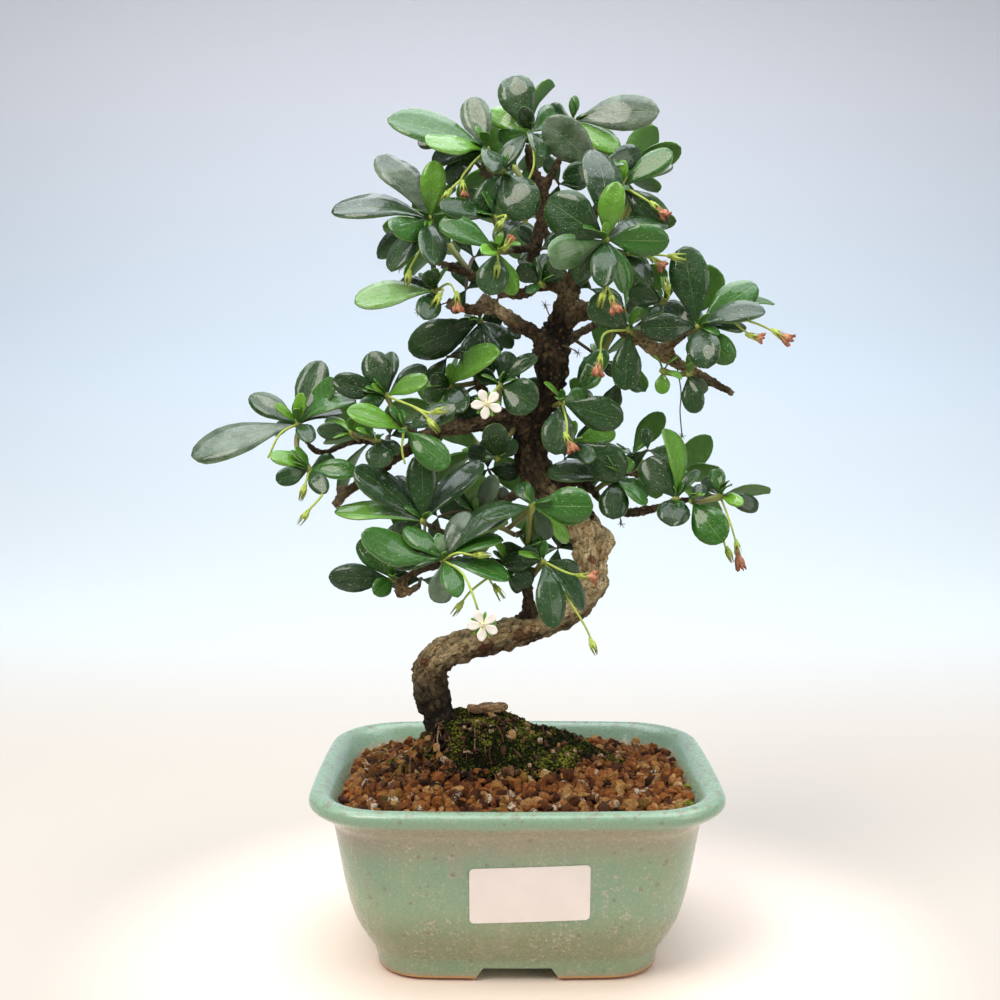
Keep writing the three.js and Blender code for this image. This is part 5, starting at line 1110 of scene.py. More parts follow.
# Each spray: the lines of its twigs, then its rosettes as (place, how many leaves fill it, leaves),
# a leaf as its tip's across, down and how much deeper it lies, its width in pixels and its tone
DRAWN_SPRAYS = {
    "crown_left": (
        "440 264 -4, 433 258 -6, 430 219 -8; 433 258 -6, 434 278 -12, 435 291 -15",
        ("430 219 -8", 1, "332 212 -2 23 s, 379 156 6 30 s, 435 161 -2 25 b, 392 231 -14 28 p, "
         "378 258 0 20 d, 391 271 -8 22 d, 431 264 -12 28 d"),
        ("435 291 -15", 0, "355 303 -4 24 b, 428 271 -6 17 s, 424 319 -6 25 d, 400 282 5 16 d"),
    ),
    "crown_top_left": (
        "482 169 -3, 486 159 -4, 487 150 -5; 487 150 -5, 496 160 -8, 503 172 -9",
        ("487 150 -5", 0, "388 119 0 30 g, 426 143 -10 16 b, 470 98 4 30 d, 491 172 -12 20 d, "
         "432 163 4 20 d, 446 182 2 20 d"),
        ("503 172 -9", 0, "530 218 -7 42 d, 476 214 -4 24 d"),
    ),
    "crown_top": (
        "528 143 1, 529 137 1, 530 131 0",
        ("530 133 0", 1, "511 77 2 36 d, 523 107 -6 17 s, 488 113 6 22 b, 498 138 3 18 g, "
         "553 153 -6 18 d, 538 162 -9 15 d, 500 168 -5 18 d, 556 112 8 24 g"),
    ),
    "crown_top_right": (
        "603 176 -4, 602 172 -6, 600 167 -8; 601 172 -6, 612 182 -5, 622 186 -4; 600 167 -8, 590 146 -1, "
        "573 121 8",
        ("573 121 8", 0, "659 111 -6 34 s, 652 124 6 15 b, 619 152 -6 22 b, 548 108 6 20 d"),
        ("600 168 -8", 0, "545 130 -2 40 d, 640 152 6 24 s, 563 178 -6 24 d, 612 145 6 18 d"),
        ("622 186 -4", 0, "672 152 -2 22 g, 670 164 8 18 d, 667 226 -3 28 d"),
    ),
    "crown_front": (
        "597 249 -18, 601 245 -23, 606 240 -28; 604 242 -26, 614 250 -23, 624 254 -20",
        ("606 240 -28", 0, "593 150 6 36 s, 618 182 -4 25 b, 548 200 2 46 d, 549 257 -6 34 p, "
         "669 241 -2 32 g, 665 224 10 18 d, 603 287 -8 27 d, 624 293 -1 20 g, 575 282 6 22 d"),
        ("624 254 -20", 0, "651 285 -4 16 s, 641 268 4 12 g"),
    ),
    "crown_front_left": (
        "508 252 -13, 502 252 -18, 497 251 -22; 499 247 -21, 498 232 -18, 495 218 -15",
        ("497 251 -22", 0, "440 222 0 24 g, 482 253 -8 12 y, 490 295 -4 32 d, 514 295 -1 20 b, "
         "517 217 6 15 d, 504 230 3 18 d"),
        ("495 218 -15", 0, "440 206 -2 20 d, 468 190 4 18 d"),
    ),
    "crown_low_right": (
        "545 287 -5, 543 285 -9, 541 284 -12",
        ("541 284 -12", 0, "518 266 -2 20 d, 548 254 4 24 d, 562 262 -4 22 d"),
    ),
    "right_top": (
        "692 331 -16, 695 329 -17, 698 327 -18",
        ("698 327 -18", 1, "684 247 2 38 d, 641 328 -2 28 s, 708 368 -8 33 s, 733 362 -3 27 g, "
         "765 312 -4 20 s, 773 303 5 14 g, 756 285 4 32 g, 746 327 3 14 d, 664 304 6 20 d"),
    ),
    "right_hang": (
        "694 372 -7, 691 373 -10, 688 374 -13; 688 374 -13, 675 374 -14, 663 371 -14",
        ("688 374 -13", 0, "696 413 -3 22 d, 706 392 3 14 d"),
        ("663 371 -14", 0, "662 394 -1 15 b"),
    ),
    "right_inner": (
        "655 308 -10, 660 305 -12, 664 301 -13; 640 338 -8, 634 334 -11, 629 330 -13; 632 332 -12, "
        "650 316 -14, 664 301 -13",
        ("664 301 -13", 0, "629 291 -2 24 d, 650 326 -6 18 d"),
        ("629 330 -13", 0, "592 297 -2 35 d, 625 390 -3 29 d, 604 318 5 16 g"),
    ),
    "neck_right": (
        "556 402 1, 565 399 1, 574 396 2",
        ("574 396 2", 0, "606 350 2 22 g, 598 372 6 18 b, 592 402 -5 20 d"),
    ),
    "left_end": (
        "303 437 -1, 300 431 -1, 298 424 0; 299 428 0, 297 448 -8, 309 470 -12",
        ("298 424 0", 1, "192 456 -6 32 s, 250 396 4 24 d, 321 361 6 30 d, 334 378 0 19 p, "
         "356 401 -2 15 g, 342 412 4 13 d, 311 442 -8 17 d, 276 432 6 14 g"),
        ("309 470 -12", 0, "270 455 -2 14 b, 276 480 -4 19 d, 326 493 -6 19 d, 357 473 -2 20 g, "
         "334 457 4 13 s, 296 452 5 14 d"),
    ),
    "left_mid": (
        "360 441 -6, 356 437 -8, 352 433 -10; 382 444 -8, 380 442 -12, 378 440 -15; 352 433 -10, "
        "365 437 -13, 378 440 -15",
        ("352 433 -10", 0, "317 430 -3 18 d, 326 419 4 13 b, 372 424 -4 16 g"),
        ("378 440 -15", 0, "380 468 -4 27 d, 400 452 -2 15 d"),
    ),
    "left_upper": (
        "392 410 -6, 390 403 -5, 387 396 -5",
        ("387 396 -5", 0, "371 352 2 30 d, 333 380 0 25 s, 428 380 -6 17 b, 426 367 5 22 s, "
         "360 408 -6 16 d, 390 352 8 20 d"),
    ),
    "left_front": (
        "405 428 -8, 405 429 -14, 404 430 -19",
        ("404 430 -19", 0, "347 411 -3 21 b, 448 467 -6 30 g, 456 406 -2 22 d, 400 410 3 12 g"),
    ),
    "neck_left": (
        "478 382 8, 464 385 7, 451 387 6",
        ("451 387 6", 0, "500 352 -12 22 b, 431 377 -4 17 d, 463 412 -10 26 d, 478 428 -4 28 d, "
         "425 398 4 18 g"),
    ),
    "neck_top": (
        "480 340 10, 481 330 10, 480 321 9",
        ("480 321 9", 0, "480 379 -8 40 d, 512 348 -3 16 d, 455 327 -2 14 d, 409 350 2 38 d, "
         "500 312 6 18 d, 438 338 8 28 g"),
    ),
    "neck_front": (
        "498 416 -3, 499 402 -7, 500 386 -10",
        ("500 385 -10", 0, "537 406 -4 38 d, 537 356 0 15 d, 478 372 3 16 d, 510 352 4 22 d"),
    ),
    "neck_low": (
        "515 418 0, 512 432 -1, 500 448 -2, 497 458 -2",
        ("497 459 -2", 0, "494 423 -3 26 d, 468 452 5 20 d, 516 440 2 18 d"),
    ),
    "low_left_back": (
        "426 524 -14, 425 523 -15, 423 521 -17",
        ("423 521 -16", 0, "357 469 4 30 s, 422 453 2 32 d, 481 461 8 24 d, 335 512 0 17 b, "
         "392 478 8 26 d, 385 545 6 20 d"),
    ),
    "low_left_end": (
        "404 580 -8, 398 580 -6, 392 579 -5",
        ("392 579 -5", 0, "360 540 2 24 g, 329 577 -2 29 s, 374 594 -6 20 g, 400 556 5 20 d"),
    ),
    "low_left_front": (
        "450 561 -15, 447 561 -21, 443 560 -27",
        ("443 560 -28", 0, "362 534 -2 32 p, 393 563 4 22 d, 458 597 -8 22 g, 440 603 0 25 d, "
         "468 512 5 24 s, 517 507 4 24 s, 503 540 -2 15 g, 509 580 -4 19 g, 404 528 4 20 g"),
    ),
    "low_middle": (
        "482 512 4, 479 513 4, 476 514 4",
        ("476 514 4", 0, "480 475 0 28 b, 461 475 3 20 d, 497 476 -3 18 d, 440 505 4 20 d, 507 490 4 20 d"),
    ),
    "low_front": (
        "524 577 -13, 527 549 -22, 532 506 -30",
        ("532 506 -30", 0, "593 506 -4 38 g, 482 518 -4 16 d, 549 539 3 17 s, 570 538 9 18 b, "
         "520 484 5 18 d"),
        ("527 549 -22", 0, "539 519 -3 24 g, 500 549 4 14 d"),
    ),
    "low_right": (
        "526 586 -11, 534 574 -18, 543 562 -25; 536 571 -20, 520 566 -21, 506 563 -20",
        ("543 561 -25", 0, "521 550 4 20 d, 578 572 3 19 d, 553 628 -7 30 d, 583 610 0 17 d, "
         "503 562 2 20 d"),
        ("506 563 -20", 0, "532 586 -6 24 s, 520 592 3 15 d, 478 574 -2 16 d"),
    ),
    "trunk_right": (
        "548 408 1, 556 405 -5, 562 403 -10; 538 446 5, 560 444 -4, 572 442 -8; 562 405 -9, 568 424 -9, "
        "573 442 -8",
        ("562 403 -10", 0, "623 420 -2 34 d, 556 455 -8 33 d, 585 392 6 16 g"),
        ("573 442 -8", 0, "625 474 -2 38 d, 615 432 5 20 b, 592 462 -8 18 d"),
    ),
    "right_low_inner": (
        "594 491 0, 604 484 -4, 614 478 -8",
        ("615 478 -8", 0, "613 519 -5 30 s, 649 494 2 16 g, 646 505 -5 12 g, 632 460 4 14 b, "
         "547 473 4 22 d"),
    ),
    "right_low_mid": (
        "660 507 -6, 668 504 -10, 676 499 -13",
        ("676 499 -13", 0, "645 460 4 32 d, 671 526 -6 33 s, 681 470 6 19 b, 698 470 3 13 d, "
         "662 431 6 19 b"),
    ),
    "right_low_end": (
        "718 498 -1, 720 497 -1, 722 496 -2; 700 498 -3, 696 499 -8, 692 501 -12; 692 502 -13, 706 500 -9, "
        "720 497 -4",
        ("720 496 -3", 1, "716 469 3 16 g, 743 504 -5 12 y, 758 508 2 18 s, 704 478 6 15 d"),
        ("692 502 -13", 0, "723 542 -6 36 g, 705 486 5 16 s"),
    ),
    "back_left": (
        "465 422 36, 455 418 39, 445 412 42; 455 418 39, 470 434 39, 482 453 38",
        ("445 412 42", 6, ""),
        ("482 453 38", 4, ""),
    ),
    "back_far_left": (
        "395 458 -7, 385 452 8, 372 440 22",
        ("372 440 22", 5, ""),
    ),
    "back_right": (
        "600 322 36, 612 316 39, 625 310 42; 612 316 39, 610 338 40, 600 360 40",
        ("625 310 42", 6, ""),
        ("600 360 40", 4, ""),
    ),
    "back_far_right": (
        "657 350 -8, 668 338 6, 680 322 20",
        ("680 322 20", 5, ""),
    ),
    "back_crown": (
        "530 195 28, 522 180 31, 515 168 33; 522 180 31, 526 200 36, 525 220 40",
        ("515 168 33", 6, ""),
        ("525 220 40", 6, ""),
    ),
    "back_crown_right": (
        "622 195 26, 624 185 29, 624 176 31; 624 185 29, 630 204 36, 622 222 41",
        ("624 176 31", 5, ""),
        ("622 222 41", 5, ""),
    ),
    "back_crown_left": (
        "474 276 -3, 462 262 12, 450 246 25",
        ("450 246 25", 6, ""),
    ),
    "back_low": (
        "515 535 34, 506 530 38, 498 526 42; 506 530 38, 520 519 40, 534 505 40",
        ("498 526 42", 5, ""),
        ("534 505 40", 4, ""),
    ),
    "back_low_left": (
        "450 561 -15, 440 554 2, 426 545 18",
        ("426 545 18", 5, ""),
    ),
    "back_low_right": (
        "655 478 32, 664 480 35, 672 482 37; 664 480 35, 648 466 40, 632 456 42",
        ("672 482 37", 5, ""),
        ("632 456 42", 4, ""),
    ),
}
# The same sprays in numbers: (twigs, rosettes), with a rosette as (place, fill, leaves)
SPRAYS = {
    name: ([table(line) for line in twigs.split(";")],
           [(table(place)[0], fill, table(leaves)) for place, fill, leaves in rosettes])
    for name, (twigs, *rosettes) in DRAWN_SPRAYS.items()
}


# ---- The plant's rules, as in its solids --------------------------------------------------------

SLIMNESS = 0.44
DEPTH_SPREAD = 1.6
GOLDEN_ANGLE = math.pi * (3 - math.sqrt(5))
# Shoots deeper than this fill the crown behind, and lean away from the pot's middle
SHOOTS_BEHIND = 10
# A solid's corner nearer than this to a leaf's tip is that tip
SAME_PLACE = 0.06 * MM
# How the solids' leaves were moved out of each other's way, in the order in which it was tried
BENDS = [
    (0, 0, 0), (0, 3.5, 0), (0, -3.5, 0), (0, 0, 3.5), (0, 0, -3.5),
    (0, 7, 1), (0, -7, 1), (3, 3, 3), (-3, 3, -3),
]


def drawn_leaf(at, row, shift):
    """A leaf drawn in the view: base, tip, the way its upper side faces, and width."""
    across, down, deeper, pixels, tone = row
    base = seen(*at)
    depth = at[2] + DEPTH_SPREAD * deeper
    tip = seen(across, down, depth) + shift
    length = np.linalg.norm(tip - base)
    along = (tip - base) / length
    width = pixels * mm_per_pixel(depth)
    true_width = max(width, SLIMNESS * length)
    facing = square_to(unit(VIEW - tip), along)
    lifted = np.cross(along, facing)
    if lifted[2] < 0:
        lifted = -lifted
    share = min(1.0, width / true_width)
    normal = facing * share + lifted * math.sqrt(1 - share * share)
    return base, tip, unit(-normal if tone == TONES["p"] else normal), true_width


def filling_axis(at):
    """The way a shoot points."""
    place = seen(*at)
    if at[2] < SHOOTS_BEHIND:
        return unit(np.array([place[0] / 150, 0.85, 0.45]))
    return unit(np.array([(place[0] - 18) / 40, place[1] / 40, 0.45]))


def around_axis(at, lean, turn):
    """A direction that leans out from a shoot's axis."""
    axis = filling_axis(at)
    across = unit(np.cross([0, 0, 1], axis))
    return axis * math.cos(lean) + swing(across, np.cross(axis, across), turn) * math.sin(lean)


def filling_leaf(at, fill, number, draw, shift):
    """A leaf that fills a rosette by a rule: round its axis by the golden angle, leaning out."""
    turn = number * GOLDEN_ANGLE + at[0]
    lean = 0.5 + 0.85 * (number + next(draw)) / fill
    length = 19 + 10 * next(draw)
    width = length * (0.46 + 0.1 * next(draw))
    base = seen(*at)
    tip = base + around_axis(at, lean, turn) * length + shift
    return base, tip, square_to(filling_axis(at) + [0, 0, 0.7], unit(tip - base)), width


def look_up(points):
    """A tree that finds the nearest of the points."""
    tree = KDTree(len(points))
    for i, point in enumerate(points):
        tree.insert(point, i)
    tree.balance()
    return tree


def find_bend(tree, make):
    """The leaf as its solid has it, or None where the solid has no such leaf."""
    for bend in BENDS:
        leaf = make(np.array(bend, float))
        if tree.find(Vector(in_frame(leaf[1])))[2] < SAME_PLACE:
            return leaf
    return None


def grown_leaves():
    """Every leaf that the solids have, by spray: (base, tip, normal, width, arch, tone)."""
    grown = {name: [] for name in SPRAYS}
    solids = {name: look_up(corners(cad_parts["spray_" + name])) for name in SPRAYS}
    serial = 0

    def grow(name, make, tone):
        """Adds a leaf to its spray, bent as its solid is."""
        nonlocal serial
        serial += 1
        draw = draws(1000 + 37 * serial)
        next(draw)
        next(draw)
        arch = 0.04 + 0.1 * next(draw)
        leaf = find_bend(solids[name], make)
        if leaf:
            grown[name].append((*leaf, arch, tone))

    for name, (_, rosettes) in SPRAYS.items():
        for at, _, leaves in rosettes:
            for row in leaves:
                grow(name, lambda shift: drawn_leaf(at, row, shift), row[4])
    for name, (_, rosettes) in SPRAYS.items():
        for at, fill, _ in rosettes:
            for number in range(fill):
                seed = 5000 + 101 * serial
                tone = (0.05, 0.3, 0.12, 0.6)[number % 4]
                grow(name, lambda shift: filling_leaf(at, fill, number, draws(seed), shift), tone)
    return grown


# ---- Leaves, twigs and flowers ------------------------------------------------------------------

# How wide a leaf is along its length, from its stalk to its rounded tip
LEAF_OUTLINE = [
    (0.0, 0.06), (0.06, 0.08), (0.13, 0.23), (0.24, 0.5), (0.36, 0.76), (0.48, 0.94),
    (0.6, 1.0), (0.72, 0.95), (0.83, 0.79), (0.91, 0.57), (0.97, 0.3), (1.0, 0.07),
]
# How much wider or narrower than that the bluntest leaves are
BLUNT_TIP = [
    (0.0, 0.0), (0.15, -0.26), (0.36, -0.16), (0.52, 0.0), (0.7, 0.04), (0.83, 0.14), (0.91, 0.32),
    (0.97, 0.62), (1.0, 0.8),
]
# How near in the view a leaf or a rosette lies to the place that names it
SPOT_PIXELS = 13
# The leaves that get a painted sheen where the light falls on them, by their middle in the view
SHEEN_PAINTED_LEAVES = [
    (620, 108), (398, 178), (358, 210), (238, 440), (600, 175), (572, 242), (395, 530), (568, 138),
    (475, 112), (385, 480), (435, 577), (420, 122), (732, 285), (485, 503), (450, 540), (388, 290),
    (265, 400), (302, 380),
]
# Dead calyxes and the strand that hangs on the right, as lines in the view with their owner
DRIED = [
    ("crown_front_left", [(552, 322, -4), (548, 312, -7), (545, 305, -9)]),
    ("right_inner", [(617, 511, -5), (620, 517, -8), (621, 524, -9)]),
    ("crown_left", [(418, 250, -6), (408, 260, -8), (400, 268, -9)]),
    ("crown_left", [(446, 303, -10), (430, 308, -11), (418, 313, -11)]),
    ("trunk_right", [(560, 345, -4), (570, 348, -6), (578, 353, -6)]),
    ("right_top", [(676, 362, -8), (681, 392, -8), (680, 412, -8), (682, 436, -8)]),
]
# Dark leaves inside the crown, on twigs from the nearest limb: (across, down, depth, leaves)
INNER_SHOOTS = [
    (558, 548, 12, 4), (466, 289, 10, 3), (474, 257, 10, 3), (447, 357, 12, 3), (648, 450, 12, 3),
    (565, 458, 14, 3), (390, 436, 8, 3), (446, 142, 8, 2), (590, 288, 12, 2), (559, 184, 10, 3),
    (438, 517, 8, 3), (422, 579, 6, 2), (488, 469, 10, 3), (500, 330, 14, 3), (590, 420, 16, 3),
    (640, 290, 14, 3), (520, 380, 16, 3), (620, 380, 16, 3), (460, 400, 14, 3), (540, 250, 16, 3),
    (600, 480, 16, 2),
]
# Bright young leaves in the heart of a rosette: (its place, the leaf's tip, width in pixels)
HEART_LEAVES = [
    ((296, 422), (302, 393), 13), ((294, 424), (275, 404), 9), ((640, 440), (652, 425), 7),
    ((690, 340), (712, 322), 9), ((600, 240), (606, 222), 9), ((448, 545), (455, 528), 8),
    ((385, 398), (372, 384), 8), ((505, 230), (498, 214), 8),
]
# The way the open flowers face, and where the first of their petals stands
FLOWER_AXIS = unit(np.array([0.05, -1, 0.25]))
FLOWER_TURN = math.pi / 2
FIFTH = 2 * math.pi / 5


def nearest_spray(shoot):
    """The name of the spray whose heart lies nearest to an inner shoot in the view."""
    hearts = [(math.dist(shoot[:2], at[:2]), name)
              for name, (_, rosettes) in SPRAYS.items() for at, _, _ in rosettes]
    return min(hearts)[1]


def model_leaf():
    """The leaf that is copied: a grid one unit long, its rows sized to the outline, given thickness."""
    cuts = len(LEAF_OUTLINE) - 1
    bpy.ops.mesh.primitive_grid_add(x_subdivisions=cuts, y_subdivisions=4, size=1, location=(0.5, 0, 0))
    leaf = settle(name_new("leaf"))
    places = corners(leaf)
    row = np.rint(places[:, 0] * cuts).astype(int)
    shares = np.array(LEAF_OUTLINE)
    places[:, 1] *= shares[row, 1]
    places[:, 0] = shares[row, 0]
    tip = row == cuts
    places[tip, 0] += 0.015 * np.cos(places[tip, 1] / 0.1 * math.pi * 0.9) - 0.008
    set_corners(leaf, places)
    apply_modifier(leaf, "SOLIDIFY", thickness=0.02, offset=-1)
    return template(leaf)


def place_leaf(pile, shape, leaf, rng, thickness=0.55):
    """Bends a copy of the modelled leaf along its midrib, with a fold, a curl and a wavy edge."""
    base, tip, normal, width, arch, tone = leaf
    places, faces = shape
    length = np.linalg.norm(tip - base)
    along = (tip - base) / length
    side = np.cross(normal, along)
    s, across = places[:, 0], places[:, 1] * 2
    middle = (base + tip) / 2 + normal * 2 * arch * length
    s1 = s[:, None]
    rib = (1 - s1) ** 2 * base + 2 * s1 * (1 - s1) * middle + s1 ** 2 * tip
    up = np.cross(units(2 * (1 - s1) * (middle - base) + 2 * s1 * (tip - middle)), side)
    fold = rng.uniform(0.1, 0.44)
    curl = rng.uniform(0.1, 0.34)
    wave = rng.uniform(0.01, 0.1) * np.sin(s * rng.uniform(5, 9) + rng.uniform(0, 6) + 2 * across)
    lean = rng.uniform(-0.05, 0.05)
    half = width / 2
    across = across * (1 + rng.uniform(0.25, 1.0) * np.interp(s, *zip(*BLUNT_TIP)))
    lift = fold * np.abs(across) ** 1.1 - curl * across ** 2 * (0.3 + s) + wave * across + lean * across * s
    groove = 0.10 * np.exp(-((across / 0.10) ** 2)) * np.clip(s * 5, 0, 1)
    lower = places[:, 2] < -0.01
    rise = half * lift - groove + np.where(lower, -thickness, 0.0) + 0.25 * thickness - 0.35 * (1 - s)
    teeth = 1 + rng.uniform(0.01, 0.05) * np.sin(across * 9 + rng.uniform(0, 6)) * np.clip((s - 0.8) * 5, 0, 1)
    bent = rib + side * (across * half * 1.02 * teeth)[:, None] + up * rise[:, None]
    blade = np.clip(across / np.maximum(np.interp(s, *zip(*LEAF_OUTLINE)), 0.05), -1, 1)
    across_view, down = in_view((base + tip) / 2)
    near = min(math.hypot(across_view - a, down - d) for a, d in SHEEN_PAINTED_LEAVES) < SPOT_PIXELS
    sheen_painted = near and base[1] < 0.7 * length
    # Painted sheen: strong on the listed leaves, faint and at random on the others
    frost = rng.uniform(0.75, 1.0) if sheen_painted else 0.12 * rng.uniform() ** 2
    under = lower * (0.25 if tone == TONES["p"] else 1.0)
    uv = np.column_stack([s, 0.5 + 0.5 * blade])
    pile.add(bent, faces, uv=uv, tone=tone, under=under, frost=frost, wood=0.0)


def add_stick(pile, points, radii, sides, steps, tone=0.0, wood=1.0):
    """A round twig or stalk."""
    skin, faces, uv = tube(points, radii, sides, steps)
    pile.add(skin, faces, 1, uv, tone=tone, under=0.0, wood=wood)


def add_young_leaves(pile, shape, at, rng):
    """Short leaves in the heart of a rosette."""
    base = seen(*at)
    for k in range(sizes().small_leaves):
        draw = rng.uniform(size=4)
        out = around_axis(at, 0.25 + 0.9 * draw[0], k * 2.4 + 6 * draw[1])
        if at[2] < SHOOTS_BEHIND:
            out = unit(out * [1, -0.7, 1] + [0, 0, 0.25])
        length = 5 + 6 * draw[2]
        normal = square_to(np.array([0, -0.5, 1.0]), out)
        leaf = base, base + out * length, normal, length * 0.42, 0.12, 0.3 + 0.7 * draw[3]
        place_leaf(pile, shape, leaf, rng, thickness=0.4)
    for heart, tip, pixels in HEART_LEAVES:
        if math.dist(heart, at[:2]) < SPOT_PIXELS:
            end = seen(*tip, at[2] - 5)
            normal = square_to(np.array([0, -0.8, 0.6]), unit(end - base))
            leaf = base, end, normal, pixels * mm_per_pixel(at[2]), 0.06, 1.0
            place_leaf(pile, shape, leaf, rng, thickness=0.4)


def add_dried(pile, line, rng):
    """A dead calyx as a small dark star on its dry stalk."""
    points = [seen(*row) for row in line]
    add_stick(pile, points, [0.26] * len(points), 5, 4)
    end = points[-1]
    for k in range(6):
        out = unit(np.array([math.cos(k * 1.05 + 0.3), rng.uniform(-0.5, 0.5), math.sin(k * 1.05)]))
        add_stick(pile, [end, end + out * rng.uniform(1.2, 2.2)], [0.22, 0.08], 4, 1)


def add_inner_shoot(pile, shape, shoot, lines, rng):
    """A short twig off the nearest limb, with a few dark leaves round its end."""
    *place, count = shoot
    heart = seen(*place)
    start = lines[np.argmin(np.linalg.norm(lines - heart, axis=1))]
    if np.linalg.norm(start - heart) > 2:
        add_stick(pile, [start, (start + heart) / 2 + [0, 0, 1.5], heart], [0.8, 0.7, 0.6], 6, 3)
    for k in range(count):
        turn = k * 2 * math.pi / count + rng.uniform(-0.5, 0.5)
        out = unit(np.array([math.cos(turn), rng.uniform(-0.3, 0.5), math.sin(turn)]))
        length = rng.uniform(9, 14)
        normal = np.array([rng.uniform(-0.3, 0.3), -1.0, rng.uniform(0.1, 0.9)])
        end, width = heart + out * length, length * rng.uniform(0.5, 0.62)
        place_leaf(pile, shape, (heart, end, square_to(normal, out), width, 0.06, rng.uniform(0, 0.25)), rng)


def add_twig(pile, line):
    """A leafy twig: woody, a little knotted, thicker and greener where its leaves stand."""
    points = [seen(*row) for row in line]
    points.append(points[-1] + unit(points[-1] - points[-2]) * 1.4)
    skin, faces, uv = tube(points, [1.05] * (len(points) - 2) + [1.45, 0.7], 8, 4)
    knots = np.array([1 + 0.16 * noise(place * 0.9) for place in skin])
    core = smooth_line(points, 4)[0]
    middle = np.repeat(core, 8, axis=0)
    skin = middle + (skin - middle) * knots[:, None]
    pile.add(skin, faces, 1, uv, tone=0.5, under=0.0, wood=np.linspace(1.0, 0.35, len(core)).repeat(8))


def basis(axis):
    """Two directions square to an axis."""
    across = unit(np.cross(axis, [0.2, 0.1, 1.0]))
    return across, np.cross(axis, across)


def place_on(places, middle, axis, size=1.0, turn=0.0):
    """A modelled shape stood on a place with its Z along an axis."""
    x = swing(*basis(axis), turn)
    y = np.cross(axis, x)
    return middle + size * (places[:, :1] * x + places[:, 1:2] * y + places[:, 2:] * axis)


def add_sepals(pile, shape, middle, rng):
    """Five narrow sepals that show between the petals of an open flower."""
    base = middle - FLOWER_AXIS * 0.9
    for k in range(5):
        out = unit(swing(*basis(FLOWER_AXIS), FLOWER_TURN + (k + 0.5) * FIFTH) + 0.1 * FLOWER_AXIS)
        leaf = base, base + out * 5.0, square_to(FLOWER_AXIS, out), 1.3, 0.03, 1.0
        place_leaf(pile, shape, leaf, rng, thickness=0.2)


def add_stalk(pile, shape, cup, rosettes, kind, line, rng):
    """A flower's stalk off the nearest rosette, with the calyx that its kind of flower has."""
    points = [seen(*row) for row in line]
    nearest = min((seen(*at) for at, _, _ in rosettes), key=lambda spur: np.linalg.norm(spur - points[0]))
    if np.linalg.norm(nearest - points[0]) < 9:
        points[0] = nearest
    end, before = points[-1], points[-2]
    if kind == "white":
        points[-1:] = end - FLOWER_AXIS * 5.5, end - FLOWER_AXIS * 3.0
    if kind == "wilted":
        points.pop()
    add_stick(pile, points, np.linspace(0.5, 0.4, len(points)), 6, 5, tone=0.8, wood=0.0)
    if kind == "white":
        add_sepals(pile, shape, end, rng)
    if kind != "bare":
        places, faces = cup
        axis = unit(end - before) if kind == "wilted" else unit(points[-1] - points[-2])
        shut = rng.uniform(0.0, 0.75) if kind == "calyx" else 0.0
        narrow = 1 - shut * (places[:, 2:] > 0.5)
        shaped = places * np.hstack([narrow, narrow, np.ones_like(narrow)])
        size = {"white": 0.95, "wilted": 1.35, "calyx": 1.6}[kind]
        shaped = place_on(shaped, points[-1] + axis * 0.4, axis, size, rng.uniform(0, 6))
        pile.add(shaped, faces, 1, tone=1.0, under=0.0, wood=0.0)


def model_calyx():
    """The green cup under a flower: a small cone whose rim is drawn out into five narrow sepals."""
    bpy.ops.mesh.primitive_cone_add(
        vertices=30, radius1=0.45, radius2=1.0, depth=2.2, location=(0, 0, -1.1), end_fill_type="NGON")
    cup = name_new("calyx")
    edit(cup)
    select(cup, "faces", lambda face: face.normal.z > 0.9 and face.calc_center_median().z > -0.5)
    bpy.ops.mesh.inset(thickness=0.2)
    bpy.ops.transform.translate(value=(0, 0, -1.2))
    leave_edit()
    settle(cup)
    places = corners(cup)
    turn = np.arctan2(places[:, 1], places[:, 0])
    rim = places[:, 2] > -0.3
    point = np.clip(np.cos(5 * turn), 0, 1) ** 0.8
    places[rim, 2] += 2.3 * point[rim]
    places[rim, :2] *= (0.85 + 0.45 * point[rim])[:, None]
    set_corners(cup, places)
    return template(cup)


def model_petal():
    """One petal, one unit long, narrow where it joins the tube and round at its tip."""
    bpy.ops.mesh.primitive_grid_add(x_subdivisions=8, y_subdivisions=4, size=1, location=(0.5, 0, 0))
    petal = settle(name_new("petal"))
    places = corners(petal)
    outline = np.interp(places[:, 0], [0, 0.2, 0.45, 0.65, 0.85, 1.0], [0.22, 0.42, 0.74, 0.82, 0.62, 0.3])
    places[:, 1] *= outline
    places[:, 0] -= 0.1 * np.abs(places[:, 1] * 2) ** 2 * (places[:, 0] > 0.8)
    set_corners(petal, places)
    apply_modifier(petal, "SOLIDIFY", thickness=0.04, offset=-1)
    return template(petal)


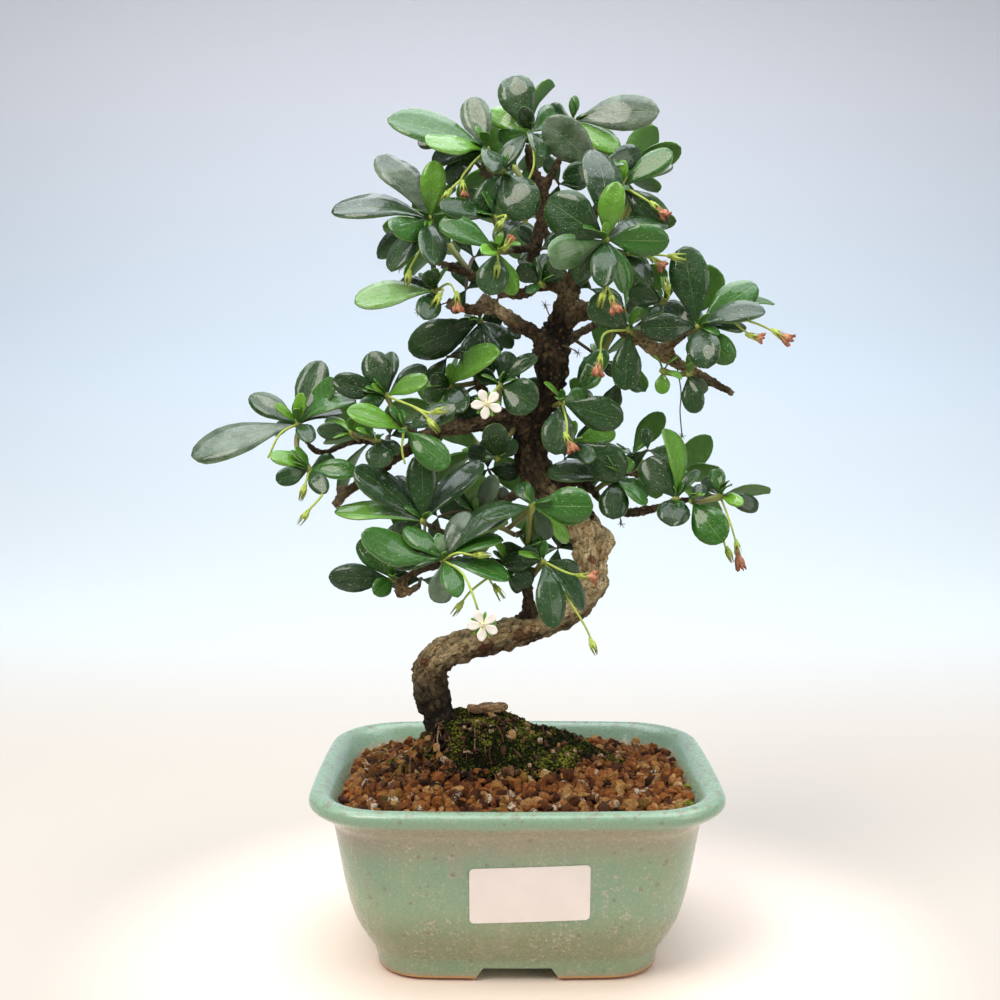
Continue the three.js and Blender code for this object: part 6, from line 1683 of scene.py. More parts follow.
def add_flower(pile, petal, middle, rng):
    """An open flower: five round petals, a pale tube, and stamens with their pollen."""
    places, faces = petal
    axis, sides = FLOWER_AXIS, basis(FLOWER_AXIS)
    s, t = places[:, 0], places[:, 1]
    for k in range(5):
        out = swing(*sides, FLOWER_TURN + k * FIFTH + rng.uniform(-0.08, 0.08))
        reach = 5.6 * rng.uniform(0.93, 1.0)
        rise = 0.8 * s - 0.9 * s ** 2 * rng.uniform(0.3, 1.1) + 1.6 * t ** 2 + 0.2 * np.sin(6 * s + k)
        shape = middle + out * (0.4 + reach * s)[:, None] + np.cross(axis, out) * (t * 4.4)[:, None]
        shape = shape + axis * (rise + places[:, 2] * 4 - 0.2 + 0.05 * k)[:, None]
        pile.add(shape, faces, uv=np.column_stack([s, t + 0.5]), pollen=0.0)
    foot = [middle - axis * 2.6, middle - axis * 1.2, middle + axis * 0.35]
    skin, quads, uv = tube(foot, [0.55, 0.7, 1.0], 8, 3)
    pile.add(skin, quads, uv=np.column_stack([uv[:, 1] * 0, uv[:, 0]]), pollen=0.25)
    for k in range(5):
        out = swing(*sides, FLOWER_TURN + 0.6 + k * FIFTH)
        end = middle + out * 1.3 + axis * 2.0
        line = [middle + axis * 0.2, middle + out * 0.8 + axis * 1.3, end]
        head = [end - out * 0.3, end, end + out * 0.35]
        for skin, quads, uv, pollen in (
                (*tube(line, [0.14, 0.12, 0.12], 4, 2), 0.0), (*tube(head, [0.16, 0.3, 0.16], 5, 1), 1.0)):
            pile.add(skin, quads, uv=uv * 0 + 0.6, pollen=pollen)


# Rings of a wilted corolla: (share of its length, radius in millimetres, how deep its pleats are)
WILTED_RINGS = [
    (0.0, 0.55, 0.0), (0.16, 0.75, 0.1), (0.34, 0.95, 0.2), (0.5, 1.3, 0.35), (0.64, 1.6, 0.55),
    (0.78, 1.5, 0.75), (0.9, 1.7, 0.85), (1.0, 1.2, 1.0),
]


def add_wilted(pile, foot, tip, rng):
    """A shrivelled corolla: a twisted, pleated trumpet that ends in ragged lobes."""
    axis = tip - foot
    length = np.linalg.norm(axis)
    axis = axis / length
    length *= 0.98
    across, beside = basis(axis)
    sides = 20
    wide = min(1.15, length / 3.4) * rng.uniform(0.85, 1.1)
    bend = (across * rng.uniform(-1, 1) + beside * rng.uniform(-1, 1)) * 0.25
    rings = []
    for share, radius, pleat in WILTED_RINGS:
        for k in range(sides):
            turn = 2 * math.pi * k / sides + 1.5 * share
            lobe = math.cos(5 * turn)
            r = radius * wide * (1 + pleat * (0.42 * lobe + rng.uniform(-0.34, 0.34)))
            ragged = share + pleat * (0.16 * lobe + 0.12 * rng.uniform(-1, 1))
            place = foot + axis * (length * min(ragged, 1.12)) + bend * math.sin(3 * share)
            rings.append(place + swing(across, beside, turn) * r)
    heart = foot + axis * length * 0.72
    rings += [heart + (one - heart) * 0.5 for one in rings[-sides:]]
    rings.append(heart)
    faces = walls(len(WILTED_RINGS) + 1, sides)
    faces.append(tuple(range(sides))[::-1])
    last = len(WILTED_RINGS) * sides
    faces.extend((last + k, last + (k + 1) % sides, last + sides) for k in range(sides))
    rings = np.array(rings)
    pile.add(rings, faces, along=np.clip(((rings - foot) @ axis) / length, 0, 1))


# ---- Wood ---------------------------------------------------------------------------------------

# Where the bark changes along the trunk: (place on the trunk's line, age, algae, rust)
TRUNK_BARK = np.array([
    (0.0, 1.0, 1.0, 0.0), (3.2, 1.0, 0.85, 0.0), (4.2, 0.8, 0.5, 0.05), (5.3, 0.4, 0.2, 0.1),
    (6.5, 0.1, 0.05, 0.1), (9.0, 0.0, 0.0, 0.1), (10.0, 0.0, 0.0, 0.1), (13.0, 0.05, 0.0, 0.1),
    (14.5, 0.1, 0.1, 0.1), (16.5, 0.8, 0.2, 0.1), (18.0, 1.0, 0.2, 0.1), (27.0, 1.0, 0.05, 0.2),
])
# Where the branches' bark is pale, in the view: (across, down, depth, radius in millimetres)
PALE_BARK = [
    (338, 500, -6, 7), (405, 590, -6, 4), (640, 339, -8, 7), (662, 353, -8, 8), (690, 368, -7, 5),
    (566, 300, 0, 5), (500, 310, -6, 5), (552, 440, 2, 4),
]
# Rusty patches on the trunk, in the view: (across, down, depth, radius in millimetres)
RUST_SPOTS = [
    (485, 650, -13, 4.0), (522, 636, -14, 4.5), (424, 663, -8, 2.5), (466, 648, -13, 1.6), (592, 560, -6, 2.0),
]
# Knobs on the trunk, in the view: (across, down, depth, radius and height in millimetres)
KNOBS = [
    (612, 541, 4, 5.5, 2.6), (602, 528, -6, 5.0, 1.4), (452, 652, -10, 5.0, 1.3), (560, 612, -12, 4.0, 1.2),
    (518, 634, -15, 4.0, 0.9), (424, 690, -6, 5.0, 1.2), (545, 362, -8, 6.0, 1.3), (565, 500, 0, 5.0, 1.3),
    (560, 470, -2, 5.0, 1.6), (598, 585, -4, 4.0, 1.1), (536, 400, -4, 5.0, 1.0), (474, 640, -13, 4.0, 0.8),
    (585, 530, -2, 4.0, 0.8),
]


def limb_lines():
    """Each limb's smooth line, its radius along it and its places on it, all in millimetres."""
    limbs = []
    for points in [TRUNK, *BRANCHES, *ROOTS]:
        line, places = smooth_line([seen(*row[:3]) for row in points], 6)
        radii = [row[3] * mm_per_pixel(row[2]) for row in points]
        limbs.append((line, np.interp(places, np.arange(len(points)), radii), places))
    return limbs


def model_wood(limbs):
    """Round limbs along their lines, grown together into one skin."""
    made = []
    for line, radius, _ in limbs:
        bpy.ops.curve.primitive_nurbs_path_add(location=(0, 0, 0))
        limb = name_new("limb")
        limb.data.splines.clear()
        spline = limb.data.splines.new("POLY")
        spline.points.add(len(line) - 1)
        for point, place, r in zip(spline.points, in_frame(line), radius):
            point.co = (*place, 1.0)
            point.radius = r
        limb.data.bevel_depth = MM
        limb.data.bevel_resolution = 4
        limb.data.use_fill_caps = True
        make_active(limb)
        bpy.ops.object.convert(target="MESH")
        made.append(bpy.context.active_object)
    start_clean()
    for limb in made:
        limb.select_set(True)
    bpy.context.view_layer.objects.active = made[0]
    bpy.ops.object.join()
    wood = name_new("wood_bark")
    apply_modifier(wood, "REMESH", mode="VOXEL", voxel_size=sizes().bark_grid, use_smooth_shade=True)
    apply_modifier(wood, "SMOOTH", factor=0.5, iterations=3)
    return settle(wood)


def spot(skin, across, down, depth, radius):
    """1 at a place of the view and falling off round it."""
    apart = np.linalg.norm(skin - seen(across, down, depth), axis=1)
    return np.exp(-((apart / radius) ** 2))


def carve_bark(wood, limbs):
    """Gives the skin its relief, and its corners the direction of the grain and the bark's age."""
    lines, radii, places = (np.concatenate(column) for column in zip(*limbs))
    tangents = units(np.concatenate([np.gradient(line, axis=0) for line, _, _ in limbs]))
    owners = np.concatenate([np.full(len(line), number) for number, (line, _, _) in enumerate(limbs)])
    steps = [np.linalg.norm(np.diff(line, axis=0), axis=1) for line, _, _ in limbs]
    reaches = np.concatenate([np.concatenate([[0], np.cumsum(step)]) + 40.0 * number
                              for number, step in enumerate(steps)])
    tree = look_up(lines)
    skin = (corners(wood) - [MIDDLE_X, MIDDLE_Y, 0]) / MM
    nearest = np.array([
        min(tree.find_n(corner, 4), key=lambda found: found[2] / radii[found[1]])[1] for corner in skin])
    away, tangent = skin - lines[nearest], tangents[nearest]
    ahead = (away * tangent).sum(1)
    away = away - tangent * ahead[:, None]
    across = units(np.cross(tangent, [0.15, -0.3, 1.0]))
    beside = np.cross(tangent, across)
    grain = np.column_stack([(away * across).sum(1), (away * beside).sum(1), reaches[nearest] + ahead])
    normals = corners(wood, "normal")
    size = np.clip((radii[nearest] - 1.2) / 5.5, 0.1, 1.0)
    relief = np.empty(len(skin))
    pits = np.empty(len(skin))
    for i, (x, y, z) in enumerate(grain):
        s = 0.42 / (0.45 + 0.55 * size[i])
        plates = min(1.0, 2.2 * noise((x * s, y * s, z * s * 0.4), noise_basis="VORONOI_F2F1"))
        fine = noise((x * s * 2.2, y * s * 2.2, z * s * 1.1 + 9))
        broad = noise((x * 0.2, y * 0.2, z * 0.16 + 31))
        pits[i] = 0.5 * plates + 0.6 * fine
        relief[i] = 0.55 * (plates - 0.6) + 0.5 * fine + 1.6 * broad
    skin += normals * (relief * (0.42 + 0.58 * size) * 0.9)[:, None]
    for *place, radius, height in KNOBS:
        skin += normals * (height * spot(skin, *place, radius))[:, None]
    set_corners(wood, in_frame(skin))
    trunk = owners[nearest] == 0
    age, algae, rust = (
        np.where(trunk, np.interp(places[nearest], TRUNK_BARK[:, 0], TRUNK_BARK[:, column]), elsewhere)
        for column, elsewhere in ((1, 0.9), (2, 0.0), (3, 0.2)))
    for place in PALE_BARK:
        age = age * (1 - 0.8 * spot(skin, *place))
    # Darker near the soil, and painted shade on the trunk's downward faces
    algae = np.maximum(algae, np.clip((96 - skin[:, 2]) / 12, 0, 0.9))
    algae = np.maximum(algae, np.clip(-normals[:, 2] * 1.5, 0, 0.8) * trunk)
    for place in RUST_SPOTS:
        rust = np.maximum(rust, 1.6 * spot(skin, *place))
    cut = np.zeros(len(skin))
    for line, radius, _ in limbs[1:1 + len(BRANCHES)]:
        apart = np.linalg.norm(skin - line[-1], axis=1)
        cut = np.maximum(cut, np.clip(1.6 - apart / (1.3 * radius[-1]), 0, 0.8))
    ridge = np.argsort(np.argsort(pits)) / len(pits)
    for name, values in (("age", age), ("algae", algae), ("rust", rust), ("ridge", ridge), ("cut", cut)):
        store(wood, name, values)
    wood.data.attributes.new("grain", "FLOAT_VECTOR", "POINT").data.foreach_set("vector", (grain * MM).ravel())


# ---- Settings -----------------------------------------------------------------------------------

def tint(name, code, description):
    """A colour setting."""
    return bpy.props.FloatVectorProperty(
        name=name, description=description, subtype="COLOR", size=4, min=0.0, max=1.0, default=colour(code))


class BonsaiLook(bpy.types.PropertyGroup):
    """The colours of every piece."""
    glaze_body: tint("Glaze", 0x849B7A, "Main colour of the pot's glaze")
    glaze_dark: tint("Glaze, deep", 0x78967A, "Where the glaze lies thick")
    glaze_low: tint("Glaze, low", 0x7A7E5A, "Towards the foot")
    glaze_thin: tint("Glaze, thin", 0x98907A, "Beige where the glaze ran thin")
    glaze_lip: tint("Glaze, lip", 0x7E9C82, "On the lip and inside")
    glaze_speck: tint("Glaze, specks", 0xBEAEA2, "Fine pale specks")
    glaze_brown: tint("Glaze, brown specks", 0x75573C, "Brown specks and worn spots")
    bare_clay: tint("Bare clay", 0xB98A5A, "Unglazed line under the foot")
    paper: tint("Label", 0xE3DBD8, "The blank label")
    paper_pale: tint("Label, pale", 0xE9E1DE, "The label's palest fibres")
    clay: tint("Clay", 0xA8662E, "Baked clay granules")
    clay_dark: tint("Clay, dark", 0x4A2612, "Darkest granules")
    clay_light: tint("Clay, light", 0xCA9A5E, "Lightest granules")
    crust: tint("Crust", 0xD2C4AE, "White crust on some granules")
    moss: tint("Moss", 0x46531A, "Moss")
    moss_dark: tint("Moss, dark", 0x191E08, "Moss in the hollows")
    moss_light: tint("Moss, light", 0x92933A, "Moss tips")
    earth: tint("Earth", 0x24160C, "Earth between the moss")
    bark_tan: tint("Bark, tan", 0xDAB27A, "Low part of the trunk")
    bark_olive: tint("Bark, weathered", 0x6A5C34, "Grey olive patches low down")
    bark_pale: tint("Bark, pale", 0xFFE8B6, "Plates that catch the light")
    bark_dark: tint("Bark, dark", 0x140F0A, "Upper trunk and branches")
    bark_crack: tint("Bark, cracks", 0x15100B, "Cracks")
    bark_rust: tint("Bark, rust", 0x7A3A22, "Rusty patches")
    bark_fleck: tint("Bark, flecks", 0x8C7250, "Ochre flecks")
    cut_wood: tint("Cut wood", 0xB4A085, "Pale cut ends")
    chip: tint("Chip", 0x7C5E40, "Dead bark")
    chip_pale: tint("Chip, pale", 0xB08E64, "Dry dead wood")
    litter: tint("Litter", 0x74503A, "Dry roots and dead leaves")
    litter_dark: tint("Litter, dark", 0x20140C, "Rotting litter")
    litter_pale: tint("Litter, pale", 0xB4967A, "Straw-pale litter")
    leaf_dark: tint("Leaf, old", 0x0E3308, "Old leaves")
    leaf_green: tint("Leaf, grown", 0x265E0D, "Grown leaves")
    leaf_young: tint("Leaf, young", 0x6EAA26, "Young leaves")
    leaf_under: tint("Leaf, underside", 0x4C7A30, "Undersides")
    leaf_vein: tint("Leaf, veins", 0x8DB056, "Midrib, veins and margin")
    leaf_frost: tint("Leaf, sheen", 0xB4C4B0, "Leaves that the light frosts over")
    leaf_dot: tint("Leaf, dots", 0xB9C6AE, "Fine dots")
    stalk: tint("Stalk", 0xB4C656, "Flower stalks and calyxes")
    twig: tint("Twig", 0x5D4A30, "Leafy twigs")
    petal: tint("Petal", 0xE8E1D6, "White petals")
    petal_heart: tint("Petal, heart", 0xE3E2B4, "The flower's heart")
    petal_line: tint("Petal, lines", 0xCFCBB4, "Faint lines along the petals")
    pollen: tint("Pollen", 0xC9B77A, "Stamens")
    wilted: tint("Wilted", 0xCE8460, "Wilted petals")
    wilted_pale: tint("Wilted, pale", 0xE3B48C, "Wilted petals at their foot")
    wilted_brick: tint("Wilted, brick", 0x7E3A26, "Folds of wilted petals")
    floor: tint("Floor", 0xECDCD0, "The floor and the backdrop")
    floor_open: tint("Floor, open", 0xBAB3AA, "The floor round the pot's soft shadow")
    floor_front: tint("Floor, front", 0xA0978D, "The floor towards the viewer")
    floor_far: tint("Floor, far", 0xCAD2D5, "The floor in the distance")
    haze: tint("Haze", 0xD0DCE6, "The foot of the backdrop")
    backdrop: tint("Backdrop", 0xEDEFF8, "The top of the backdrop")


class BonsaiSizes(bpy.types.PropertyGroup):
    """The sizes and amounts that a user would change."""
    granule: bpy.props.FloatProperty(
        name="Granule", description="Middle radius of a clay granule", default=2.0 * MM, min=MM, max=4 * MM,
        unit="LENGTH", precision=4)
    granule_gap: bpy.props.FloatProperty(
        name="Granule spacing", description="Distance between neighbouring granules", default=3.3 * MM,
        min=2 * MM, max=8 * MM, unit="LENGTH", precision=4)
    bark_grid: bpy.props.FloatProperty(
        name="Bark grid", description="Size of the wood's finest face", default=0.75 * MM, min=0.4 * MM,
        max=3 * MM, unit="LENGTH", precision=4)
    tufts: bpy.props.IntProperty(
        name="Moss tufts", description="How many tufts stand on the moss", default=8400, min=0, max=20000)
    small_leaves: bpy.props.IntProperty(
        name="Small leaves", description="Young leaves added in the heart of each rosette", default=3, min=0,
        max=8)
    light: bpy.props.FloatProperty(
        name="Light", description="Strength of the studio light", default=1.0, min=0.0, max=4.0,
        subtype="FACTOR")


def look():
    """The colours that the user set."""
    return bpy.context.scene.bonsai_look


def sizes():
    """The sizes and amounts that the user set."""
    return bpy.context.scene.bonsai_sizes


# ---- Operators ----------------------------------------------------------------------------------

class BONSAI_OT_pot(bpy.types.Operator):
    """Models the glazed pot: walls, lip, foot ring with its notches, and drain holes"""
    bl_idname = "bonsai.pot"
    bl_label = "Pot"

    def execute(self, context):
        start_clean()
        pot = model_pot()
        apply_modifier(pot, "SUBSURF", levels=2, render_levels=2)
        cut_from(pot, foot_notch(31, False))
        cut_from(pot, foot_notch(25, True))
        for aside in (-22 * MM, 22 * MM):
            bpy.ops.mesh.primitive_cylinder_add(
                vertices=40, radius=5 * MM, depth=200 * MM, location=(MIDDLE_X + aside, MIDDLE_Y, 0))
            cut_from(pot, name_new("drain"))
        pot.data.shade_smooth()
        make_active(pot)
        bpy.ops.object.shade_smooth_by_angle(angle=math.radians(42))
        hand_over(pot, [glaze_material(look())], "pot")
        return {"FINISHED"}


# Half the label's width and height, and its middle across the pot and up it, in millimetres
LABEL_SIZE = (21.5, 10.75)
LABEL_PLACE = (4.3, 37.3)
LABEL_TILT = math.radians(1.9)


class BONSAI_OT_label(bpy.types.Operator):
    """Models the blank paper label that lies on the front of the pot"""
    bl_idname = "bonsai.label"
    bl_label = "Blank label"

    def execute(self, context):
        start_clean()
        bpy.ops.mesh.primitive_plane_add(size=2, location=(0, 0, 0))
        label = name_new("label_blank")
        edit(label, "EDGE", "SELECT")
        bpy.ops.transform.resize(value=(LABEL_SIZE[0] * MM, LABEL_SIZE[1] * MM, 1))
        bpy.ops.mesh.bevel(offset=1.6 * MM, offset_type="OFFSET", segments=6, affect="VERTICES")
        bpy.ops.mesh.select_all(action="SELECT")
        extrude(0.25 * MM)
        face_outwards()
        mesh = bmesh.from_edit_mesh(label.data)
        for axis, count in ((0, 24), (1, 12)):
            normal = Vector((1 - axis, axis, 0))
            for k in range(1, count):
                at = normal * ((-1 + 2 * k / count) * LABEL_SIZE[axis] * MM)
                everything = mesh.verts[:] + mesh.edges[:] + mesh.faces[:]
                bmesh.ops.bisect_plane(mesh, geom=everything, plane_co=at, plane_no=normal)
        bmesh.update_edit_mesh(label.data)
        leave_edit()
        x, y, lift = (corners(label) / MM).T
        z = LABEL_PLACE[1] + y + x * math.sin(LABEL_TILT)
        places = in_frame(np.column_stack([LABEL_PLACE[0] + x, 0 * x - 200, z]))
        pot = bpy.data.objects["pot_glazed"]
        for place, over in zip(places, lift):
            _, front, _, _ = pot.ray_cast(Vector(place), Vector((0, 1, 0)))
            place[1] = front.y - (0.06 + over) * MM
        set_corners(label, places)
        make_active(label)
        bpy.ops.object.shade_smooth_by_angle(angle=math.radians(40))
        hand_over(label, [paper_material(look())], "label")
        return {"FINISHED"}


# How much closer the lines of granules lie than the granules within a line
LINE_GAP = 0.87


class BONSAI_OT_soil(bpy.types.Operator):
    """Fills the pot with a bed of clay and lays the granules on it"""
    bl_idname = "bonsai.soil"
    bl_label = "Clay granules"

    def execute(self, context):
        start_clean()
        rng = np.random.default_rng(11)
        pile = Pile()
        pile.add(*model_bed(), tone=0.0, crust=0.0)
        stones = [rough_stone(seed) for seed in range(8)]
        gap = sizes().granule_gap / MM
        middle = sizes().granule / MM
        lines = int(125 / (gap * LINE_GAP))
        places = [(layer, share, line, k) for layer, share in ((0, 1.0), (1, 0.42))
                  for line in range(-lines // 2, lines // 2 + 1) for k in range(-24, 25)]
        for layer, share, line, k in places:
            x = (k + 0.5 * (line % 2)) * gap + rng.uniform(-0.9, 0.9)
            y = line * gap * LINE_GAP + rng.uniform(-0.9, 0.9)
            grade = rng.choice([0.62, 0.8, 1.0, 1.22], p=[0.2, 0.32, 0.33, 0.15])
            size = middle * grade * rng.uniform(0.9, 1.1)
            if rng.uniform() > share or not inside_pot(x, y, size * 0.8) or on_moss(x, y) > 0.1:
                continue
            z = soil_level(x, y) - 0.5 - soil_sinks(x, y) + layer * 1.7 + rng.uniform(-0.4, 0.5)
            tone, crust = rng.uniform(), float(rng.uniform() < 0.07)
            lay_granule(pile, rng, stones, (x, y, z), size * 1.14, tone, crust)
        for across, down, pixels in PALE_GRANULES:
            lay_granule(pile, rng, stones, on_ground(across, down, 2.0), pixels * 0.19 * 1.1, 0.95, 0.9)
        add_litter(pile, rng, stones, LITTER_ON_SOIL, crust=0.0)
        materials = [granule_material(look()), dry_litter()]
        pile.build("soil_granules", materials, "soil").data.shade_flat()
        return {"FINISHED"}


class BONSAI_OT_moss(bpy.types.Operator):
    """Lays the moss cushion over the root hump, with its tufts"""
    bl_idname = "bonsai.moss"
    bl_label = "Moss"

    def execute(self, context):
        start_clean()
        rng = np.random.default_rng(23)
        pile = Pile()
        places, faces, bare = model_cushion()
        pile.add(places, faces, tone=0.05, earth=0.1 + 0.9 * bare)
        places, faces = model_tuft()
        grown = 0
        while grown < sizes().tufts:
            x, y = rng.uniform(-52, 46), rng.uniform(-31, 27)
            share = 1 - on_moss(x, y)
            level = soil_level(x, y)
            slope = math.hypot(soil_level(x + 1, y) - level, soil_level(x, y + 1) - level)
            if share > 1 or rng.uniform() > 0.3 + 0.5 * slope:
                continue
            grown += 1
            patch = noise((x * 0.12, y * 0.12, 5))
            if patch < -0.2 and rng.uniform() < 0.5 and y > -8:
                continue
            place = np.array([x, y, level + moss_cover(x, y, share)])
            lean = unit(np.array([rng.normal(0, 0.45), rng.normal(0, 0.45) - 0.5 * slope * (y < 0), 1.0]))
            size = rng.uniform(0.4, 0.8) * (1.0 + 0.4 * patch)
            shaped = place_on(places, place, lean, size, rng.uniform(0, 6))
            # Painted shade: tufts in the hollow under the moss's front edge are made darker; tufts on the front
            # face are made a little lighter
            shade = 1.6 * math.exp(-(((share - 0.86) / 0.07) ** 2)) * (y < -6) * (x < 12)
            front = np.clip((-6 - y) / 5, 0, 1) - shade
            light = np.clip(0.2 + 1.2 * patch + rng.uniform(-0.55, 0.75) + 0.3 * front, 0, 1)
            pile.add(shaped, faces, tone=light, earth=0.0)
        for turn in range(7):
            sprout = on_ground(687 + 2.5 * math.cos(turn), 790, 2.0) + [0, 0, 0.6]
            lean = unit(np.array([math.cos(turn * 2.4), math.sin(turn * 2.4), 1.2]))
            pile.add(place_on(places, sprout, lean, 1.7, turn), faces, tone=1.0, earth=0.0)
        stones = [rough_stone(seed) for seed in range(4)]
        add_litter(pile, rng, stones, LITTER_ON_MOSS, earth=0.0)
        pile.build("moss_cushion", [moss_material(look()), dry_litter()], "moss")
        return {"FINISHED"}


class BONSAI_OT_chip(bpy.types.Operator):
    """Models the flat chip of bark on top of the hump"""
    bl_idname = "bonsai.chip"
    bl_label = "Bark chip"

    def execute(self, context):
        start_clean()
        middle = seen(487, 708, -3)
        bpy.ops.mesh.primitive_cylinder_add(
            vertices=18, radius=7.2 * MM, depth=2.6 * MM, location=in_frame(middle))
        chip = name_new("bark_chip_flat")
        edit(chip)
        select(chip, "faces", lambda face: abs(face.normal.z) > 0.9)
        bpy.ops.mesh.inset(thickness=1.5 * MM)
        bpy.ops.mesh.inset(thickness=2.0 * MM)
        leave_edit()
        settle(chip)
        apply_modifier(chip, "SUBSURF", levels=3, render_levels=3)
        places = (corners(chip) - in_frame(middle)) / MM
        for place in places:
            turn = math.atan2(place[1], place[0])
            edge = 1 + 0.14 * math.sin(2 * turn + 1) + 0.09 * math.sin(5 * turn)
            edge += 0.05 * math.sin(9 * turn + 2)
            place *= [edge, edge * 0.72, 1]
            place[2] += 0.05 * place[0] + 0.6 * noise((place[0] * 0.25, place[1] * 0.25, 1))
            place[2] += 0.35 * noise((place[0] * 0.3, place[1] * 1.6, place[2]))
        set_corners(chip, in_frame(places + middle))
        chip.data.shade_smooth()
        hand_over(chip, [chip_material(look())], "bark_chip")
        return {"FINISHED"}


class BONSAI_OT_wood(bpy.types.Operator):
    """Grows trunk, roots and branches into one skin and carves the bark"""
    bl_idname = "bonsai.wood"
    bl_label = "Trunk and branches"

    def execute(self, context):
        start_clean()
        limbs = limb_lines()
        wood = model_wood(limbs)
        carve_bark(wood, limbs)
        wood.data.shade_smooth()
        hand_over(wood, [bark_material(look())], "wood")
        return {"FINISHED"}


class BONSAI_OT_leaves(bpy.types.Operator):
    """Bends the leaves into place, shoot by shoot, with their twigs, stalks and calyxes"""
    bl_idname = "bonsai.leaves"
    bl_label = "Leaves and stalks"

    def execute(self, context):
        start_clean()
        shape = model_leaf()
        cup = model_calyx()
        materials = [leaf_material(look()), stalk_material(look())]
        grown = grown_leaves()
        lines = np.concatenate([line for line, _, _ in limb_lines()])
        for number, (name, (twigs, rosettes)) in enumerate(SPRAYS.items()):
            rng = np.random.default_rng(300 + number)
            pile = Pile()
            for leaf in grown[name]:
                place_leaf(pile, shape, leaf, rng)
            for at, _, _ in rosettes:
                add_young_leaves(pile, shape, at, rng)
            for owner, line in DRIED:
                if owner == name:
                    add_dried(pile, line, rng)
            for shoot in INNER_SHOOTS:
                if nearest_spray(shoot) == name:
                    add_inner_shoot(pile, shape, shoot, lines, rng)
            for line in twigs:
                add_twig(pile, line)
            for owner, kind, line in STALKS:
                if owner == name:
                    add_stalk(pile, shape, cup, rosettes, kind, line, rng)
            pile.build("leaves_" + name, materials, "spray_" + name, uv_name="Blade")
        return {"FINISHED"}


class BONSAI_OT_flowers(bpy.types.Operator):
    """Opens the white flowers"""
    bl_idname = "bonsai.flowers"
    bl_label = "White flowers"

    def execute(self, context):
        start_clean()
        petal = model_petal()
        material = petal_material(look())
        for number, (owner, kind, line) in enumerate(STALKS):
            if kind == "white":
                pile = Pile()
                add_flower(pile, petal, seen(*line[-1][:3]), np.random.default_rng(40 + number))
                pile.build("petals_" + owner, [material], "flower_" + owner, uv_name="Petal")
        return {"FINISHED"}


class BONSAI_OT_wilted(bpy.types.Operator):
    """Hangs the wilted corollas in their calyxes"""
    bl_idname = "bonsai.wilted"
    bl_label = "Wilted flowers"

    def execute(self, context):
        start_clean()
        material = wilted_material(look())
        flowers = [(owner, kind, line) for owner, kind, line in STALKS if kind in ("wilted", "white")]
        for number, (owner, kind, line) in enumerate(flowers):
            if kind == "wilted":
                pile = Pile()
                foot, tip = seen(*line[-2]), seen(*line[-1])
                add_wilted(pile, foot + unit(tip - foot) * 0.5, tip, np.random.default_rng(70 + number))
                node = f"wilted_{number}_{owner}"
                pile.build("corolla_" + node, [material], node)
        return {"FINISHED"}


# The lamps: (name, place, width, power in watts, colour)
LAMPS = (
    ("Key softbox", (-0.7, -0.8, 1.35), 1.0, 23.0, 0xFFF8EE),
    ("Sky softbox", (0.1, 0.2, 1.5), 2.2, 45.0, 0xF2F7FF),
    ("Fill softbox", (1.1, -0.7, 0.5), 1.0, 6.0, 0xFFFAF2),
)


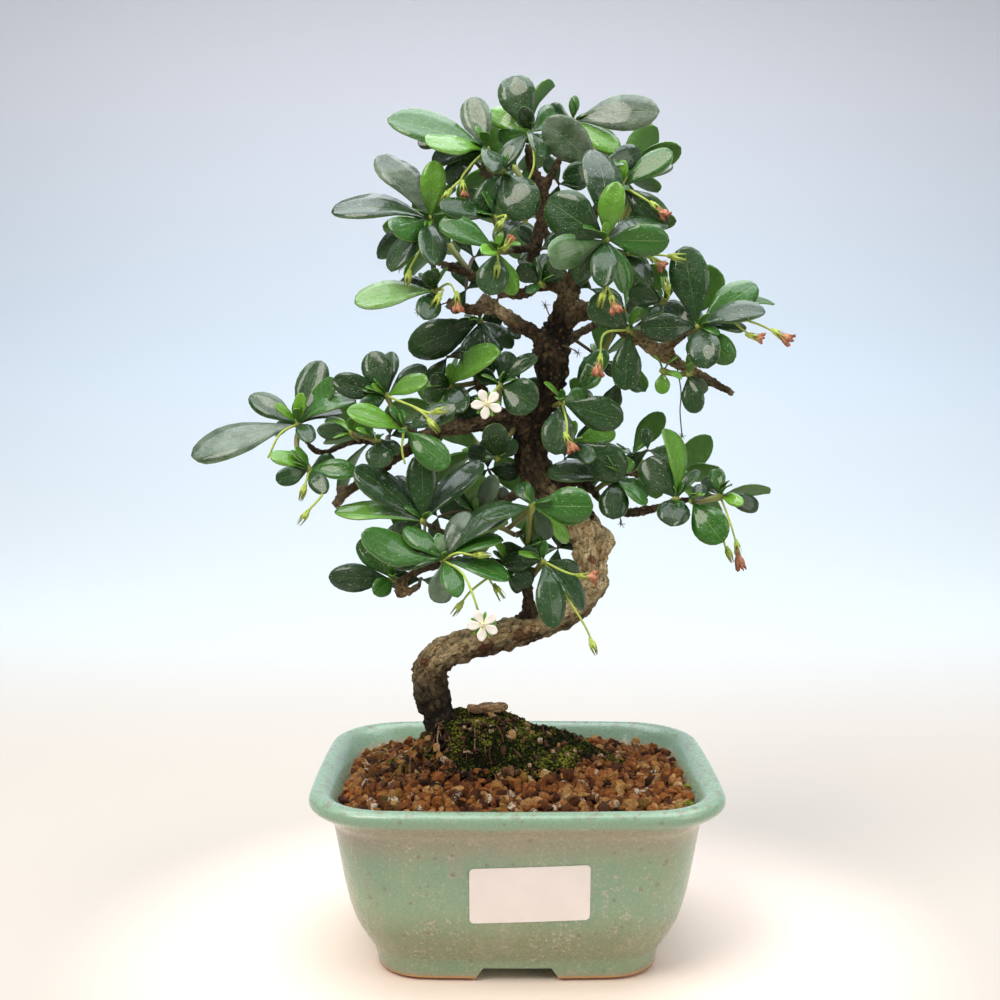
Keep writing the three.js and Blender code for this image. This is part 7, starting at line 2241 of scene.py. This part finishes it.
class BONSAI_OT_stage(bpy.types.Operator):
    """Sets the floor, the soft light and the camera"""
    bl_idname = "bonsai.stage"
    bl_label = "Floor, light and camera"

    def execute(self, context):
        start_clean()
        self.lay_floor()
        self.light_room()
        self.place_camera()
        return {"FINISHED"}

    def lay_floor(self):
        """A floor whose back edge is drawn up and rounded into a backdrop."""
        bpy.ops.mesh.primitive_plane_add(size=2, location=(MIDDLE_X, 0, -0.0002))
        floor = name_new("floor_pale")
        edit(floor, "EDGE", "SELECT")
        bpy.ops.transform.resize(value=(4.0, 2.2, 1), center_override=(MIDDLE_X, 0, 0))
        select(floor, "edges", lambda edge: all(corner.co.y > 1.5 for corner in edge.verts))
        extrude(4.0)
        select(floor, "edges", lambda edge: all(c.co.y > 2.19 and c.co.z < 0.1 for c in edge.verts))
        bpy.ops.mesh.bevel(offset=1.4, offset_type="OFFSET", segments=16, affect="EDGES")
        leave_edit()
        settle(floor)
        floor.data.shade_smooth()
        floor.data.materials.append(floor_material(look()))

    def light_room(self):
        """Three soft lamps and a pale room."""
        world = bpy.data.worlds.new("Soft daylight")
        world.use_nodes = True
        bpy.context.scene.world = world
        back = world.node_tree.nodes["Background"].inputs
        back["Color"].default_value = colour(0xF6F9FC)
        back["Strength"].default_value = 0.25 * sizes().light
        bpy.context.scene.view_settings.view_transform = "Standard"
        target = Vector((MIDDLE_X, MIDDLE_Y, 0.16))
        for name, place, size, power, code in LAMPS:
            bpy.ops.object.light_add(type="AREA", location=place)
            lamp = name_new(name)
            lamp.data.shape = "DISK"
            lamp.data.size = size
            lamp.data.energy = power * sizes().light
            lamp.data.color = colour(code)[:3]
            lamp.rotation_euler = (target - Vector(place)).to_track_quat("-Z", "Y").to_euler()

    def place_camera(self):
        """The camera of the front view."""
        bpy.ops.object.camera_add(location=in_frame(VIEW))
        camera = name_new("Front view")
        camera.data.sensor_width = 36.0
        camera.data.lens = 36.0 * VIEW_FOCAL / 1000
        camera.data.clip_start = 0.02
        camera.data.clip_end = 30.0
        camera.rotation_euler = (math.pi / 2 - VIEW_PITCH, 0, 0)
        bpy.context.scene.camera = camera


class BONSAI_PT_panel(bpy.types.Panel):
    """The steps that dress the bonsai, in order, with their settings."""
    bl_label = "Potted bonsai"
    bl_idname = "BONSAI_PT_panel"
    bl_space_type = "VIEW_3D"
    bl_region_type = "UI"
    bl_category = "Bonsai"

    def draw(self, context):
        for step in STEPS:
            self.layout.operator(step.bl_idname)
        for group in (context.scene.bonsai_sizes, context.scene.bonsai_look):
            box = self.layout.box()
            for key in group.__annotations__:
                box.prop(group, key)


STEPS = (
    BONSAI_OT_stage, BONSAI_OT_pot, BONSAI_OT_label, BONSAI_OT_soil, BONSAI_OT_moss, BONSAI_OT_chip,
    BONSAI_OT_wood, BONSAI_OT_leaves, BONSAI_OT_flowers, BONSAI_OT_wilted,
)
CLASSES = (BonsaiLook, BonsaiSizes, *STEPS, BONSAI_PT_panel)


def register():
    """Adds the settings, the operators and the panel."""
    for one in CLASSES:
        bpy.utils.register_class(one)
    bpy.types.Scene.bonsai_look = bpy.props.PointerProperty(type=BonsaiLook)
    bpy.types.Scene.bonsai_sizes = bpy.props.PointerProperty(type=BonsaiSizes)


def unregister():
    """Takes them away again."""
    del bpy.types.Scene.bonsai_sizes
    del bpy.types.Scene.bonsai_look
    for one in reversed(CLASSES):
        bpy.utils.unregister_class(one)


def main():
    """Runs every step."""
    register()
    for step in STEPS:
        _, name = step.bl_idname.split(".")
        getattr(bpy.ops.bonsai, name)()


if __name__ == "__main__":
    main()
